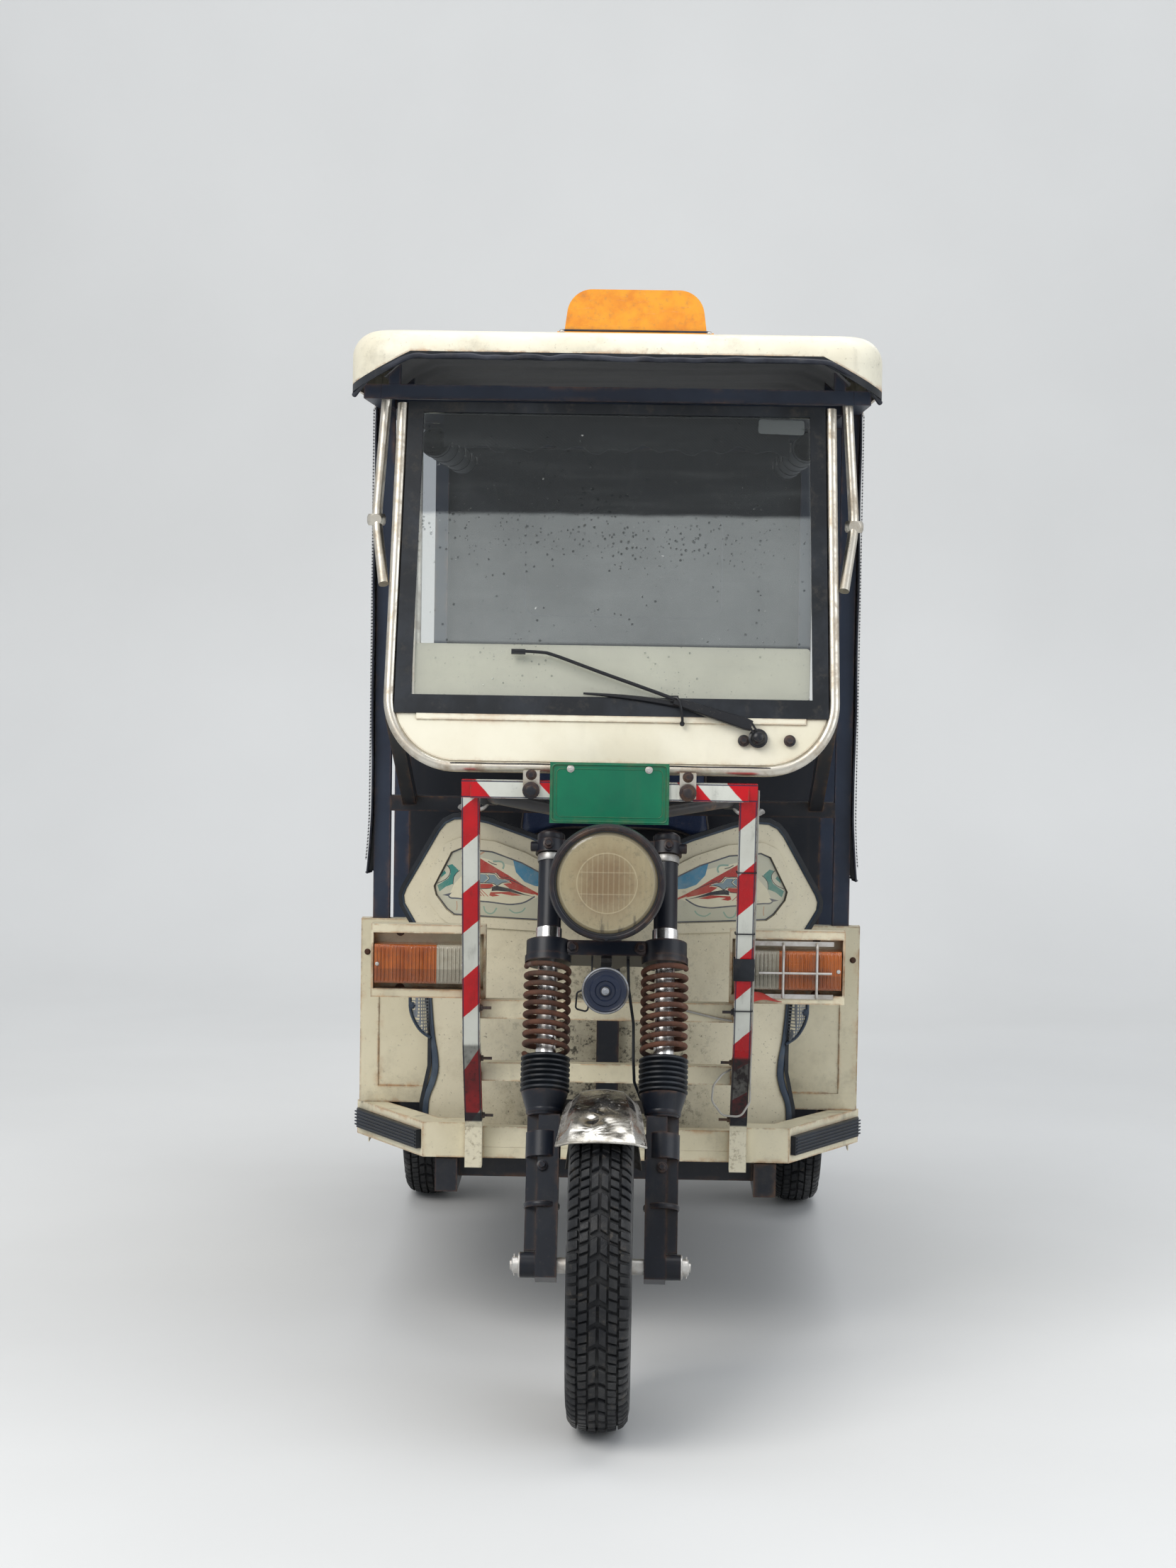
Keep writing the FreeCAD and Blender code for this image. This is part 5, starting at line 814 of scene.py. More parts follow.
FINISHES: dict[str, Finish] = {
    "tyre_rubber": Tread("tyre_rubber"),
    "wheel_paint": Paint("wheel_paint", (0.5, 0.5, 0.48), (0.4, 0.4, 0.38), 0.4, rust=0.9, grime=0.9, metal=0.5),
    "steel": STEEL,
    "fork_black": FORK,
    "black_rubber": RUBBER,
    "rusty_spring": RustedSteel("rusty_spring"),
    "chrome": CHROME,
    "black_plastic": Moulding("black_plastic", (0.018, 0.019, 0.021), (0.09, 0.08, 0.07), 0.36, 0.4, 0.4),
    "lamp_glass": HeadGlass("lamp_glass"),
    "stainless": STAINLESS,
    "frame_black": BLACK,
    "taped_paint": SafetyTape("taped_paint"),
    "plate_green": Paint("plate_green", (0.004, 0.17, 0.08), (0.006, 0.12, 0.065), 0.3, rust=0.12, grime=0.4,
                         chips=0.2),
    "wire_grey": Rubber("wire_grey", (0.3, 0.29, 0.26), (0.42, 0.4, 0.36), 0.4, 0.5),
    "cream_paint": CREAM,
    "clear_lens": Lens("clear_lens", (0.6, 0.56, 0.44), (0.45, 0.41, 0.31), 0.25, 420.0, split=0.703),
    "amber_lens": Lens("amber_lens", (0.62, 0.15, 0.012), (0.4, 0.08, 0.008), 0.25, 420.0, split=0.703),
    "cream_plastic": Moulding("cream_plastic", (0.74, 0.69, 0.54), dirt=0.6),
    "floor_steel": Metal("floor_steel", (0.36, 0.35, 0.33), 0.34, pits=0.8, film=0.9, grain=(60, 8, 60)),
    "post_paint": POST,
    "window_glass": GLASS,
    "white_paint": WHITE,
    "amber_sign": Lens("amber_sign", (0.86, 0.36, 0.015), (0.7, 0.22, 0.01), 0.15, glow=0.1),
    "battery_black": Moulding("battery_black", (0.02, 0.02, 0.022), (0.1, 0.09, 0.08), 0.42, 0.8),
    "red_lens": Lens("red_lens", (0.6, 0.02, 0.015), (0.25, 0.008, 0.006), 0.3, 300.0),
    "canvas": CANVAS,
    "cast_black": RustedSteel("cast_black", (0.035, 0.03, 0.027), 0.15),
    "leaf_steel": RustedSteel("leaf_steel", (0.07, 0.05, 0.042), 0.3),
    "seat_vinyl": SEAT,
}


NODE_FINISHES: dict[str, Finish] = {
    "roof": Paint("roof_paint", (0.78, 0.74, 0.6), (0.68, 0.63, 0.49), 0.3, rust=0.75, grime=0.8, chips=0.4,
                  low=1.6, high=2.5),
    # The shield's splash setting paints shade with road splash on its lower middle, behind the rails.
    "leg_shield": Moulding("shield_plastic", (0.68, 0.62, 0.46), dirt=0.75, splash_and_shade=0.9),
    # Near-black bar paint, darkened as painted shade for the bar's place under the top bar.
    "handlebar": Paint("bar_paint_and_shade", (0.03, 0.032, 0.036), (0.05, 0.05, 0.05), 0.3, rust=0.7, grime=0.5),
}


def linked(name: str, data: bpy.types.ID) -> bpy.types.Object:
    """A new object in the scene."""
    thing = bpy.data.objects.new(name, data)
    bpy.context.scene.collection.objects.link(thing)
    return thing


@dataclass
class Studio:
    """Pale floor and backdrop, soft light, and the photograph's camera."""

    floor_half: float = 9.0
    sweep_y: float = 4.2
    sweep_radius: float = 1.6
    wall_top: float = 7.5
    camera_place: Point = (0.083, -6.374, 1.3675)
    lens: float = 75.0
    pitch: float = math.radians(3.43)
    yaw: float = math.radians(1.075)
    roll: float = math.radians(0.9)

    def floor(self) -> bpy.types.Object:
        """Builds the floor slab with a sweep up behind the object, which is clear to a camera behind it.

        Returns:
            The floor.
        """
        mesh = bpy.data.meshes.new("studio_floor")
        rig = bmesh.new()
        rows = []
        path = [(-self.floor_half, 0.0), (self.sweep_y, 0.0)]
        path += [(self.sweep_y + self.sweep_radius * math.sin(a), self.sweep_radius - self.sweep_radius * math.cos(a))
                 for a in (math.radians(step * 9) for step in range(1, 11))]
        path += [(self.sweep_y + self.sweep_radius, self.wall_top)]
        for x in (-self.floor_half, self.floor_half):
            rows.append([rig.verts.new((x, y, z)) for y, z in path])
        for i in range(len(path) - 1):
            rig.faces.new((rows[0][i], rows[1][i], rows[1][i + 1], rows[0][i + 1])).smooth = True
        rig.to_mesh(mesh)
        rig.free()
        floor = linked("studio_floor", mesh)
        t = Tree("studio_floor")
        grain = t.noise(30.0, 4)
        floor.data.materials.append(t.finish(
            Base_Color=t.mix(t.band(t.noise(0.6, 3), 0.3, 0.7), (0.62, 0.62, 0.61), (0.66, 0.66, 0.65)),
            Roughness=t.plus(t.times(grain, 0.1), 0.55), Normal=t.bump(grain, 0.0006, 0.3)))
        behind = t.times(t.add("ShaderNodeLightPath").outputs["Is Camera Ray"],
                        t.add("ShaderNodeNewGeometry").outputs["Backfacing"])
        one_way = t.blend(behind, t.shader.outputs[0], t.add("ShaderNodeBsdfTransparent").outputs[0])
        t.links.new(one_way, t.out.inputs["Surface"])
        return floor

    def lights(self) -> None:
        """Sets a pale world that lights softly, with four panels that the camera doesn't see."""
        world = bpy.data.worlds.new("studio")
        bpy.context.scene.world = world
        world.use_nodes = True
        nodes, links = world.node_tree.nodes, world.node_tree.links
        nodes.clear()
        out = nodes.new("ShaderNodeOutputWorld")
        path = nodes.new("ShaderNodeLightPath")
        soft, seen = nodes.new("ShaderNodeBackground"), nodes.new("ShaderNodeBackground")
        soft.inputs[0].default_value, soft.inputs[1].default_value = (0.86, 0.92, 1.0, 1.0), 0.62
        seen.inputs[0].default_value, seen.inputs[1].default_value = (0.74, 0.75, 0.765, 1.0), 1.0
        mix = nodes.new("ShaderNodeMixShader")
        seen_by = path.outputs["Is Camera Ray"]
        for other in ("Is Glossy Ray", "Is Transmission Ray"):
            both = nodes.new("ShaderNodeMath")
            both.operation, both.use_clamp = "ADD", True
            links.new(seen_by, both.inputs[0])
            links.new(path.outputs[other], both.inputs[1])
            seen_by = both.outputs[0]
        links.new(seen_by, mix.inputs[0])
        links.new(soft.outputs[0], mix.inputs[1])
        links.new(seen.outputs[0], mix.inputs[2])
        links.new(mix.outputs[0], out.inputs[0])
        for name, place, aim, size, power, colour in (
                ("key_panel", (-3.4, -5.2, 5.4), (0, -0.2, 0.8), 4.0, 330.0, (1.0, 0.97, 0.93)),
                ("fill_panel", (5.0, -3.6, 3.0), (0, 0, 0.9), 4.5, 120.0, (0.93, 0.96, 1.0)),
                ("top_panel", (0.4, 0.6, 6.2), (0, 0.2, 1.0), 5.0, 180.0, (1.0, 1.0, 1.0)),
                ("rear_panel_light", (1.8, 6.2, 3.6), (0, 0.6, 1.0), 3.0, 70.0, (1.0, 1.0, 1.0))):
            data = bpy.data.lights.new(name, "AREA")
            data.shape, data.size, data.energy, data.color = "SQUARE", size, power, colour
            light = linked(name, data)
            light.location, light.visible_camera = place, False
            light.rotation_euler = (Vector(aim) - Vector(place)).to_track_quat("-Z", "Y").to_euler()

    def camera(self) -> None:
        """Places the camera so that its picture lines up with the photograph."""
        data = bpy.data.cameras.new("photo_camera")
        data.lens, data.sensor_width, data.sensor_fit = self.lens, 36.0, "AUTO"
        data.clip_start, data.clip_end = 0.1, 60.0
        camera = linked("photo_camera", data)
        camera.matrix_world = (Matrix.Rotation(-self.roll, 4, "Y") @ Matrix.Translation(self.camera_place)
                               @ Matrix.Rotation(self.yaw, 4, "Z")
                               @ Matrix.Rotation(math.pi / 2 - self.pitch, 4, "X"))
        bpy.context.scene.camera = camera

    def build(self) -> None:
        """Sets up everything that isn't the object."""
        self.floor()
        self.lights()
        self.camera()
        bpy.context.scene.view_settings.view_transform = "Standard"


def dress_frame() -> None:
    """Gives every CAD node the detailed finish of its material slot."""
    for part in frame["record"]["subparts"]:
        node = frame["nodes"][part["node"]]
        finish = NODE_FINISHES.get(part["node"]) or FINISHES[part["material_slot"]]
        for slot in node.material_slots:
            slot.material = finish.material


# Mesh helpers


class Shape:
    """A mesh under construction; every method adds one form in row metres and returns the shape."""

    def __init__(self) -> None:
        """Starts an empty mesh."""
        self.rig = bmesh.new()

    def ring(self, points: Iterable[Vector]) -> list:
        """Adds loose vertices."""
        return [self.rig.verts.new(p) for p in points]

    def loft(self, rings: Sequence[Sequence[Vector]], closed: bool = True, caps: bool = True,
             around: bool = False) -> "Shape":
        """Joins rings of equal length with quads.

        Args:
            rings: the rings of points.
            closed: whether each ring closes on itself.
            caps: whether the first and last rings are filled.
            around: whether the last ring joins the first.

        Returns:
            This shape.
        """
        made = [self.ring(r) for r in rings]
        count = len(made[0])
        spans = list(zip(made, made[1:])) + ([(made[-1], made[0])] if around else [])
        for low, high in spans:
            for i in range(count if closed else count - 1):
                j = (i + 1) % count
                self.rig.faces.new((low[i], low[j], high[j], high[i]))
        if caps and closed and not around:
            self.rig.faces.new(made[0][::-1])
            self.rig.faces.new(made[-1])
        return self

    def tube(self, path: Sequence[Vector], radius: float | Sequence[float], sides: int = 14, closed: bool = False,
             flat: float = 1.0) -> "Shape":
        """Sweeps a round or flattened section along a path.

        Args:
            path: points along the middle.
            radius: one radius, or one per point.
            sides: sides of the section.
            closed: whether the path is a loop.
            flat: the section's second half-axis as a share of the first.

        Returns:
            This shape.
        """
        path = [Vector(p) for p in path]
        count = len(path)
        radii = [radius] * count if isinstance(radius, (int, float)) else list(radius)
        rings = []
        normal = None
        for i, point in enumerate(path):
            before = path[i - 1] if i or closed else path[0]
            after = path[(i + 1) % count] if i < count - 1 or closed else path[-1]
            along = (after - before).normalized()
            if normal is None:
                guess = Vector((0, 0, 1)) if abs(along.z) < 0.9 else Vector((1, 0, 0))
                normal = along.cross(guess).cross(along).normalized()
            normal = (normal - along * normal.dot(along)).normalized()
            side = along.cross(normal)
            rings.append([point + radii[i] * (math.cos(a) * side + flat * math.sin(a) * normal) for a in turns(sides)])
        return self.loft(rings, caps=not closed, around=closed)

    def lathe(self, profile: Sequence[tuple[float, float]], centre: Vector, axis: Vector, steps: int = 48) -> "Shape":
        """Turns a profile of (along, radius) pairs about an axis; a radius of 0 closes a pole."""
        axis = axis.normalized()
        u, w = square_to(axis)
        rows = []
        for along, radius in profile:
            middle = centre + axis * along
            if radius < 1e-7:
                rows.append([self.rig.verts.new(middle)])
            else:
                rows.append(self.ring(middle + radius * (math.cos(a) * u + math.sin(a) * w) for a in turns(steps)))
        return self.skin(rows, steps)

    def skin(self, rows: Sequence[Sequence[bmesh.types.BMVert]], steps: int) -> "Shape":
        """Joins closed rows of as many steps with faces; a row of one vertex is a pole."""
        for low, high in zip(rows, rows[1:]):
            for i in range(steps):
                j = (i + 1) % steps
                if len(low) == 1 and len(high) > 1:
                    self.rig.faces.new((low[0], high[j], high[i]))
                elif len(high) == 1 and len(low) > 1:
                    self.rig.faces.new((low[i], low[j], high[0]))
                elif len(low) > 1:
                    self.rig.faces.new((low[i], low[j], high[j], high[i]))
        return self

    def prism(self, outline: Sequence[Vector], push: Vector, bevel: float = 0.0, segments: int = 2) -> "Shape":
        """Extrudes a flat outline and rounds its edges."""
        part = bmesh.new()
        low = [part.verts.new(p) for p in outline]
        high = [part.verts.new(Vector(p) + push) for p in outline]
        count = len(low)
        part.faces.new(low[::-1])
        part.faces.new(high)
        for i in range(count):
            j = (i + 1) % count
            part.faces.new((low[i], low[j], high[j], high[i]))
        return self.absorb(part, bevel, segments)

    def box(self, low: Vector, high: Vector, bevel: float = 0.0, segments: int = 2,
            turn: Matrix | None = None) -> "Shape":
        """Adds a block with rounded edges between two corners, optionally turned about its centre."""
        part = bmesh.new()
        bmesh.ops.create_cube(part, size=1.0)
        centre, size = (low + high) / 2, high - low
        turned = turn.to_4x4() if turn else Matrix.Identity(4)
        bmesh.ops.transform(part, matrix=Matrix.Translation(centre) @ turned @ Matrix.Diagonal((*size, 1)),
                            verts=part.verts)
        return self.absorb(part, bevel, segments)

    def absorb(self, part: bmesh.types.BMesh, bevel: float, segments: int) -> "Shape":
        """Bevels a small mesh and copies it into this one."""
        if bevel:
            bmesh.ops.bevel(part, geom=[e for e in part.edges if len(e.link_faces) == 2 and e.calc_face_angle(0) > 0.3],
                            offset=bevel, segments=segments, affect="EDGES", profile=0.5, clamp_overlap=True)
        bmesh.ops.recalc_face_normals(part, faces=part.faces)
        keep = bpy.data.meshes.new("absorbed")
        part.to_mesh(keep)
        part.free()
        self.rig.from_mesh(keep)
        bpy.data.meshes.remove(keep)
        return self

    def bolt(self, centre: Vector, axis: Vector, radius: float = 0.006, high: float = 0.004,
             washer: bool = True) -> "Shape":
        """Adds a hexagon head on a washer with a chamfered top."""
        axis = Vector(axis).normalized()
        if washer:
            self.lathe([(-0.0006, 0.0), (-0.0006, radius * 1.5), (radius * 0.14, radius * 1.5),
                        (radius * 0.2, radius * 1.38), (radius * 0.2, 0.0)], centre, axis, 20)
        u, w = square_to(axis)

        def hexagon(along: float, r: float) -> list[Vector]:
            return [centre + axis * along + r * (math.cos(a) * u + math.sin(a) * w)
                    for a in (math.pi / 3 * k + 0.3 for k in range(6))]

        base = radius * 0.16
        return self.loft([hexagon(base, radius), hexagon(base + high * 0.85, radius),
                          hexagon(base + high, radius * 0.82)])

    def rivet(self, centre: Vector, axis: Vector, radius: float = 0.004) -> "Shape":
        """Adds a domed head."""
        steps = [(radius * 0.55 * math.sin(a), radius * math.cos(a)) for a in (math.radians(18 * k) for k in range(5))]
        return self.lathe([(-0.0004, 0.0), (-0.0004, radius), *steps, (radius * 0.55, 0.0)], centre, Vector(axis), 16)

    def placed(self, name: str) -> bpy.types.Object:
        """Turns the working mesh into an object in the scene."""
        mesh = bpy.data.meshes.new(name)
        self.rig.to_mesh(mesh)
        self.rig.free()
        return linked(name, mesh)

    def done(self, name: str, finish: Finish, body: str = "body", slot: str | None = None,
             angle: float = 32.0, sub: int = 0) -> bpy.types.Object:
        """Makes the object: outward normals, smooth shading with sharp creases, finish and body.

        Args:
            name: the piece's name.
            finish: its finish.
            body: the CAD body it rides on.
            slot: the record's material slot; not used.
            angle: the crease angle in degrees.
            sub: levels of subdivision applied.

        Returns:
            The new object.
        """
        bmesh.ops.recalc_face_normals(self.rig, faces=self.rig.faces)
        piece = self.placed(name)
        piece.data.materials.append(finish.material)
        if sub:
            modifier = piece.modifiers.new("subdivision", "SUBSURF")
            modifier.levels = modifier.render_levels = sub
            apply_modifiers(piece)
        smooth(piece, angle)
        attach(piece, body)
        return piece


def smooth(piece: bpy.types.Object, angle: float | None = None) -> None:
    """Shades a piece smoothly, with sharp edges above a crease angle in degrees when one is given."""
    for face in piece.data.polygons:
        face.use_smooth = True
    if angle is not None:
        piece.data.set_sharp_from_angle(angle=math.radians(angle))


def apply_modifiers(piece: bpy.types.Object) -> None:
    """Bakes a piece's modifiers into its mesh."""
    bpy.context.view_layer.update()
    graph = bpy.context.evaluated_depsgraph_get()
    mesh = bpy.data.meshes.new_from_object(piece.evaluated_get(graph), preserve_all_data_layers=True, depsgraph=graph)
    mesh.name = piece.name
    piece.modifiers.clear()
    old, piece.data = piece.data, mesh
    bpy.data.meshes.remove(old)


def arc(centre: Vector, u: Vector, w: Vector, radius: float, start: float, end: float, steps: int) -> list[Vector]:
    """Points along an arc, with angles in degrees measured from u towards w."""
    return [centre + radius * (math.cos(a) * u + math.sin(a) * w)
            for a in (math.radians(start + (end - start) * k / steps) for k in range(steps + 1))]


def curve(points: Sequence[Vector], steps: int = 8, closed: bool = False) -> list[Vector]:
    """A smooth line through points (Catmull-Rom)."""
    points = [Vector(p) for p in points]
    count = len(points)
    line = []
    for i in range(count if closed else count - 1):
        a, b, c, d = (points[(i + k) % count] if closed else points[min(max(i + k, 0), count - 1)]
                      for k in (-1, 0, 1, 2))
        for k in range(steps):
            t = k / steps
            line.append(0.5 * (2 * b + (c - a) * t + (2 * a - 5 * b + 4 * c - d) * t * t
                               + (3 * b - a - 3 * c + d) * t ** 3))
    if not closed:
        line.append(points[-1])
    return line


class Repeat(Enum):
    """How copies are laid out by the repeating node group."""

    RING = "ring"
    GRID = "grid"


@dataclass
class Array:
    """Copies of one small mesh, placed by a Geometry Nodes group with named inputs and a fixed seed."""

    kind: Repeat
    count: int
    columns: int = 1
    pitch: tuple[float, float] = (0.01, 0.01)
    radius: float = 0.1
    jitter: float = 0.0
    alternate: float = 0.0
    seed: int = 7

    def group(self) -> bpy.types.NodeTree:
        """Builds the node group: index to place and turn, instances, Realize Instances, Set Material."""
        tree = bpy.data.node_groups.new(f"repeat_{self.kind.value}", "GeometryNodeTree")
        face = tree.interface
        face.new_socket("Geometry", in_out="OUTPUT", socket_type="NodeSocketGeometry")
        for name, kind in (("Piece", "Object"), ("Count", "Int"), ("Columns", "Int"), ("Pitch U", "Float"),
                           ("Pitch V", "Float"), ("Radius", "Float"), ("Jitter", "Float"), ("Alternate", "Float"),
                           ("Seed", "Int"), ("Finish", "Material")):
            face.new_socket(name, in_out="INPUT", socket_type=f"NodeSocket{kind}")
        new, link = tree.nodes.new, tree.links.new
        given, out = new("NodeGroupInput"), new("NodeGroupOutput")

        def calc(operation: str, a, b=0.0):
            node = new("ShaderNodeMath")
            node.operation = operation
            for socket, value in zip(node.inputs, (a, b)):
                if isinstance(value, (int, float)):
                    socket.default_value = value
                else:
                    link(value, socket)
            return node.outputs[0]

        index = new("GeometryNodeInputIndex").outputs[0]
        spot, turn = new("ShaderNodeCombineXYZ"), new("ShaderNodeCombineXYZ")
        if self.kind is Repeat.RING:
            angle = calc("MULTIPLY", calc("DIVIDE", index, given.outputs["Count"]), 2 * math.pi)
            link(calc("MULTIPLY", calc("SINE", angle), calc("MULTIPLY", given.outputs["Radius"], -1.0)), spot.inputs[1])
            link(calc("MULTIPLY", calc("COSINE", angle), given.outputs["Radius"]), spot.inputs[2])
            link(angle, turn.inputs[0])
        else:
            column = calc("MODULO", index, given.outputs["Columns"])
            row = calc("FLOOR", calc("DIVIDE", index, given.outputs["Columns"]))
            link(calc("MULTIPLY", column, given.outputs["Pitch U"]), spot.inputs[0])
            link(calc("MULTIPLY", row, given.outputs["Pitch V"]), spot.inputs[1])
            odd = calc("MODULO", calc("ADD", column, row), 2.0)
            link(calc("MULTIPLY", odd, given.outputs["Alternate"]), turn.inputs[2])
        points, instances = new("GeometryNodePoints"), new("GeometryNodeInstanceOnPoints")
        link(given.outputs["Count"], points.inputs["Count"])
        link(spot.outputs[0], points.inputs["Position"])
        info = new("GeometryNodeObjectInfo")
        link(given.outputs["Piece"], info.inputs["Object"])
        chance = new("FunctionNodeRandomValue")
        chance.data_type = "FLOAT"
        link(calc("SUBTRACT", 1.0, given.outputs["Jitter"]), chance.inputs[2])
        link(calc("ADD", 1.0, given.outputs["Jitter"]), chance.inputs[3])
        link(given.outputs["Seed"], chance.inputs["Seed"])
        link(points.outputs[0], instances.inputs["Points"])
        link(info.outputs["Geometry"], instances.inputs["Instance"])
        link(turn.outputs[0], instances.inputs["Rotation"])
        link(chance.outputs[1], instances.inputs["Scale"])
        real, finish = new("GeometryNodeRealizeInstances"), new("GeometryNodeSetMaterial")
        link(instances.outputs[0], real.inputs[0])
        link(real.outputs[0], finish.inputs["Geometry"])
        link(given.outputs["Finish"], finish.inputs["Material"])
        link(finish.outputs[0], out.inputs[0])
        return tree

    def lay(self, name: str, unit: Shape, finish: Finish, place: Matrix, body: str,
            angle: float = 32.0) -> bpy.types.Object:
        """Lays the copies, applies the nodes and puts the result in place.

        Args:
            name: the new piece's name.
            unit: the mesh to repeat, built about the origin.
            finish: the copies' finish.
            place: where the layout's origin goes, in row metres.
            body: the CAD body it rides on.
            angle: the crease angle in degrees.

        Returns:
            The new object.
        """
        bmesh.ops.recalc_face_normals(unit.rig, faces=unit.rig.faces)
        source = unit.placed(f"{name}_unit")
        piece = linked(name, bpy.data.meshes.new(name))
        modifier = piece.modifiers.new("repeat", "NODES")
        tree = self.group()
        modifier.node_group = tree
        values = {"Piece": source, "Count": self.count, "Columns": self.columns, "Pitch U": self.pitch[0],
                  "Pitch V": self.pitch[1], "Radius": self.radius, "Jitter": self.jitter,
                  "Alternate": self.alternate, "Seed": self.seed, "Finish": finish.material}
        for item in tree.interface.items_tree:
            if item.item_type == "SOCKET" and item.in_out == "INPUT":
                modifier[item.identifier] = values[item.name]
        apply_modifiers(piece)
        bpy.data.objects.remove(source)
        bpy.data.node_groups.remove(tree)
        piece.data.transform(place)
        smooth(piece, angle)
        if not piece.data.materials:
            piece.data.materials.append(finish.material)
        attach(piece, body)
        return piece


class Surface:
    """Ray casts onto a CAD node, to lay decals, bolts and trim on its real surface."""

    def __init__(self, node: str) -> None:
        """Builds the search tree of a node's mesh."""
        mesh = frame["nodes"][node].data
        self.tree = BVHTree.FromPolygons([v.co.copy() for v in mesh.vertices], [p.vertices[:] for p in mesh.polygons])

    def hit(self, start: Vector, way: Vector) -> tuple[Vector, Vector] | None:
        """The first point and its outward normal along a ray, or None."""
        place, normal, _, _ = self.tree.ray_cast(start, way)
        if place is None:
            return None
        return place, (normal if normal.dot(way) < 0 else -normal)


# Sub-assemblies


@dataclass
class Tyre:
    """A tyre with its carcass, sidewall rings, sipes and worn tread blocks."""

    node: str
    body: str
    centre: Vector
    count: int = 46
    crown: float = 0.2655
    groove: float = 0.2588
    half: float = 0.0525

    def top(self, x: float, level: float) -> float:
        """The radius of the crown line at a sideways place."""
        share = abs(x) / self.half
        return level - 0.0115 * share ** 2 - 0.014 * max(0.0, share - 0.72) ** 1.5 / 0.15

    def carcass(self) -> None:
        """Turns the carcass with its bead, sidewall rings and crown."""
        side = [(0.0435, 0.158), (0.0455, 0.1655), (0.0478, 0.172), (0.0472, 0.1745), (0.0498, 0.187), (0.0512, 0.2),
                (0.0519, 0.206), (0.0513, 0.2085), (0.0516, 0.215), (0.0508, 0.2265), (0.0516, 0.2285),
                (0.0508, 0.2315), (0.0497, 0.238)]
        crown = [(x, self.top(x, self.groove)) for x in (0.044, 0.036, 0.026, 0.014, 0.0)]
        half = side + crown
        profile = [*half, *[(-x, r) for x, r in half[-2::-1]], (-0.036, 0.164), (0.0, 0.168), (0.036, 0.164)]
        shape = Shape()
        rings = [[self.centre + Vector((x, -r * math.sin(a), r * math.cos(a))) for x, r in profile] for a in turns(120)]
        shape.loft(rings, around=True, caps=False)
        piece = shape.done(f"{self.node}_carcass", FINISHES["tyre_rubber"], self.body, "tyre_rubber", 28)
        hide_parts(self.node)

    def block(self, shape: Shape, x0: float, x1: float, a0: float, a1: float, skew: float) -> None:
        """Adds one tread block with chamfered edges over a span of width and angle."""
        rings = []
        for step, inset in ((0.0, 0.0018), (0.06, 0.0), (0.5, 0.0), (0.94, 0.0), (1.0, 0.0018)):
            x = x0 + (x1 - x0) * step
            low, high = self.top(x, self.groove) - 0.0012, self.top(x, self.crown)
            shift = skew * (x - x0)
            edge = 0.0011 / self.crown
            ring = []
            rim, flat = high - 0.0014 - inset * 0.3, high - inset * 0.5
            for angle, radius in ((a0 - edge, low), (a0, rim), (a0 + edge * 1.2, flat), (a1 - edge * 1.2, flat),
                                  (a1, rim), (a1 + edge, low)):
                a = angle + shift
                ring.append(Vector((x, -radius * math.sin(a), radius * math.cos(a))))
            rings.append(ring)
        shape.loft(rings)

    def tread(self) -> None:
        """Lays the tread blocks round the crown."""
        unit = Shape()
        pitch = 2 * math.pi / self.count
        for sign in (-1, 1):
            self.block(unit, sign * 0.0022, sign * 0.0135, -0.30 * pitch, 0.42 * pitch, sign * 2.2)
            self.block(unit, sign * 0.0165, sign * 0.0305, 0.02 * pitch, 0.36 * pitch, sign * 1.4)
            self.block(unit, sign * 0.0168, sign * 0.0300, 0.46 * pitch, 0.88 * pitch, sign * 1.4)
            self.block(unit, sign * 0.0335, sign * 0.0492, -0.14 * pitch, 0.26 * pitch, sign * 0.9)
            self.block(unit, sign * 0.0338, sign * 0.0480, 0.42 * pitch, 0.72 * pitch, sign * 0.9)
        Array(Repeat.RING, self.count, radius=0.0, jitter=0.0).lay(
            f"{self.node}_tread", unit, FINISHES["tyre_rubber"], Matrix.Translation(self.centre), self.body)

    def build(self) -> None:
        """Builds the whole tyre."""
        self.carcass()
        self.tread()
        valve = Shape()
        place = self.centre + Vector((0.03 if self.centre.x >= 0 else -0.03, 0.0, -0.147))
        valve.lathe([(0, 0), (0, 0.0042), (0.008, 0.0042), (0.012, 0.003), (0.026, 0.003), (0.027, 0.0042),
                     (0.034, 0.0042), (0.035, 0.0)], place, Vector((0.35 if place.x > 0 else -0.35, 0, 1)), 14)
        valve.done(f"{self.node}_valve", RUBBER, self.body)


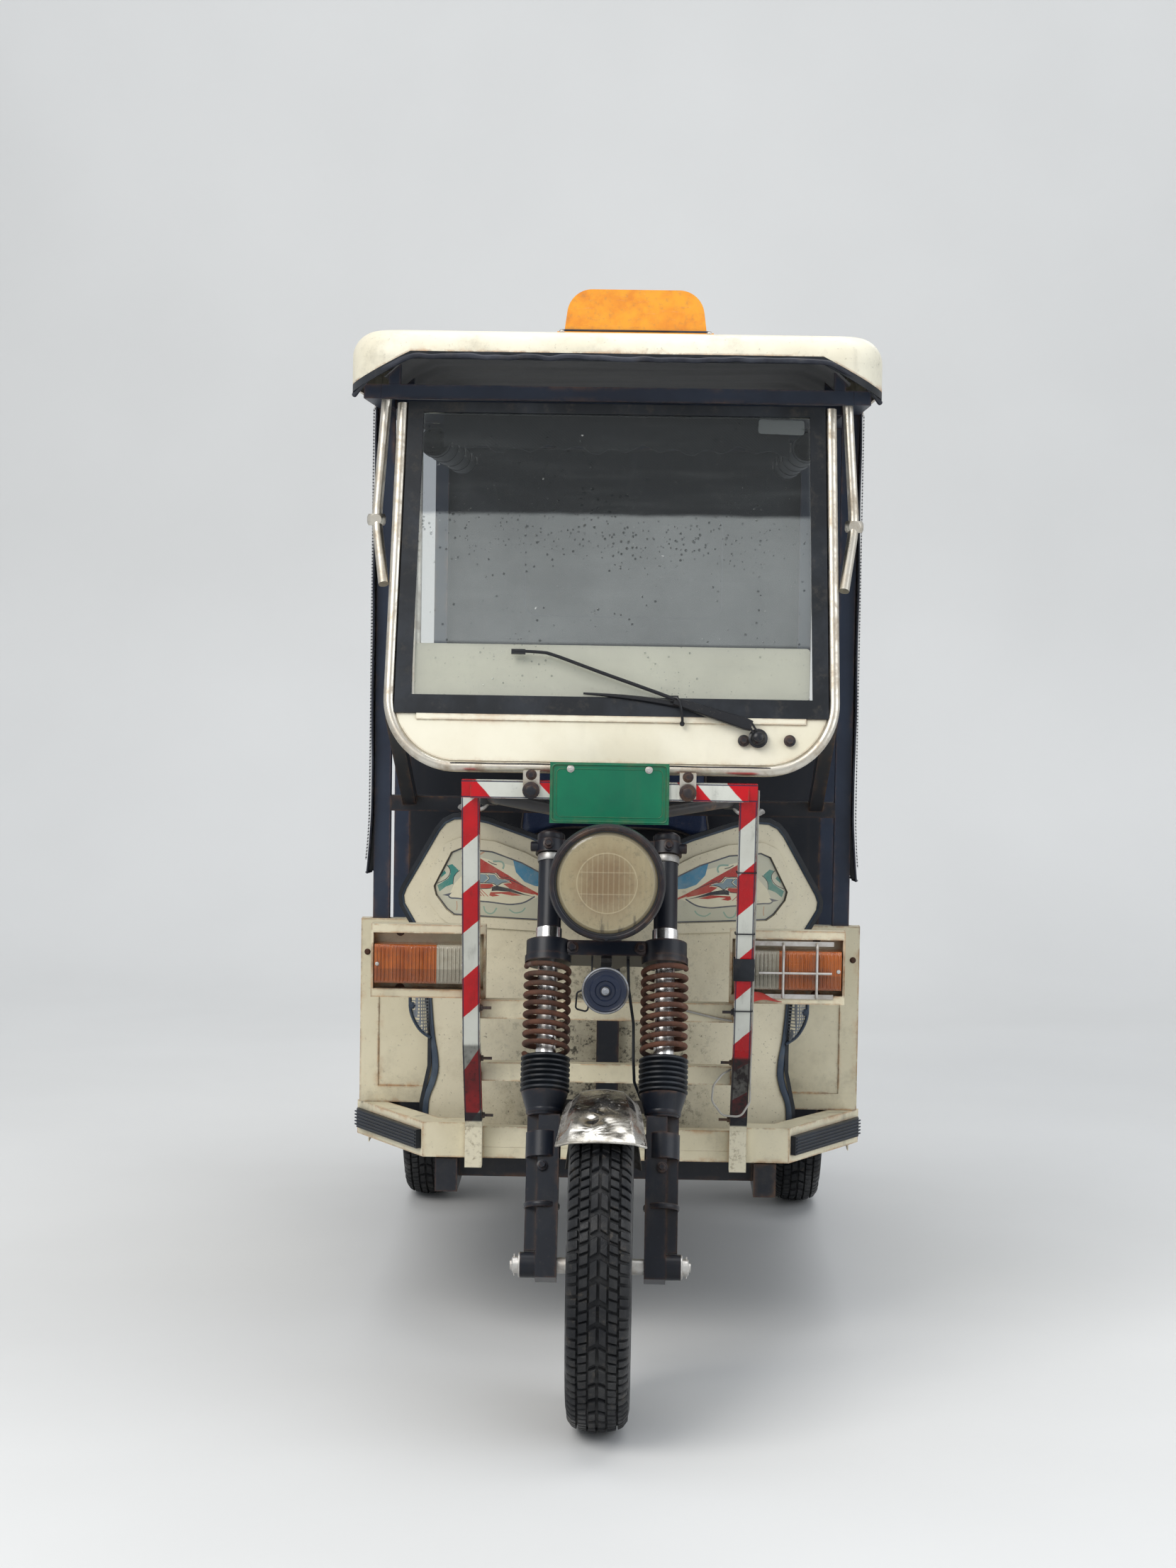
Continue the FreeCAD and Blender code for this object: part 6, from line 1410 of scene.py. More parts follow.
@dataclass
class Headlamp:
    """Fluted yellowed glass, reflector, bulb and the dark bezel's screws."""

    centre: Vector = field(default_factory=lambda: at(0, 0, HEADLAMP_Z))
    radius: float = 0.0838
    front: float = 96.0

    def glass(self) -> None:
        """Builds the domed glass with its bull's-eye ring and vertical flutes."""
        shape = Shape()
        rings, around = 46, 144
        rows = []
        for i in range(rings + 1):
            r = self.radius * i / rings
            row = []
            for k in range(around):
                a = 2 * math.pi * k / around
                x, z = r * math.cos(a), r * math.sin(a)
                share = r / self.radius
                dome = -7.0 + 10.0 * share ** 2.3
                wave = 0.5 + 0.5 * math.cos(2 * math.pi * x / 0.0088)
                inner = 1.0 if share < 0.93 else 0.0
                faint = 0.57 < share < 0.62 or abs(z) < 0.012 and share < 0.55
                flute = 0.75 * wave ** 2 * inner * (0.25 if faint else 1.0)
                ridge = 0.9 * math.exp(-((share - 0.595) / 0.018) ** 2) + 0.8 * math.exp(-((share - 0.93) / 0.014) ** 2)
                bar = 0.7 * math.exp(-((abs(z) - 0.018) / 0.0012) ** 2) * (1.0 if share < 0.57 else 0.0)
                row.append(at(x * 1000, self.front + 1.2 + dome - flute - ridge - bar, HEADLAMP_Z + z * 1000))
                if i == 0:
                    break
            rows.append(shape.ring(row))
        for along, radius in ((15.6, 0.0838), (15.6, 0.079), (7.6, 0.0778), (2.0, 0.05)):
            rows.append(shape.ring(at(radius * 1000 * math.cos(a), self.front + along,
                                      HEADLAMP_Z + radius * 1000 * math.sin(a)) for a in turns(around)))
        rows.append([shape.rig.verts.new(at(0, self.front + 0.6, HEADLAMP_Z))])
        shape.skin(rows, around)
        piece = shape.done("headlamp_glass", FINISHES["lamp_glass"], "fork", angle=50)
        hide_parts("headlamp_lens")

    def inside(self) -> None:
        """Builds the bright reflector and the bulb."""
        y = self.front
        shape = Shape()
        outer = [(17.4, 0.0785), (22, 0.073), (40, 0.0655), (60, 0.052), (80, 0.03), (88, 0.0145), (96, 0.012)]
        ring = outer + [(a - 1.1, max(0.0, r - 0.0012)) for a, r in outer[::-1]]
        rings = [[at(r * 1000 * math.cos(a), y + along, HEADLAMP_Z + r * 1000 * math.sin(a)) for along, r in ring]
                 for a in turns(72)]
        shape.loft(rings, around=True, caps=False)
        shape.done("headlamp_reflector", CHROME, "fork", "chrome")
        bulb = Shape()
        bulb.lathe([(a * MM, r) for a, r in ((58, 0.0), (58.5, 0.0035), (61, 0.0062), (66, 0.0075), (72, 0.0066),
                                             (77, 0.0055), (97, 0.0055), (97, 0.0))],
                   at(0, y, HEADLAMP_Z), Vector((0, 1, 0)), 24)
        bulb.done("headlamp_bulb", STEEL, "fork", "steel")

    def bezel(self) -> None:
        """Adds the rolled bezel edge, its screw and the two side pivots."""
        shape = Shape()
        ring = [at(90.5 * math.cos(a), self.front - 0.4, HEADLAMP_Z + 90.5 * math.sin(a)) for a in turns(96)]
        shape.tube(ring, 0.0042, 12, closed=True)
        shape.bolt(at(0, self.front - 1.0, HEADLAMP_Z - 92), FORWARD, 0.0034, 0.003, washer=False)
        for sign in (-1, 1):
            shape.bolt(at(sign * 88.5, self.front + 52, HEADLAMP_Z), Vector((sign, 0, 0)), 0.0085, 0.0055)
        shape.done("headlamp_bezel", FORK, "fork", "fork_black")

    def build(self) -> None:
        """Builds the headlamp's visible pieces."""
        self.glass()
        self.inside()
        self.bezel()


@dataclass
class Mudguard:
    """Bright folded mudguard: narrow over the legs, flared and faceted in front, dented, with a rolled lip."""

    crown: float = 286.5
    ahead: float = 36.0
    behind: float = 64.0

    def widths(self, angle: float) -> tuple[float, float]:
        """Half widths of the flat top and of the skirt at an angle ahead of the wheel's top."""
        front = max(0.0, (angle + 4) / 40) ** 0.9 if angle > -4 else 0.0
        back = max(0.0, (-angle - 44) / 20)
        return 33 + 20 * front + 5 * back, 54 + 17.5 * front + 10 * back

    def point(self, angle: float, x: float, radius: float) -> Vector:
        """A point at an angle ahead of the wheel's top."""
        a = math.radians(angle)
        return at(x, -radius * math.sin(a), 266 + radius * math.cos(a))

    def build(self) -> None:
        """Builds the sheet, its lip, its strap and the bolts."""
        rng = random.Random(5)
        dents = [(rng.uniform(-50, 34), rng.uniform(-40, 40), rng.uniform(9, 17), rng.uniform(-2.2, 1.1))
                 for _ in range(16)]
        dents += [(24, -16, 8, -2.4), (26, 12, 9, -2.6), (17, 2, 9, 1.6), (31, 30, 7, -1.8), (30, -36, 7, -1.6)]
        shape, rows = Shape(), []
        steps = 84
        for i in range(steps + 1):
            angle = self.ahead - (self.ahead + self.behind) * i / steps
            flat, wide = self.widths(angle)
            drop = 22.0 - 12.0 * max(0.0, (angle - 24) / 12) ** 1.6
            line = [(-wide, self.crown - drop)]
            line += [(-flat - (wide - flat) * (1 - k / 7), self.crown - 3 - (drop - 3) * (1 - k / 7))
                     for k in range(1, 7)]
            line += [(-flat + 2 * flat * k / 26, self.crown - 3 + 3.5 * math.sin(math.pi * k / 26)) for k in range(27)]
            line += [(-x, r) for x, r in line[6:0:-1]] + [(wide, self.crown - drop)]
            row = []
            for x, r in line:
                push = sum(depth * math.exp(-((angle - a) ** 2 * 25 + (x - c) ** 2) / (size * size))
                           for a, c, size, depth in dents)
                row.append(self.point(angle, x, r + push * (1.0 if abs(x) < wide - 2 else 0.3)))
            rows.append(row)
        hub = [at(p.x * 1000, 0, 266) for p in rows[0]]
        under = [[p + (h - p).normalized() * 0.0016 for p, h in zip(row, hub)] for row in rows]
        shape.loft([row + low[::-1] for row, low in zip(rows, under)])
        shape.tube(rows[0], 0.0021, 10)
        for edge in (0, -1):
            shape.tube([row[edge] for row in rows], 0.0016, 8)
        behind = 39.6
        shape.box(Vector((-0.112, 0, 0)), Vector((0.112, 0.004, 0.022)), 0.0012, 2)
        strap = [v for v in shape.rig.verts if abs(v.co.z) < 0.03 and abs(v.co.y) < 0.01]
        place = Matrix.Translation(on_leg(0, behind, 264)) @ Matrix.Rotation(-RAKE, 4, "X")
        bmesh.ops.transform(shape.rig, matrix=place, verts=strap)
        ahead = on_leg(0, -1, 0) - on_leg(0, 0, 0)
        for sign in (-1, 1):
            shape.bolt(on_leg(sign * 30, behind, 275), ahead, 0.0048, 0.0035)
        piece = shape.done("front_mudguard_sheet", BrightSheet("bright_sheet"), "fork", "stainless", 38)
        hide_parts("front_mudguard")


@dataclass
class ForkTrim:
    """Fasteners, bands and the horn's face on the steering fork."""

    leg: float = 98.0

    def bands(self) -> None:
        """Adds the bright bands and cup rims on the ears, and the rings on the lower legs."""
        bright, dark = Shape(), Shape()
        up, ahead = Vector((0, math.sin(RAKE), math.cos(RAKE))), on_leg(0, -1, 0) - on_leg(0, 0, 0)
        for sign in (-1, 1):
            x = sign * self.leg
            bright.lathe([(0, 0.0205), (0, 0.0216), (0.0012, 0.0222), (0.0118, 0.0222), (0.013, 0.0216),
                          (0.013, 0.0205)], on_leg(x, 0, 686), up, 40)
            for s, high, radius in ((250, 12, 0.0292), (92, 9, 0.0288)):
                dark.lathe([(0, 0.026), (0, radius), (0.002, radius + 0.0012), (high * MM - 0.002, radius + 0.0012),
                            (high * MM, radius), (high * MM, 0.026)], on_leg(x, 0, s), up, 36)
            dark.lathe([(0, 0.0), (0, 0.0215), (0.003, 0.0232), (0.012, 0.0232), (0.016, 0.019), (0.0175, 0.0)],
                       on_leg(x, 0, 722.2), up, 32)
            dark.lathe([(-0.014, 0.0), (-0.014, 0.0085), (0.006, 0.0085), (0.0075, 0.007), (0.0075, 0.0)],
                       on_leg(x + sign * 27, -6, 712), Vector((sign, 0, 0)), 24)
            dark.bolt(on_leg(x + sign * 4, -28.5, 711), ahead, 0.006, 0.005)
            dark.bolt(on_leg(sign * 58, -16.4, 533), ahead, 0.0075, 0.006)
            dark.bolt(on_leg(x, -26.6, 160), ahead, 0.006, 0.005)
        bright.done("ear_bands", Metal("band_steel", (0.34, 0.34, 0.33), 0.32, pits=0.5, film=0.9), "fork", "chrome")
        dark.done("fork_fasteners", FORK, "fork", "fork_black")

    def axle_nuts(self) -> None:
        """Adds the large axle nuts with washers and split pins."""
        shape = Shape()
        for sign in (-1, 1):
            shape.bolt(at(sign * 131, 0, 266), Vector((sign, 0, 0)), 0.0135, 0.011)
            shape.tube([at(sign * 140, 0, 248), at(sign * 140, 0, 284)], 0.0013, 8)
        shape.done("axle_nuts", STEEL, "fork", "steel")

    def horn_face(self) -> None:
        """Adds the horn's dull rim, pressed rings and centre screw."""
        y = on_leg(0, 0, 520).y * 1000 - FRONT_AXLE_Y * 1000 - 92
        rim, face = Shape(), Shape()
        rim.tube([at(37.2 * math.cos(a), y + 1.5, HORN_Z + 37.2 * math.sin(a)) for a in turns(72)], 0.0021, 10,
                 closed=True)
        rim.bolt(at(0, y - 6.4, HORN_Z), FORWARD, 0.0042, 0.003)
        face.lathe([(-0.0004, 0.0), (-0.0004, 0.0352), (0.0016, 0.0352), (0.0024, 0.0335), (0.0012, 0.031),
                    (0.001, 0.0265), (0.0032, 0.0245), (0.0034, 0.0175), (0.0012, 0.0155), (0.0012, 0.0105),
                    (0.0036, 0.0085), (0.0036, 0.0)], at(0, y, HORN_Z), FORWARD, 64)
        rim.done("horn_rim", Metal("horn_ring", (0.3, 0.32, 0.35), 0.3, pits=0.6, film=0.95), "fork", "chrome")
        face.done("horn_face", Moulding("horn_navy", (0.01, 0.016, 0.036), (0.06, 0.06, 0.055), 0.3, 0.3), "fork",
                  "black_plastic")

    def build(self) -> None:
        """Builds the fork's trim."""
        self.bands()
        self.axle_nuts()
        self.horn_face()


class Tint(Enum):
    """Colours of the printed wing decals."""

    PALE = (0.5, 0.49, 0.38)
    LIGHT = (0.68, 0.63, 0.46)
    TEAL = (0.026, 0.2, 0.17)
    MINT = (0.24, 0.37, 0.3)
    RED = (0.4, 0.024, 0.014)
    SKY = (0.03, 0.2, 0.34)
    STEEL = (0.17, 0.25, 0.29)
    SLATE = (0.06, 0.07, 0.1)
    INK = (0.008, 0.009, 0.018)
    CORAL = (0.46, 0.27, 0.17)
    BROWN = (0.08, 0.045, 0.026)


DECAL_EDGE = ((112, 767), (112, 847), (160, 871), (214, 889), (272, 893), (289, 885), (321, 822), (317, 806),
              (297, 781), (283, 771))
DECAL_SHAPES: tuple[tuple[Tint, float, tuple], ...] = (
    (Tint.LIGHT, 0, ((294, 804), (276, 801), (219, 797), (182, 794), (152, 800), (112, 816), (112, 850), (239, 878),
        (284, 827))),
    (Tint.TEAL, 0, ((312, 814), (315, 823), (306, 829), (295, 837), (291, 845), (292, 854), (297, 860),
        (288, 863), (280, 856), (276, 852), (284, 840), (286, 827), (300, 821), (311, 812))),
    (Tint.TEAL, 0, ((309, 837), (299, 846), (302, 851), (308, 845))),
    (Tint.SLATE, 0, ((306, 806), (288, 811), (294, 804))),
    (Tint.SKY, 0, ((177, 877), (159, 870), (136, 858), (115, 846), (115, 827), (136, 829), (155, 836),
        (171, 853))),
    (Tint.RED, 0, ((239, 877), (183, 846), (159, 831), (136, 819), (115, 809), (115, 806), (136, 814),
        (171, 824), (183, 837), (199, 841), (207, 850), (239, 850), (256, 852), (260, 864))),
    (Tint.STEEL, 0, ((240, 847), (227, 847), (221, 840), (230, 832), (240, 831))),
    (Tint.STEEL, 0, ((223, 847), (210, 847), (203, 839), (182, 837), (195, 833), (205, 828), (212, 832),
        (226, 832), (218, 840))),
    (Tint.RED, 0, ((240, 829), (214, 830), (211, 827), (218, 822), (240, 821))),
    (Tint.INK, 0, ((214, 825), (205, 827), (182, 823), (153, 813), (136, 809), (168, 814), (182, 817),
        (205, 818), (215, 817))),
    (Tint.RED, 0, ((194, 831), (182, 833), (159, 826), (136, 813), (159, 817), (182, 823))),
    (Tint.RED, 0, ((217, 815), (182, 817), (159, 811), (177, 810), (197, 813), (209, 812), (200, 809),
        (213, 807), (219, 809))),
    (Tint.INK, 1.3, ((315, 827), (301, 834), (293, 843), (292, 853), (298, 861))),
    (Tint.INK, 1.2, ((286, 826), (285, 839), (280, 847), (274, 852))),
    (Tint.SLATE, 2.6, ((294, 804), (289, 801), (276, 801), (239, 798), (219, 797), (197, 795), (182,
        794), (165, 796), (152, 800), (136, 810))),
    (Tint.CORAL, 3.0, ((240, 881), (232, 886), (222, 894))),
    (Tint.BROWN, 2.0, ((240, 905), (224, 899), (206, 893))),
    (Tint.MINT, 3.2, ((213, 871), (198, 871), (193, 865), (195, 858))),
    (Tint.INK, 1.4, ((222, 871), (214, 867), (206, 865))),
    (Tint.INK, 1.4, ((240, 849), (210, 849), (201, 840), (182, 839), (153, 827))),
    (Tint.INK, 1.3, ((226, 847), (219, 840), (228, 832))),
    (Tint.INK, 1.4, ((240, 831), (213, 831), (205, 827), (195, 833), (180, 835))),
    (Tint.INK, 1.3, ((240, 820), (217, 822), (210, 826))),
    (Tint.INK, 1.2, ((207, 851), (197, 843), (183, 843))),
    (Tint.RED, 1.2, ((238, 818), (228, 807))),
    (Tint.RED, 1.2, ((234, 819), (221, 807))),
    (Tint.RED, 1.2, ((239, 814), (233, 807))),
    (Tint.MINT, 2.6, ((229, 789), (226, 780), (219, 776), (211, 778), (205, 787))),
    (Tint.MINT, 2.2, ((182, 785), (172, 779), (159, 782), (153, 789))),
    (Tint.CORAL, 1.6, ((279, 796), (278, 786), (279, 779))),
)


@dataclass
class FrontTrim:
    """Plate, fasteners, decals, mesh grilles and dark side strips of the front."""

    shield: Surface = field(default_factory=lambda: Surface("leg_shield"))

    def plate(self) -> None:
        """Adds the number plate's embossed rim and its two bolts."""
        face = 250.0 - 15.0 - 0.3 - 2.5
        rim = Shape()
        for inset, radius, proud in ((3.2, 1.3, 1.6), (11.0, 0.75, 0.1)):
            w, h, c = 100.5 - inset, 51.5 - inset, 8.0
            path = []
            for sx, sz, start in QUARTERS:
                centre = at(sx * (w - c), face - proud, 1022.5 + sz * (h - c))
                path += arc(centre, Vector((1, 0, 0)), Vector((0, 0, 1)), c * MM, start, start + 90, 6)
            rim.tube(path, radius * MM, 8, closed=True)
        rim.done("plate_rim", FINISHES["plate_green"], "body", "plate_green")
        bolts = Shape()
        for x in (-66, 66):
            bolts.bolt(at(x, face - 0.2, 1063), FORWARD, 0.0042, 0.003)
        bolts.done("plate_bolts", STEEL, "body", "steel")

    def clamps(self) -> None:
        """Adds the black bolts and lips of the brackets between the top bar and the windscreen."""
        shape = Shape()
        y = 250 - 15 - 0.3
        for sign in (-1, 1):
            shape.bolt(at(sign * 132, y - 12, 1026), FORWARD, 0.0098, 0.006)
            shape.lathe([(0, 0), (0, 0.0115), (0.0085, 0.0115), (0.0095, 0.0105), (0.0095, 0)],
                        at(sign * 132, y - 3.2, 1026), FORWARD, 28)
            shape.bolt(at(sign * 132, y - 3.4, 1052), FORWARD, 0.0062, 0.006)
        shape.done("clamp_bolts", BLACK, "body", "frame_black")

    def guard_bolts(self) -> None:
        """Adds the bolts through the uprights, the bolts into the rails and the black band."""
        shape = Shape()
        for sign in (-1, 1):
            for z, y in ((640, 352), (545, 402), (432, 480)):
                inner = at(sign * 219.6, y, z)
                shape.bolt(inner, Vector((-sign, 0, 0)), 0.0052, 0.0045)
                shape.tube([inner, inner + Vector((-sign * 0.02, 0, 0))], 0.0026, 10)
        shape.done("guard_bolts", BLACK, "body", "frame_black")
        band = Shape()
        y = guard_y(716)
        lean = math.atan2(GUARD_FOOT[0] - GUARD_TOP[0], GUARD_TOP[1] - GUARD_FOOT[1])
        path = []
        for sx, sy, start in QUARTERS:
            path += [(GUARD_X + sx * 15.4 + 1.2 * math.cos(math.radians(a)),
                      sy * 15.4 + 1.2 * math.sin(math.radians(a))) for a in range(start, start + 91, 30)]
        rings = []
        for out, rise in ((0.0, -20), (1.3, -19), (1.6, -6), (1.2, 0), (1.7, 7), (1.3, 19), (0.0, 20)):
            ring = []
            for px, py in path:
                dx, dy = px - GUARD_X, py
                grow = 1 + out / 16
                ring.append(at(GUARD_X + dx * grow, y + dy * grow / math.cos(lean) - rise * math.tan(lean), 716 + rise))
            rings.append(ring)
        band.loft(rings, caps=False)
        band.loft([rings[0], [at(GUARD_X + (p.x * 1000 - GUARD_X) * 0.93, (p.y - FRONT_AXLE_Y) * 1000, p.z * 1000)
                              for p in rings[0]]], caps=False)
        band.done("guard_band", RUBBER, "body")

    def panel_fasteners(self) -> None:
        """Adds the bolts of trays and panels, lens screws and lens ribs."""
        dark, rusty, clear = Shape(), Shape(), Shape()
        for sign in (-1, 1):
            for x, z in ((250, 763), (363, 763)):
                dark.bolt(at(sign * x, 411.9, z), FORWARD, 0.0048, 0.0035)
            rusty.bolt(at(sign * 363, 411.9, 664), FORWARD, 0.0058, 0.004)
            rusty.bolt(at(sign * 448, 739.8, 690), FORWARD, 0.0038, 0.003)
            for x in (250, 400):
                clear.bolt(at(sign * x, 371.8, 711), FORWARD, 0.0036, 0.0016, washer=False)
        dark.done("tray_bolts", BLACK, "body", "frame_black")
        rusty.done("panel_bolts", FINISHES["rusty_spring"], "body", "rusty_spring")
        clear.done("lens_screws", STEEL, "body", "steel")
        for node, x0, x1, finish in (("lamp_clear", 247, 297, "clear_lens"), ("lamp_amber", 297, 405, "amber_lens")):
            ribs = Shape()
            for sign in (-1, 1):
                count = int((x1 - x0 - 8) / 6.5)
                for k in range(count + 1):
                    x = sign * (x0 + 4 + k * (x1 - x0 - 8) / count)
                    ribs.tube(curve([at(x, 373.0, 681), at(x, 371.4, 688), at(x, 371.2, 711), at(x, 371.4, 734),
                                     at(x, 373.0, 741)], 4), 0.0011, 8)
            ribs.done(f"{node}_ribs", FINISHES[finish], "body")

    @staticmethod
    def inside(x: float, z: float, outline: Sequence[tuple[float, float]]) -> bool:
        """Tells whether a flat point lies inside a closed outline."""
        hit = False
        for (x0, z0), (x1, z1) in zip(outline, [*outline[1:], outline[0]]):
            if (z0 > z) != (z1 > z) and x < (x1 - x0) * (z - z0) / (z1 - z0) + x0:
                hit = not hit
        return hit

    @staticmethod
    def stroke(points: Sequence[tuple[float, float]], width: float) -> list[tuple[float, float]]:
        """The outline of a line drawn with a width, both in millimetres."""
        line = [Vector((*p, 0)) for p in points]
        if len(points) > 2:
            line = curve(line, 3)
        left, right = [], []
        for i, here in enumerate(line):
            run = (line[min(i + 1, len(line) - 1)] - line[max(i - 1, 0)]).normalized()
            side = Vector((-run.y, run.x, 0)) * width * 0.5
            left.append(here + side)
            right.append(here - side)
        return [(p.x, p.y) for p in left + right[::-1]]

    def decal(self, sign: int) -> None:
        """Lays one printed decal on a wing's recess, following the real surface."""
        shapes = [(tint, self.stroke(points, width) if width else points) for tint, width, points in DECAL_SHAPES]
        ring = [*DECAL_EDGE, DECAL_EDGE[0]]
        for a, b in zip(ring, ring[1:]):
            shapes.append((Tint.SLATE, self.stroke((a, b), 4.6)))
        flat = [Vector((112 + 7 * i, 767 + 7 * k)) for i in range(31) for k in range(19)
                if self.inside(112 + 7 * i, 767 + 7 * k, DECAL_EDGE)]
        edges = []
        for outline in [DECAL_EDGE, *(points for _, points in shapes)]:
            first = len(flat)
            for (x0, z0), (x1, z1) in zip(outline, [*outline[1:], outline[0]]):
                steps = max(1, int(math.hypot(x1 - x0, z1 - z0) / 7))
                flat += [Vector((x0 + (x1 - x0) * k / steps, z0 + (z1 - z0) * k / steps)) for k in range(steps)]
            edges += [(i, i + 1 if i + 1 < len(flat) else first) for i in range(first, len(flat))]
        places, _, faces, *_ = delaunay_2d_cdt(flat, edges, [], 0, 0.01)
        shape = Shape()
        layer = shape.rig.loops.layers.float_color.new("Tint")
        verts: dict[int, bmesh.types.BMVert] = {}
        for face in faces:
            x = sum(places[i].x for i in face) / len(face)
            z = sum(places[i].y for i in face) / len(face)
            if not self.inside(x, z, DECAL_EDGE):
                continue
            for i in face:
                if i not in verts:
                    found = self.shield.hit(at(sign * places[i].x, 300, places[i].y), Vector((0, 1, 0)))
                    if found:
                        verts[i] = shape.rig.verts.new(found[0] + Vector((0, -0.0006, 0)))
            if any(i not in verts for i in face):
                continue
            made = shape.rig.faces.new([verts[i] for i in (face if sign > 0 else face[::-1])])
            tint = next((tint for tint, outline in reversed(shapes) if self.inside(x, z, outline)), Tint.PALE)
            for loop in made.loops:
                loop[layer] = (*tint.value, 1.0)
        side = side_of(sign)
        shape.done(f"wing_decal_{side}", Sticker(f"wing_decal_{side}"), "body", "cream_plastic", 60)

    def side_strips(self) -> None:
        """Adds the blue-grey strip beside the shield: a bulging mesh grille above, then a long S down."""
        edge = ((331, 656), (329, 617), (323, 552), (316.5, 515), (315, 486), (321, 460), (330, 438), (334, 415),
                (334.5, 352))
        for sign, side in ((1, "left"), (-1, "right")):
            line = curve([Vector((x, 0, z)) for x, z in edge], 7)
            shape, rings = Shape(), []
            for i, point in enumerate(line):
                share = i / (len(line) - 1)
                wide = 12.5 + 3.5 * max(0.0, share - 0.6) / 0.4
                base = shield_y(point.x) - 1.2
                ring = []
                for dx, dy in ((-0.5, 1.5), (-0.5, -1.6), (-0.42, -3.2), (-0.2, -4.0), (0.0, -4.2), (0.2, -4.0),
                               (0.42, -3.2), (0.5, -1.6), (0.5, 1.5)):
                    x = point.x + dx * wide
                    ring.append(at(sign * x, base + dx * 5 + dy, point.z))
                rings.append(ring)
            shape.loft(rings)
            shape.done(f"side_strip_{side}", STRIP, "body", "black_rubber")
            loop = curve([Vector((x, 0, z)) for x, z in ((331, 672), (349, 664), (360, 640), (362, 610), (360, 590),
                                                         (352, 571), (341, 556), (324, 544))], 8)
            rim = Shape()
            depth = 655.0
            rim.tube([at(sign * p.x, depth, p.z) for p in loop], 0.0056, 12, flat=0.55)
            rim.bolt(at(sign * 358, depth - 4.5, 603), FORWARD, 0.0044, 0.0032)
            rim.done(f"grille_rim_{side}", STRIP, "body", "black_rubber")
            net = Shape()
            columns = 9
            rows = []
            for p in loop:
                rows.append([at(sign * (328 + (p.x - 328) * k / columns), depth + 1.5
                                - 11 * math.sin(math.pi * k / columns) * min(1.0, (p.x - 320) / 26), p.z)
                             for k in range(columns + 1)])
            for shift in (0.0, 0.0012):
                push = Vector((0, shift, 0))
                net.loft([[p + push for p in row] for row in rows], closed=False)
            net.done(f"grille_mesh_{side}", MESH, "body", "black_rubber")

    def edging(self) -> None:
        """Runs the dark blue edging round the leg shield's outline, down to the strips."""
        edge = ((60, 882), (145, 918), (222, 943), (262, 950), (286, 948), (303, 939), (315, 924), (376, 816),
                (381, 802), (379, 786), (347, 734), (328, 655))
        shape = Shape()
        for sign in (-1, 1):
            path = []
            for a, b in zip(edge, edge[1:]):
                for k in range(6):
                    x, z = a[0] + (b[0] - a[0]) * k / 6, a[1] + (b[1] - a[1]) * k / 6
                    path.append(at(sign * x, shield_y(x) - 0.4, z))
            shape.tube(path, 0.0042, 10)
        shape.done("shield_edging", STRIP, "body", "black_rubber", 60)

    def scrap(self) -> None:
        """Adds the torn red ribbon end that hangs from the black band on the guard's right bar."""
        shape = Shape()
        rings = []
        for k in range(25):
            s = k / 24
            wide = 0.0088 * (1 - s) ** 0.7 + 0.0006
            middle = at(251 + 52 * s, 371 + 10 * math.sin(s * 2.2), 664 - 5 * s + 3 * math.sin(s * 5))
            tilt = 0.3 + 1.1 * s
            up = Vector((0, math.sin(tilt), math.cos(tilt)))
            out = Vector((0, -math.cos(tilt), math.sin(tilt)))
            rings.append([middle + up * wide, middle + out * 0.0007 + up * wide * 0.3, middle - up * wide,
                          middle - out * 0.0007 - up * wide * 0.3])
        shape.loft(rings)
        shape.done("ribbon_scrap", Cloth("ribbon_red", (0.42, 0.012, 0.012), (0.6, 0.07, 0.05), 1500.0, 0.5), "body",
                   "taped_paint", 60)

    def rubber_ribs(self) -> None:
        """Adds lengthwise ribs on the bumper's swept rubber strips."""
        shape = Shape()
        run = Vector((465 - 327, 762 - 521, 0)).normalized()
        out = Vector((run.y, -run.x, 0))
        for sign in (-1, 1):
            for z in (368, 374, 380, 386, 392):
                a = Vector((327, 521, z)) + run * 10 + out * 10.2
                b = Vector((465, 762, z)) - run * 12 + out * 10.2
                shape.tube([at(sign * (a.x + (b.x - a.x) * k / 12), a.y + (b.y - a.y) * k / 12, z) for k in range(13)],
                           0.0016, 8)
        shape.done("bumper_ribs", SEAL, "body", "black_rubber")

    def held_wires(self) -> None:
        """Adds the black cable ties that hold the thin lead to the right guard bar."""
        shape = Shape()
        for z in (888, 780, 642):
            y = guard_y(z)
            path = []
            for sx, sy, start in QUARTERS:
                path += [at(GUARD_X + sx * 15.3 + 1.2 * math.cos(math.radians(a)),
                            y + (sy * 15.3 + 1.2 * math.sin(math.radians(a))) / math.cos(0.28), z)
                         for a in range(start, start + 91, 30)]
            shape.tube(path, 0.0011, 8, closed=True, flat=1.0)
        shape.done("cable_ties", RUBBER, "body")

    def build(self) -> None:
        """Builds all the front's trim."""
        self.plate()
        self.clamps()
        self.guard_bolts()
        self.panel_fasteners()
        for sign in (-1, 1):
            self.decal(sign)
        self.side_strips()
        self.rubber_ribs()
        self.held_wires()
        self.scrap()
        self.edging()


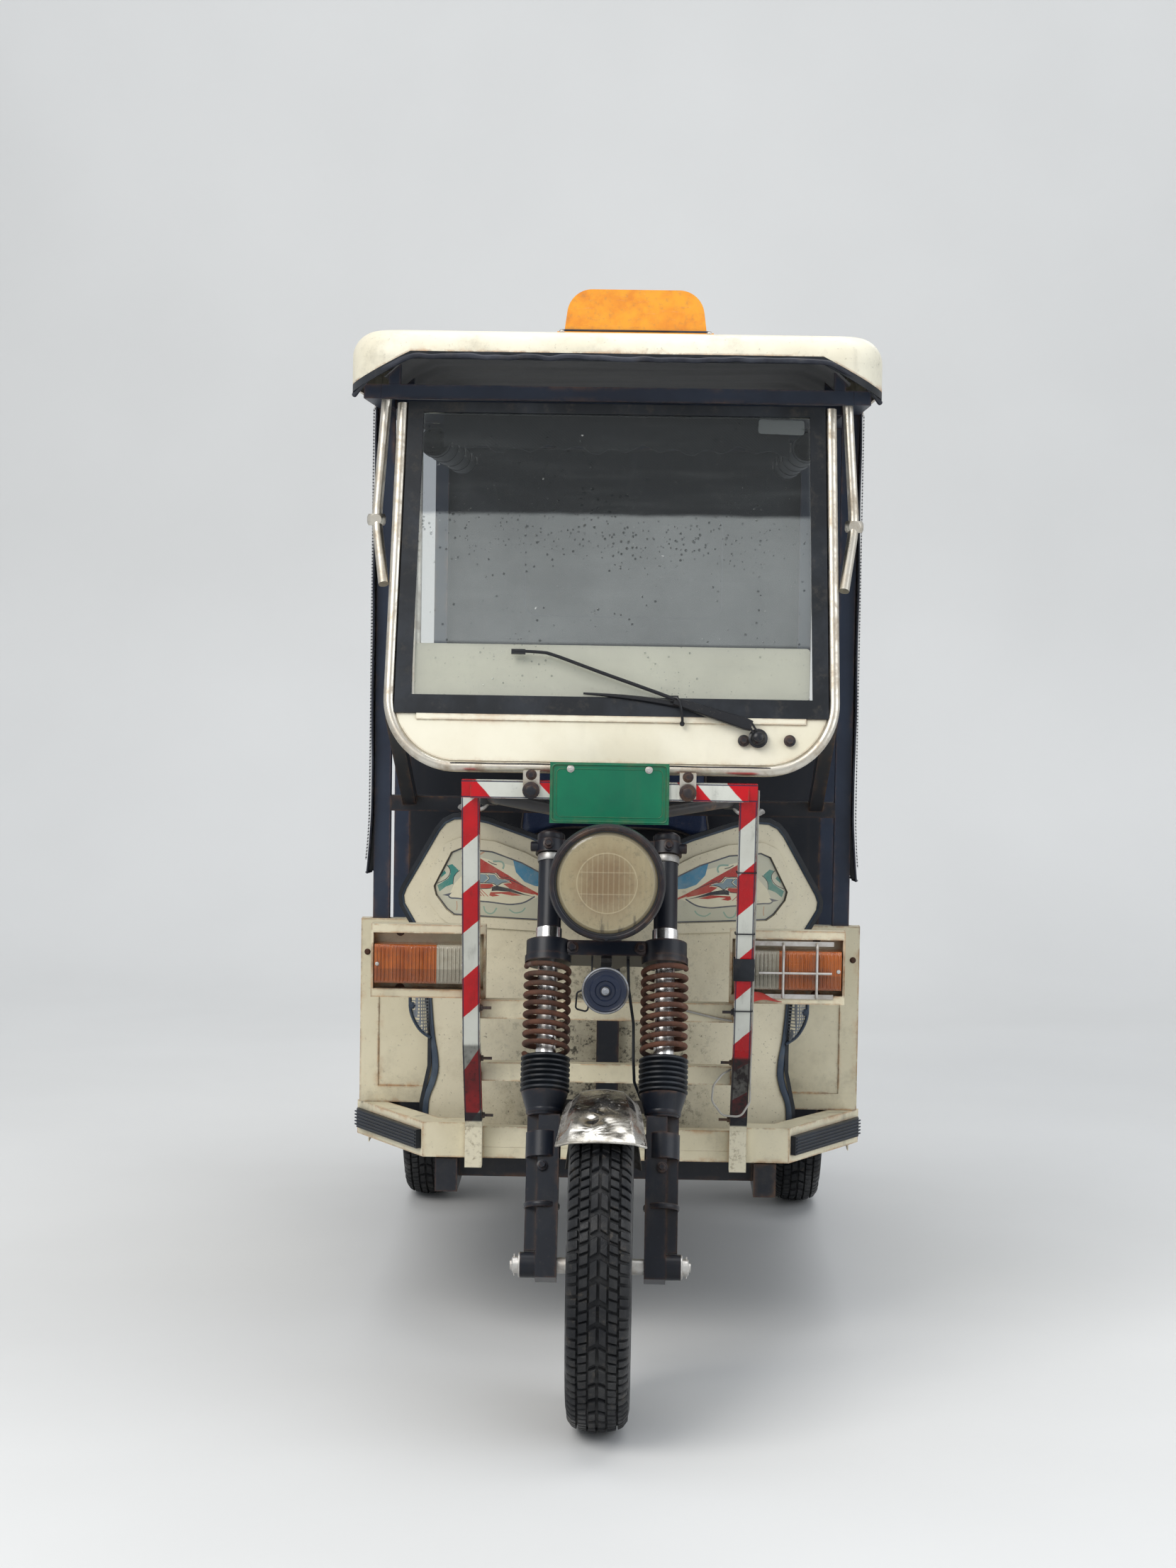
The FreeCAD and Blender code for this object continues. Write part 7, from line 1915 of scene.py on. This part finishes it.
@dataclass
class Screen:
    """What dresses the windscreen: blank banner and sticker, visor strip, wiper arm and the nose's fasteners."""

    low: float = 1052.0
    y: float = 280.0
    tilt: float = math.radians(13.0)

    def on_slope(self, x: float, v: float, out: float) -> Vector:
        """A point on the sloping screen plane: v up the slope, out towards the front."""
        return at(x, self.y + v * math.sin(self.tilt) - out * math.cos(self.tilt),
                  self.low + v * math.cos(self.tilt) + out * math.sin(self.tilt))

    def leaf(self, name: str, corners: Sequence[tuple[float, float]], out: float, thick: float, finish: Finish,
             curl: float = 0.0) -> None:
        """Lays a thin leaf with rounded corners on the screen plane.

        Args:
            name: the piece's name.
            corners: the outline's corners as (x, v), counter-clockwise from the lower left.
            out: how far its middle stands from the plane.
            thick: its thickness.
            finish: its finish.
            curl: how far its upper corners lift.
        """
        outline = []
        count = len(corners)
        for i, (x, v) in enumerate(corners):
            before, after = Vector(corners[i - 1]), Vector(corners[(i + 1) % count])
            here = Vector((x, v))
            a, b = here + (before - here).normalized() * 5, here + (after - here).normalized() * 5
            outline += [a, a.lerp(b, 0.5).lerp(here, 0.42), b]
        top = max(p.y for p in outline)
        shape = Shape()
        rows = [[self.on_slope(p.x, p.y, out + side * thick / 2 + (curl if p.y > top - 3 else 0.0)) for p in outline]
                for side in (-1, 1)]
        shape.loft(rows)
        shape.done(name, finish, "body", "white_paint", 40)

    def inside(self) -> None:
        """Adds the banner, the sticker and the visor behind the glass."""
        paper = Moulding("blank_paper", (0.97, 0.94, 0.84), (0.82, 0.78, 0.66), 0.5, 0.2, 0.4)
        self.leaf("screen_banner", ((-338, 134), (338, 134), (338, 224), (-338, 224)), -5.4, 0.8, paper)
        self.leaf("screen_sticker", ((245, 603), (325, 601), (325, 627), (246, 629)), -5.0, 0.6, paper, 0.4)
        shape = Shape()
        rings = []
        for k in range(41):
            x = -300 + 600 * k / 40
            sag = 6 * math.sin(k * 1.7) + 4 * math.sin(k * 0.6)
            rings.append([self.on_slope(x, v, -22 - 3 * math.sin(k * 0.9 + v * 0.05)) for v in (640, 600, 575 + sag)]
                         + [self.on_slope(x, v, -25 - 3 * math.sin(k * 0.9 + v * 0.05)) for v in (575 + sag, 600, 640)])
        shape.loft(rings)
        shape.done("visor_strip", LINING, "body", "canvas")

    def nose(self) -> None:
        """Adds the nose panel's bolts and the hairline seam."""
        shape = Shape()
        front = Vector((0, -math.cos(self.tilt), math.sin(self.tilt)))
        for x, v in ((226, 60), (304, 61)):
            shape.bolt(self.on_slope(x, v, 9.6), front, 0.0068, 0.005)
        shape.done("nose_fasteners", BLACK, "body", "frame_black")
        seam = Shape()
        seam.tube([self.on_slope(-272 + 544 * k / 30, 14 + 0.4 * math.sin(k), 9.4) for k in range(31)], 0.0008, 6)
        seam.done("nose_seam", BEAD, "body", "black_rubber")

    def wiper(self) -> None:
        """Builds the wiper: boss and knob, two short rods, channel arm, cranked rod, blade and its hanging hook."""
        shape = Shape()
        front = Vector((0, -math.cos(self.tilt), math.sin(self.tilt)))
        shape.lathe([(0, 0), (0, 0.0155), (0.0015, 0.0165), (0.004, 0.0165), (0.0055, 0.0125), (0.011, 0.0118),
                     (0.0125, 0.0105), (0.0150, 0.0105), (0.0165, 0.0088), (0.0195, 0.0080), (0.0212, 0.0052),
                     (0.0216, 0.0)], self.on_slope(250, 64, 9.5), front, 40)
        for shift in (-4.2, 4.2):
            shape.tube([self.on_slope(248 + shift * 0.3, 68 + shift, 21),
                        self.on_slope(238 + shift * 0.3, 84 + shift, 21)], 0.0019, 10)
        a, b = Vector((239, 84)), Vector((107, 125))
        way = (b - a).normalized()
        side = Vector((-way.y, way.x))
        section = ((-1.0, 14), (-1.0, 22.5), (-0.8, 24.2), (0.0, 24.8), (0.8, 24.2), (1.0, 22.5), (1.0, 14), (0.78, 14),
                   (0.78, 21.5), (-0.78, 21.5), (-0.78, 14))
        rings = []
        for k in range(13):
            share = k / 12
            middle = a.lerp(b, share)
            wide = 10.4 - 3.6 * share - (2.0 if k == 0 else 0.0)
            rings.append([self.on_slope(middle.x + side.x * wide * s, middle.y + side.y * wide * s, out - 1.5 * share)
                          for s, out in section])
        shape.loft(rings)
        rod = curve([self.on_slope(118, 121, 20), self.on_slope(96, 132, 20), self.on_slope(-20, 173, 18.5),
                     self.on_slope(-98, 201, 18), self.on_slope(-122, 206, 18), self.on_slope(-166, 208, 17)], 8)
        shape.tube(rod, [0.0034 - 0.0008 * k / (len(rod) - 1) for k in range(len(rod))], 12)
        for low, high in (((-172, 203, 11), (-148, 211, 19)), ((100, 124, 12), (114, 134, 21))):
            corners = [self.on_slope(x, v, low[2]) for x, v in
                       ((low[0], low[1]), (high[0], low[1]), (high[0], high[1]), (low[0], high[1]))]
            shape.prism(corners, front * (high[2] - low[2]) * MM, 0.0012, 2)
        blade = []
        for k in range(21):
            share = k / 20
            x, v = 112 - 160 * share, 121 + 16 * share + 2.5 * math.sin(share * 3)
            deep = 6.5 - 4.6 * share
            blade.append([self.on_slope(x, v + deep, 10.2), self.on_slope(x, v + deep * 0.6, 15 - 2.5 * share),
                          self.on_slope(x, v - deep * 0.6, 15 - 2.5 * share), self.on_slope(x, v - deep, 10.2)])
        shape.loft(blade)
        hook = curve([self.on_slope(106, 130, 22), self.on_slope(113, 128, 25), self.on_slope(118, 114, 24),
                      self.on_slope(121, 96, 17), self.on_slope(121, 89, 13)], 6)
        shape.tube(hook, 0.0024, 10)
        shape.lathe([(-0.002, 0.0), (-0.002, 0.0042), (0.002, 0.0042), (0.002, 0.0)], self.on_slope(121, 87, 12.5),
                    front, 20)
        piece = shape.done("wiper_arm", WIPER, "body", "frame_black", 36)
        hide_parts("wiper")

    def build(self) -> None:
        """Builds the screen's dressing."""
        self.inside()
        self.nose()
        self.wiper()


@dataclass
class RoofTrim:
    """Lining, wavy beading, sign seams and rivets of the roof."""

    def lining(self) -> None:
        """Hangs the thin dark lining below the roof skin between the front rim and the rear bar."""
        rows = []
        for i in range(61):
            y = 400 + 1980 * i / 60
            row = []
            for k in range(25):
                x = -402 + 804 * k / 24
                edge = min(1.0, (402 - abs(x)) / 70)
                row.append(at(x, y, 1725 + 46 * edge ** 0.6 + 2.2 * math.sin(i * 1.05 + k * 0.4)))
            rows.append(row)
        shape = Shape()
        thick = Vector((0, 0, 0.0016))
        loops = [row + [p + thick for p in row[::-1]] for row in rows]
        shape.loft(loops)
        shape.done("roof_lining", LINING, "body", "canvas", 60)

    def beading(self) -> None:
        """Runs the loose wavy cord of the front beading along the rim, drooping at both tips."""
        rng = random.Random(11)
        points = []
        for k in range(41):
            x = -452 + 904 * k / 40
            rise = 1764 if abs(x) < 350 else 1764 - (abs(x) - 350) * 65 / 125
            droop = -10 * max(0.0, (abs(x) - 425) / 27) ** 2
            points.append(at(x, 299.0 + max(0.0, abs(x) - 366) ** 2 / 86, rise - 8 + rng.uniform(-2.2, 2.2) + droop))
        shape = Shape()
        shape.tube(curve(points, 5), 0.0046, 10)
        shape.done("rim_cord", BEAD, "body", "black_rubber")

    def sign(self) -> None:
        """Adds the roof lamp's seam and screws."""
        shape = Shape()
        x0, x1, z = 30 - 124 - 8, 30 + 124 + 8, 1813.5
        path = []
        for cx, cy, start in ((x1 - 8, 536, 0), (x0 + 8, 536, 90), (x0 + 8, 464, 180), (x1 - 8, 464, 270)):
            path += arc(at(cx, cy, z), Vector((1, 0, 0)), Vector((0, 1, 0)), 0.006, start, start + 90, 5)
        shape.tube(path, 0.0026, 8, closed=True)
        shape.done("sign_gasket", BEAD, "body", "black_rubber")
        screws = Shape()
        for x in (30 - 128, 30 + 128):
            screws.bolt(at(x, 456.5, 1811.8), Vector((0, 0, 1)), 0.0038, 0.0024)
        screws.done("sign_screws", STEEL, "body", "steel")

    def rivets(self) -> None:
        """Rivets the roof skin along both sides."""
        for sign, side in ((1, "left"), (-1, "right")):
            unit = Shape().rivet(Vector((0, 0, 0)), Vector((0, 0, 1)), 0.0045)
            place = Matrix.Translation(at(sign * 455, 430, 1722)) @ Matrix.Rotation(math.pi / 2, 4, "Z") @ \
                Matrix.Rotation(-sign * math.pi / 2, 4, "X")
            Array(Repeat.GRID, 13, 13, (0.158, 0.01)).lay(f"roof_rivets_{side}", unit, STEEL, place, "body")

    def build(self) -> None:
        """Builds the roof's trim."""
        self.lining()
        self.beading()
        self.sign()
        self.rivets()


@dataclass
class Floor:
    """Raised lozenges on the chequer plate."""

    def build(self) -> None:
        """Lays the lozenges on both floor sheets."""
        def lozenge() -> Shape:
            shape = Shape()
            rings = []
            for level, grow in ((-0.0002, 1.0), (0.0006, 0.93), (0.0011, 0.66), (0.0013, 0.3)):
                rings.append([Vector((0.0115 * grow * math.copysign(abs(math.cos(a)) ** 1.4, math.cos(a)),
                                      0.0036 * grow * math.copysign(abs(math.sin(a)) ** 1.1, math.sin(a)), level))
                              for a in turns(16)])
            return shape.loft(rings)

        steel = FINISHES["floor_steel"]
        for name, x0, x1, y0, y1 in (("driver", -270, 270, 790, 940), ("footwell", -395, 395, 1490, 1736),
                                     ("entry_left", 300, 430, 800, 940), ("entry_right", -430, -300, 800, 940)):
            columns, rows = int((x1 - x0) / 26), int((y1 - y0) / 26)
            Array(Repeat.GRID, columns * rows, columns, (0.026, 0.026), alternate=math.pi / 2).lay(
                f"floor_lozenges_{name}", lozenge(), steel, Matrix.Translation(at(x0 + 13, y0 + 13, 348.4)), "body")


@dataclass
class Pad:
    """One vinyl pad: a crowned cushion swollen by a cloth simulation, then piped and channelled."""

    name: str
    low: Point
    high: Point
    channels: int = 3
    upright: bool = False
    swell: float = 0.024
    voxel: float = 0.006

    @property
    def turned(self) -> bool:
        """Whether the soft face of a backrest looks to the rear."""
        return self.name == "front_backrest"

    def start(self) -> bpy.types.Object:
        """Makes the slightly smaller starting form, remeshed."""
        low, high = Vector(self.low), Vector(self.high)
        size = high - low
        inset = Vector((min(0.02, size.x * 0.06), min(0.02, size.y * 0.12), min(0.018, size.z * 0.12)))
        shape = Shape()
        shape.box(low + inset, high - inset, 0.016, 3)
        pad = shape.placed(self.name)
        remesh = pad.modifiers.new("remesh", "REMESH")
        remesh.mode, remesh.voxel_size = "VOXEL", self.voxel * 1.6
        apply_modifiers(pad)
        return pad

    def inflate(self, pad: bpy.types.Object) -> None:
        """Runs the cloth simulation and caps how far each point moves."""
        before = [v.co.copy() for v in pad.data.vertices]
        cloth = pad.modifiers.new("cloth", "CLOTH")
        cloth.settings.use_pressure = True
        cloth.settings.uniform_pressure_force = 4.0
        cloth.settings.effector_weights.gravity = 0.0
        cloth.settings.quality = 4
        cloth.point_cache.frame_start, cloth.point_cache.frame_end = 1, 20
        scene = bpy.context.scene
        for step in range(1, 21):
            scene.frame_set(step)
        apply_modifiers(pad)
        scene.frame_set(1)
        for vertex, old in zip(pad.data.vertices, before):
            move = vertex.co - old
            if move.length > self.swell:
                vertex.co = old + move.normalized() * self.swell

    def shape_up(self, pad: bpy.types.Object) -> None:
        """Presses the sewn channels, the flat resting side and keeps the pad inside its space."""
        low, high = Vector(self.low), Vector(self.high)
        size, centre = high - low, (low + high) / 2
        for vertex in pad.data.vertices:
            p = vertex.co
            if self.upright:
                along, depth, reach = (p.z - low.z) / size.z, 1, size.y * 0.1
                front = p.y > centre.y - reach if self.turned else p.y < centre.y + reach
            else:
                along, depth, front = (p.x - low.x) / size.x, 2, p.z > centre.z
            if front:
                for k in range(1, self.channels):
                    gap = abs(along - k / self.channels) * (size.z if self.upright else size.x)
                    dip = 0.0075 * math.exp(-(gap / 0.007) ** 2)
                    way = 1.0 if self.upright and not self.turned else -1.0
                    p[depth] += way * dip
            for i in range(3):
                p[i] = min(max(p[i], low[i] + 0.0006), high[i] - 0.0006)

    def piping(self, pad: bpy.types.Object) -> None:
        """Sews a welt round the pad's front edge, on its real surface."""
        low, high = Vector(self.low), Vector(self.high)
        size, centre = high - low, (low + high) / 2
        tree = BVHTree.FromPolygons([v.co.copy() for v in pad.data.vertices],
                                    [p.vertices[:] for p in pad.data.polygons])
        line = []
        plane = (0, 2) if self.upright else (0, 1)
        level = 1 if self.upright else 2
        share = 0.30 if self.upright and not self.turned else 0.70
        for k in range(96):
            a = 2 * math.pi * k / 96
            start = centre.copy()
            start[level] = low[level] + size[level] * share
            way = Vector((0, 0, 0))
            way[plane[0]] = math.copysign(abs(math.cos(a)) ** 0.35, math.cos(a)) * size[plane[0]]
            way[plane[1]] = math.copysign(abs(math.sin(a)) ** 0.35, math.sin(a)) * size[plane[1]]
            place, normal, _, _ = tree.ray_cast(start + way * 0.9, -way.normalized())
            if place is not None:
                line.append(place - normal * 0.0002 if normal.dot(way) < 0 else place + normal * 0.0002)
        if len(line) > 40:
            for p in line:
                for i in range(3):
                    p[i] = min(max(p[i], low[i] + 0.0028), high[i] - 0.0028)
            welt = Shape()
            welt.tube(line, 0.0034, 8, closed=True)
            welt.done(f"{self.name}_welt", PIPE, "body", "seat_vinyl")

    def build(self) -> bpy.types.Object:
        pad = self.start()
        self.inflate(pad)
        modifier = pad.modifiers.new("subdivision", "SUBSURF")
        modifier.levels = modifier.render_levels = 1
        apply_modifiers(pad)
        self.shape_up(pad)
        pad.data.materials.append(SEAT.material)
        smooth(pad)
        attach(pad, "body")
        self.piping(pad)
        return pad


@dataclass
class Canvas:
    """Side curtains, rolled doorway covers and the rear curtain, as cloth sheets with straps and a mesh edge."""

    def hanging(self, sign: int) -> None:
        """Hangs one drawn-back side curtain with soft folds and a foot that kicks outward."""
        side = side_of(sign)
        top, low, y0, y1 = 1700.0, 837.0, 737.0, 963.0
        columns, rows = 64, 90
        front, back = [], []
        for j in range(rows + 1):
            v = j / rows
            z = top + (low - top) * v
            kick = max(0.0, (v - 0.86) / 0.14)
            a, b = [], []
            for i in range(columns + 1):
                u = i / columns
                fold = 1.7 * math.sin(u * 20.5 + 0.7 * math.sin(v * 4.1)) * min(1.0, 0.25 + v * 1.5)
                fold += 0.9 * math.sin(u * 47 + v * 3.0) * v
                x = 442.6 + fold + 8.5 * kick ** 1.6 + 0.6 * math.sin(v * 22 + u * 5)
                y = y0 + (y1 - y0) * u + 3.0 * math.sin(v * 5.2 + sign) * (u - 0.5)
                a.append(at(sign * (x + 0.55), y, z - 5 * kick * math.sin(u * 2.6)))
                b.append(at(sign * (x - 0.55), y, z - 5 * kick * math.sin(u * 2.6)))
            front.append(a)
            back.append(b)
        shape = Shape()
        shape.loft([f + g[::-1] for f, g in zip(front, back)])
        piece = shape.done(f"side_curtain_{side}", CANVAS, "body", "canvas", 70)
        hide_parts("side_canvas")
        hem = Shape()
        hem.tube([(f[0] + g[0]) / 2 for f, g in zip(front, back)], 0.0022, 8, flat=0.9)
        hem.tube([(f[-1] + g[-1]) / 2 for f, g in zip(front, back)], 0.0022, 8, flat=0.9)
        hem.tube([(p + q) / 2 for p, q in zip(front[-1], back[-1])], 0.0024, 8, flat=0.9)
        hem.done(f"side_curtain_hem_{side}", BEAD, "body", "canvas")
        rivets = Shape()
        for k in range(4):
            rivets.rivet(at(sign * 446.0, y0 + 24 + k * 60, 1692), Vector((sign, 0, 0)), 0.0048)
        rivets.done(f"curtain_eyelets_{side}", STEEL, "body", "steel")

    def roll(self, sign: int) -> None:
        """Rolls up one doorway cover below the roof rail, tied by straps with buckles."""
        side = side_of(sign)
        y0, y1, x, z = 1300.0, 2338.0, 373.7, 1655.4
        straps = (1345.0, 1585.0, 1825.0, 2065.0, 2295.0)
        wraps, per = 4, 40
        steps = 120
        rings = []
        for i in range(steps + 1):
            y = y0 + (y1 - y0) * i / steps
            near = min(abs(y - s) for s in straps)
            pinch = 1.0 - 0.13 * math.exp(-(near / 34.0) ** 2)
            ring = []
            for k in range(wraps * per + 1):
                a = 2 * math.pi * k / per
                r = (9.0 + 23.2 * k / (wraps * per)) * pinch
                r *= 1 + 0.018 * math.sin(a * 3 + y / 60.0) + 0.014 * math.sin(y / 23.0 + a)
                sag = -1.6 * math.sin(math.pi * (near / 120.0)) if near < 120 else -1.6
                ring.append(at(sign * (x + r * math.cos(a) * 0.98), y, z + r * math.sin(a) * 0.96 + sag * 0.5))
            rings.append(ring)
        shape = Shape()
        shape.loft(rings, closed=False, caps=False)
        piece = shape.done(f"rolled_canvas_{side}", CANVAS, "body", "canvas", 70)
        band, metal = Shape(), Shape()
        for s in straps:
            hoops = [[at(sign * (x + (30.2 + out) * math.cos(a)), s + dy, z - 0.8 + (29.4 + out) * math.sin(a))
                      for a in turns(40)] for dy, out in ((-9, 0.0), (-9, 1.3), (9, 1.3), (9, 0.0))]
            band.loft(hoops, around=True, caps=False)
            band.tube([at(sign * (x + 6 * k), s, 1688 - 3 * abs(k)) for k in (-2, -1, 0, 1, 2)], 0.0022, 8)
            metal.tube([at(sign * (x - 33.0), s + dy, z + dz) for dy, dz in ((-11, -8), (11, -8), (11, 8), (-11, 8))],
                       0.0015, 8, closed=True)
        band.done(f"roll_straps_{side}", BEAD, "body", "canvas")
        metal.done(f"roll_buckles_{side}", STEEL, "body", "steel")

    def rear(self) -> None:
        """Hangs the rear curtain with a stitched clear window frame, soft folds and a fixed lower edge."""
        columns, rows = 110, 90
        x0, x1, top, low, y = -433.5, 433.5, 1697.0, 701.0, 2403.4

        def point(x: float, z: float, out: float) -> Vector:
            u, v = (x - x0) / (x1 - x0), (top - z) / (top - low)
            pull = math.sin(math.pi * v)
            swell = 1.5 * math.sin(u * 31) * pull + 1.2 * math.sin(u * 13 + v * 5) * pull
            return at(x, y + swell + out, z)

        shape = Shape()
        front = [[point(x0 + (x1 - x0) * i / columns, top + (low - top) * j / rows, 0.6) for i in range(columns + 1)]
                 for j in range(rows + 1)]
        back = [[point(x0 + (x1 - x0) * i / columns, top + (low - top) * j / rows, -0.6) for i in range(columns + 1)]
                for j in range(rows + 1)]
        shape.loft([f + g[::-1] for f, g in zip(front, back)])
        piece = shape.done("rear_curtain_cloth", CANVAS, "body", "canvas", 70)
        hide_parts("rear_curtain")
        rim = Shape()
        path = []
        for sx, sz, start in QUARTERS:
            path += [(sx * 200 + 30 * math.cos(math.radians(a)), 1420 + sz * 90 + 30 * math.sin(math.radians(a)))
                     for a in range(start, start + 91, 15)]
        dense = []
        for (xa, za), (xb, zb) in zip(path, path[1:] + path[:1]):
            dense += [(xa + (xb - xa) * k / 8, za + (zb - za) * k / 8) for k in range(8)]
        rim.tube([point(x, z, 1.6) for x, z in dense], 0.0030, 8, closed=True)
        rim.tube([point(x * 1.09, 1420 + (z - 1420) * 1.16, 1.0) for x, z in dense], 0.0011, 6, closed=True)
        rim.done("rear_window_welt", BEAD, "body", "canvas")
        pane = Shape()
        rows2 = []
        for j in range(25):
            z = 1306 + 228 * j / 24
            rows2.append([point(-224 + 448 * i / 40, z, 1.3) for i in range(41)])
        rows3 = [[p + Vector((0, 0.0006, 0)) for p in row] for row in rows2]
        pane.loft([f + g[::-1] for f, g in zip(rows2, rows3)])
        pane.done("rear_window_film", Moulding("window_film", (0.16, 0.18, 0.18), (0.3, 0.28, 0.22), 0.12, 0.5, 0.6),
                  "body", "window_glass")

    def mesh_edge(self, sign: int) -> None:
        """Adds the woven mesh strip along the front edge of the side curtain."""
        side = side_of(sign)
        shape = Shape()
        for shift in (0.0, 0.0012):
            rows = []
            for j in range(61):
                z = 1690 - 830 * j / 60
                v = (1700 - z) / 863.0
                kick = 8.5 * max(0.0, (v - 0.86) / 0.14) ** 1.6
                rows.append([at(sign * (447.6 + kick * 0.9 + shift * 1000), 738 + 22 * i / 4, z) for i in range(5)])
            shape.loft(rows, closed=False)
        shape.done(f"curtain_mesh_{side}", MESH, "body", "canvas")

    def build(self) -> None:
        """Builds all the canvas."""
        for sign in (-1, 1):
            self.hanging(sign)
            self.roll(sign)
            self.mesh_edge(sign)
        self.rear()


@dataclass
class Cabin:
    """Seats, hand controls, hinges and hardware of the cabin."""

    def seats(self) -> None:
        """Builds all six pads in the spaces of their CAD solids."""
        def span(x: float, y0: float, y1: float, z0: float, z1: float) -> tuple[Point, Point]:
            return tuple(at(-x, y0, z0)), tuple(at(x, y1, z1))

        for node, rows in (
                ("driver_seat", (("driver_cushion", (235, 955, 1215, 655.3, 733.3), 3, False),
                                 ("driver_backrest", (225, 1178, 1234, 850, 1130), 3, True))),
                ("front_bench", (("front_cushion", (395, 1282, 1530, 615.3, 693.3), 5, False),
                                 ("front_backrest", (395, 1270, 1326, 760, 1130), 3, True))),
                ("rear_bench", (("rear_cushion", (400, 1925, 2330, 615.3, 693.3), 5, False),
                                ("rear_backrest", (395, 2330.3, 2387.7, 735, 1130), 3, True)))):
            for name, sizes, channels, upright in rows:
                low, high = span(*sizes)
                pad = Pad(name, low, high, channels, upright).build()
                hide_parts(node)

    def controls(self) -> None:
        """Adds brake levers, clamps, throttle collar, switch box and meter on the handlebar."""
        dark, bright, knobs = Shape(), Shape(), Shape()
        for sign in (-1, 1):
            a = at(sign * 212, 455, 1000)
            dark.box(a - Vector((0.016, 0.013, 0.015)), a + Vector((0.016, 0.013, 0.015)), 0.004, 2)
            lever = curve([at(sign * 214, 449, 990), at(sign * 224, 445, 979), at(sign * 246, 455, 974),
                           at(sign * 262, 520, 973), at(sign * 270, 575, 974)], 6)
            bright.tube(lever, [0.0052] * (len(lever) - 3) + [0.0058, 0.0064, 0.0055], 10, flat=0.6)
            knobs.lathe([(0, 0.0), (0, 0.0175), (0.003, 0.0188), (0.010, 0.0188), (0.012, 0.0165), (0.012, 0.0)],
                        at(sign * 236, 494, 1000), Vector((sign * 0.15, 1, 0)), 28)
        dark.box(at(-58, 312, 998), at(58, 352, 1028), 0.008, 3)
        dark.done("handlebar_controls", FINISHES["black_plastic"], "fork", "black_plastic")
        bright.done("brake_levers", STEEL, "fork", "steel")
        knobs.done("grip_collars", RUBBER, "fork")
        pane = Shape()
        pane.box(at(-48, 317, 1027.6), at(48, 347, 1029.2), 0.0006, 1)
        pane.done("meter_window", Moulding("meter_window", (0.03, 0.05, 0.06), roughness=0.08, dirt=0.2), "fork",
                  "black_plastic")

    def battery(self) -> None:
        """Adds the seat box's hinges and latches on the sides that show."""
        shape = Shape()
        for sign in (-1, 1):
            for y in (1030, 1400):
                shape.box(at(sign * 400.6 - 1.6, y - 26, 560) if sign > 0 else at(-402.4, y - 26, 560),
                          at(402.4, y + 26, 590) if sign > 0 else at(-400.0, y + 26, 590), 0.0008, 1)
                for dy in (-17, 17):
                    shape.rivet(at(sign * 402.4, y + dy, 575), Vector((sign, 0, 0)), 0.0035)
        shape.done("seat_box_hinges", STEEL, "body", "steel")

    def build(self) -> None:
        """Builds the cabin's detail."""
        self.seats()
        self.controls()
        self.battery()


@dataclass
class RearTrim:
    """Fasteners, seams and lens ribs of the tail."""

    def build(self) -> None:
        """Builds the tail's trim."""
        ribs, bolts = Shape(), Shape()
        face = 2444.3
        back = Vector((0, 1, 0))
        _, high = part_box("tail_lamps")
        for sign in (-1, 1):
            for k in range(17):
                x = sign * (258 + 144 * k / 16)
                ribs.tube([Vector((x * MM, high.y + 0.0002, z * MM)) for z in (476, 490, 505, 520, 534)], 0.0012, 8)
            for x, z in ((438, 360), (438, 1060), (438, 700)):
                bolts.bolt(at(sign * x * 0.99, face, z), back, 0.0052, 0.0035)
        for x in (-110, 110):
            bolts.bolt(at(x, face, 1050), back, 0.0052, 0.0035)
        ribs.done("tail_lamp_ribs", FINISHES["red_lens"], "body")
        bolts.done("tail_bolts", STEEL, "body", "steel")
        seam = Shape()
        path = []
        for sx, sz, start in QUARTERS:
            path += arc(at(sx * 330, face + 0.3, 830 + sz * 150), Vector((1, 0, 0)), Vector((0, 0, 1)), 0.03, start,
                        start + 90, 6)
        seam.tube(path, 0.0026, 8, closed=True, flat=0.7)
        seam.done("tail_panel_seam", CREAM, "body", "cream_paint")


def main() -> None:
    """Builds the scene."""
    logging.basicConfig(level=logging.INFO, format="%(name)s %(message)s")
    Studio().build()
    dress_frame()
    for node, body, centre in (("front_tyre", "front_wheel_set", at(0, 0, 266)),
                               ("rear_left_tyre", "rear_left_wheel_set", at(409, 2050, 266)),
                               ("rear_right_tyre", "rear_right_wheel_set", at(-409, 2050, 266))):
        Tyre(node, body, centre).build()
    for assembly in (Headlamp(), ForkTrim(), Mudguard(), FrontTrim(), Screen(), RoofTrim(), Floor(), Cabin(), Canvas(),
                     RearTrim()):
        log.info("building %s", type(assembly).__name__)
        assembly.build()


if __name__ == "__main__":
    main()
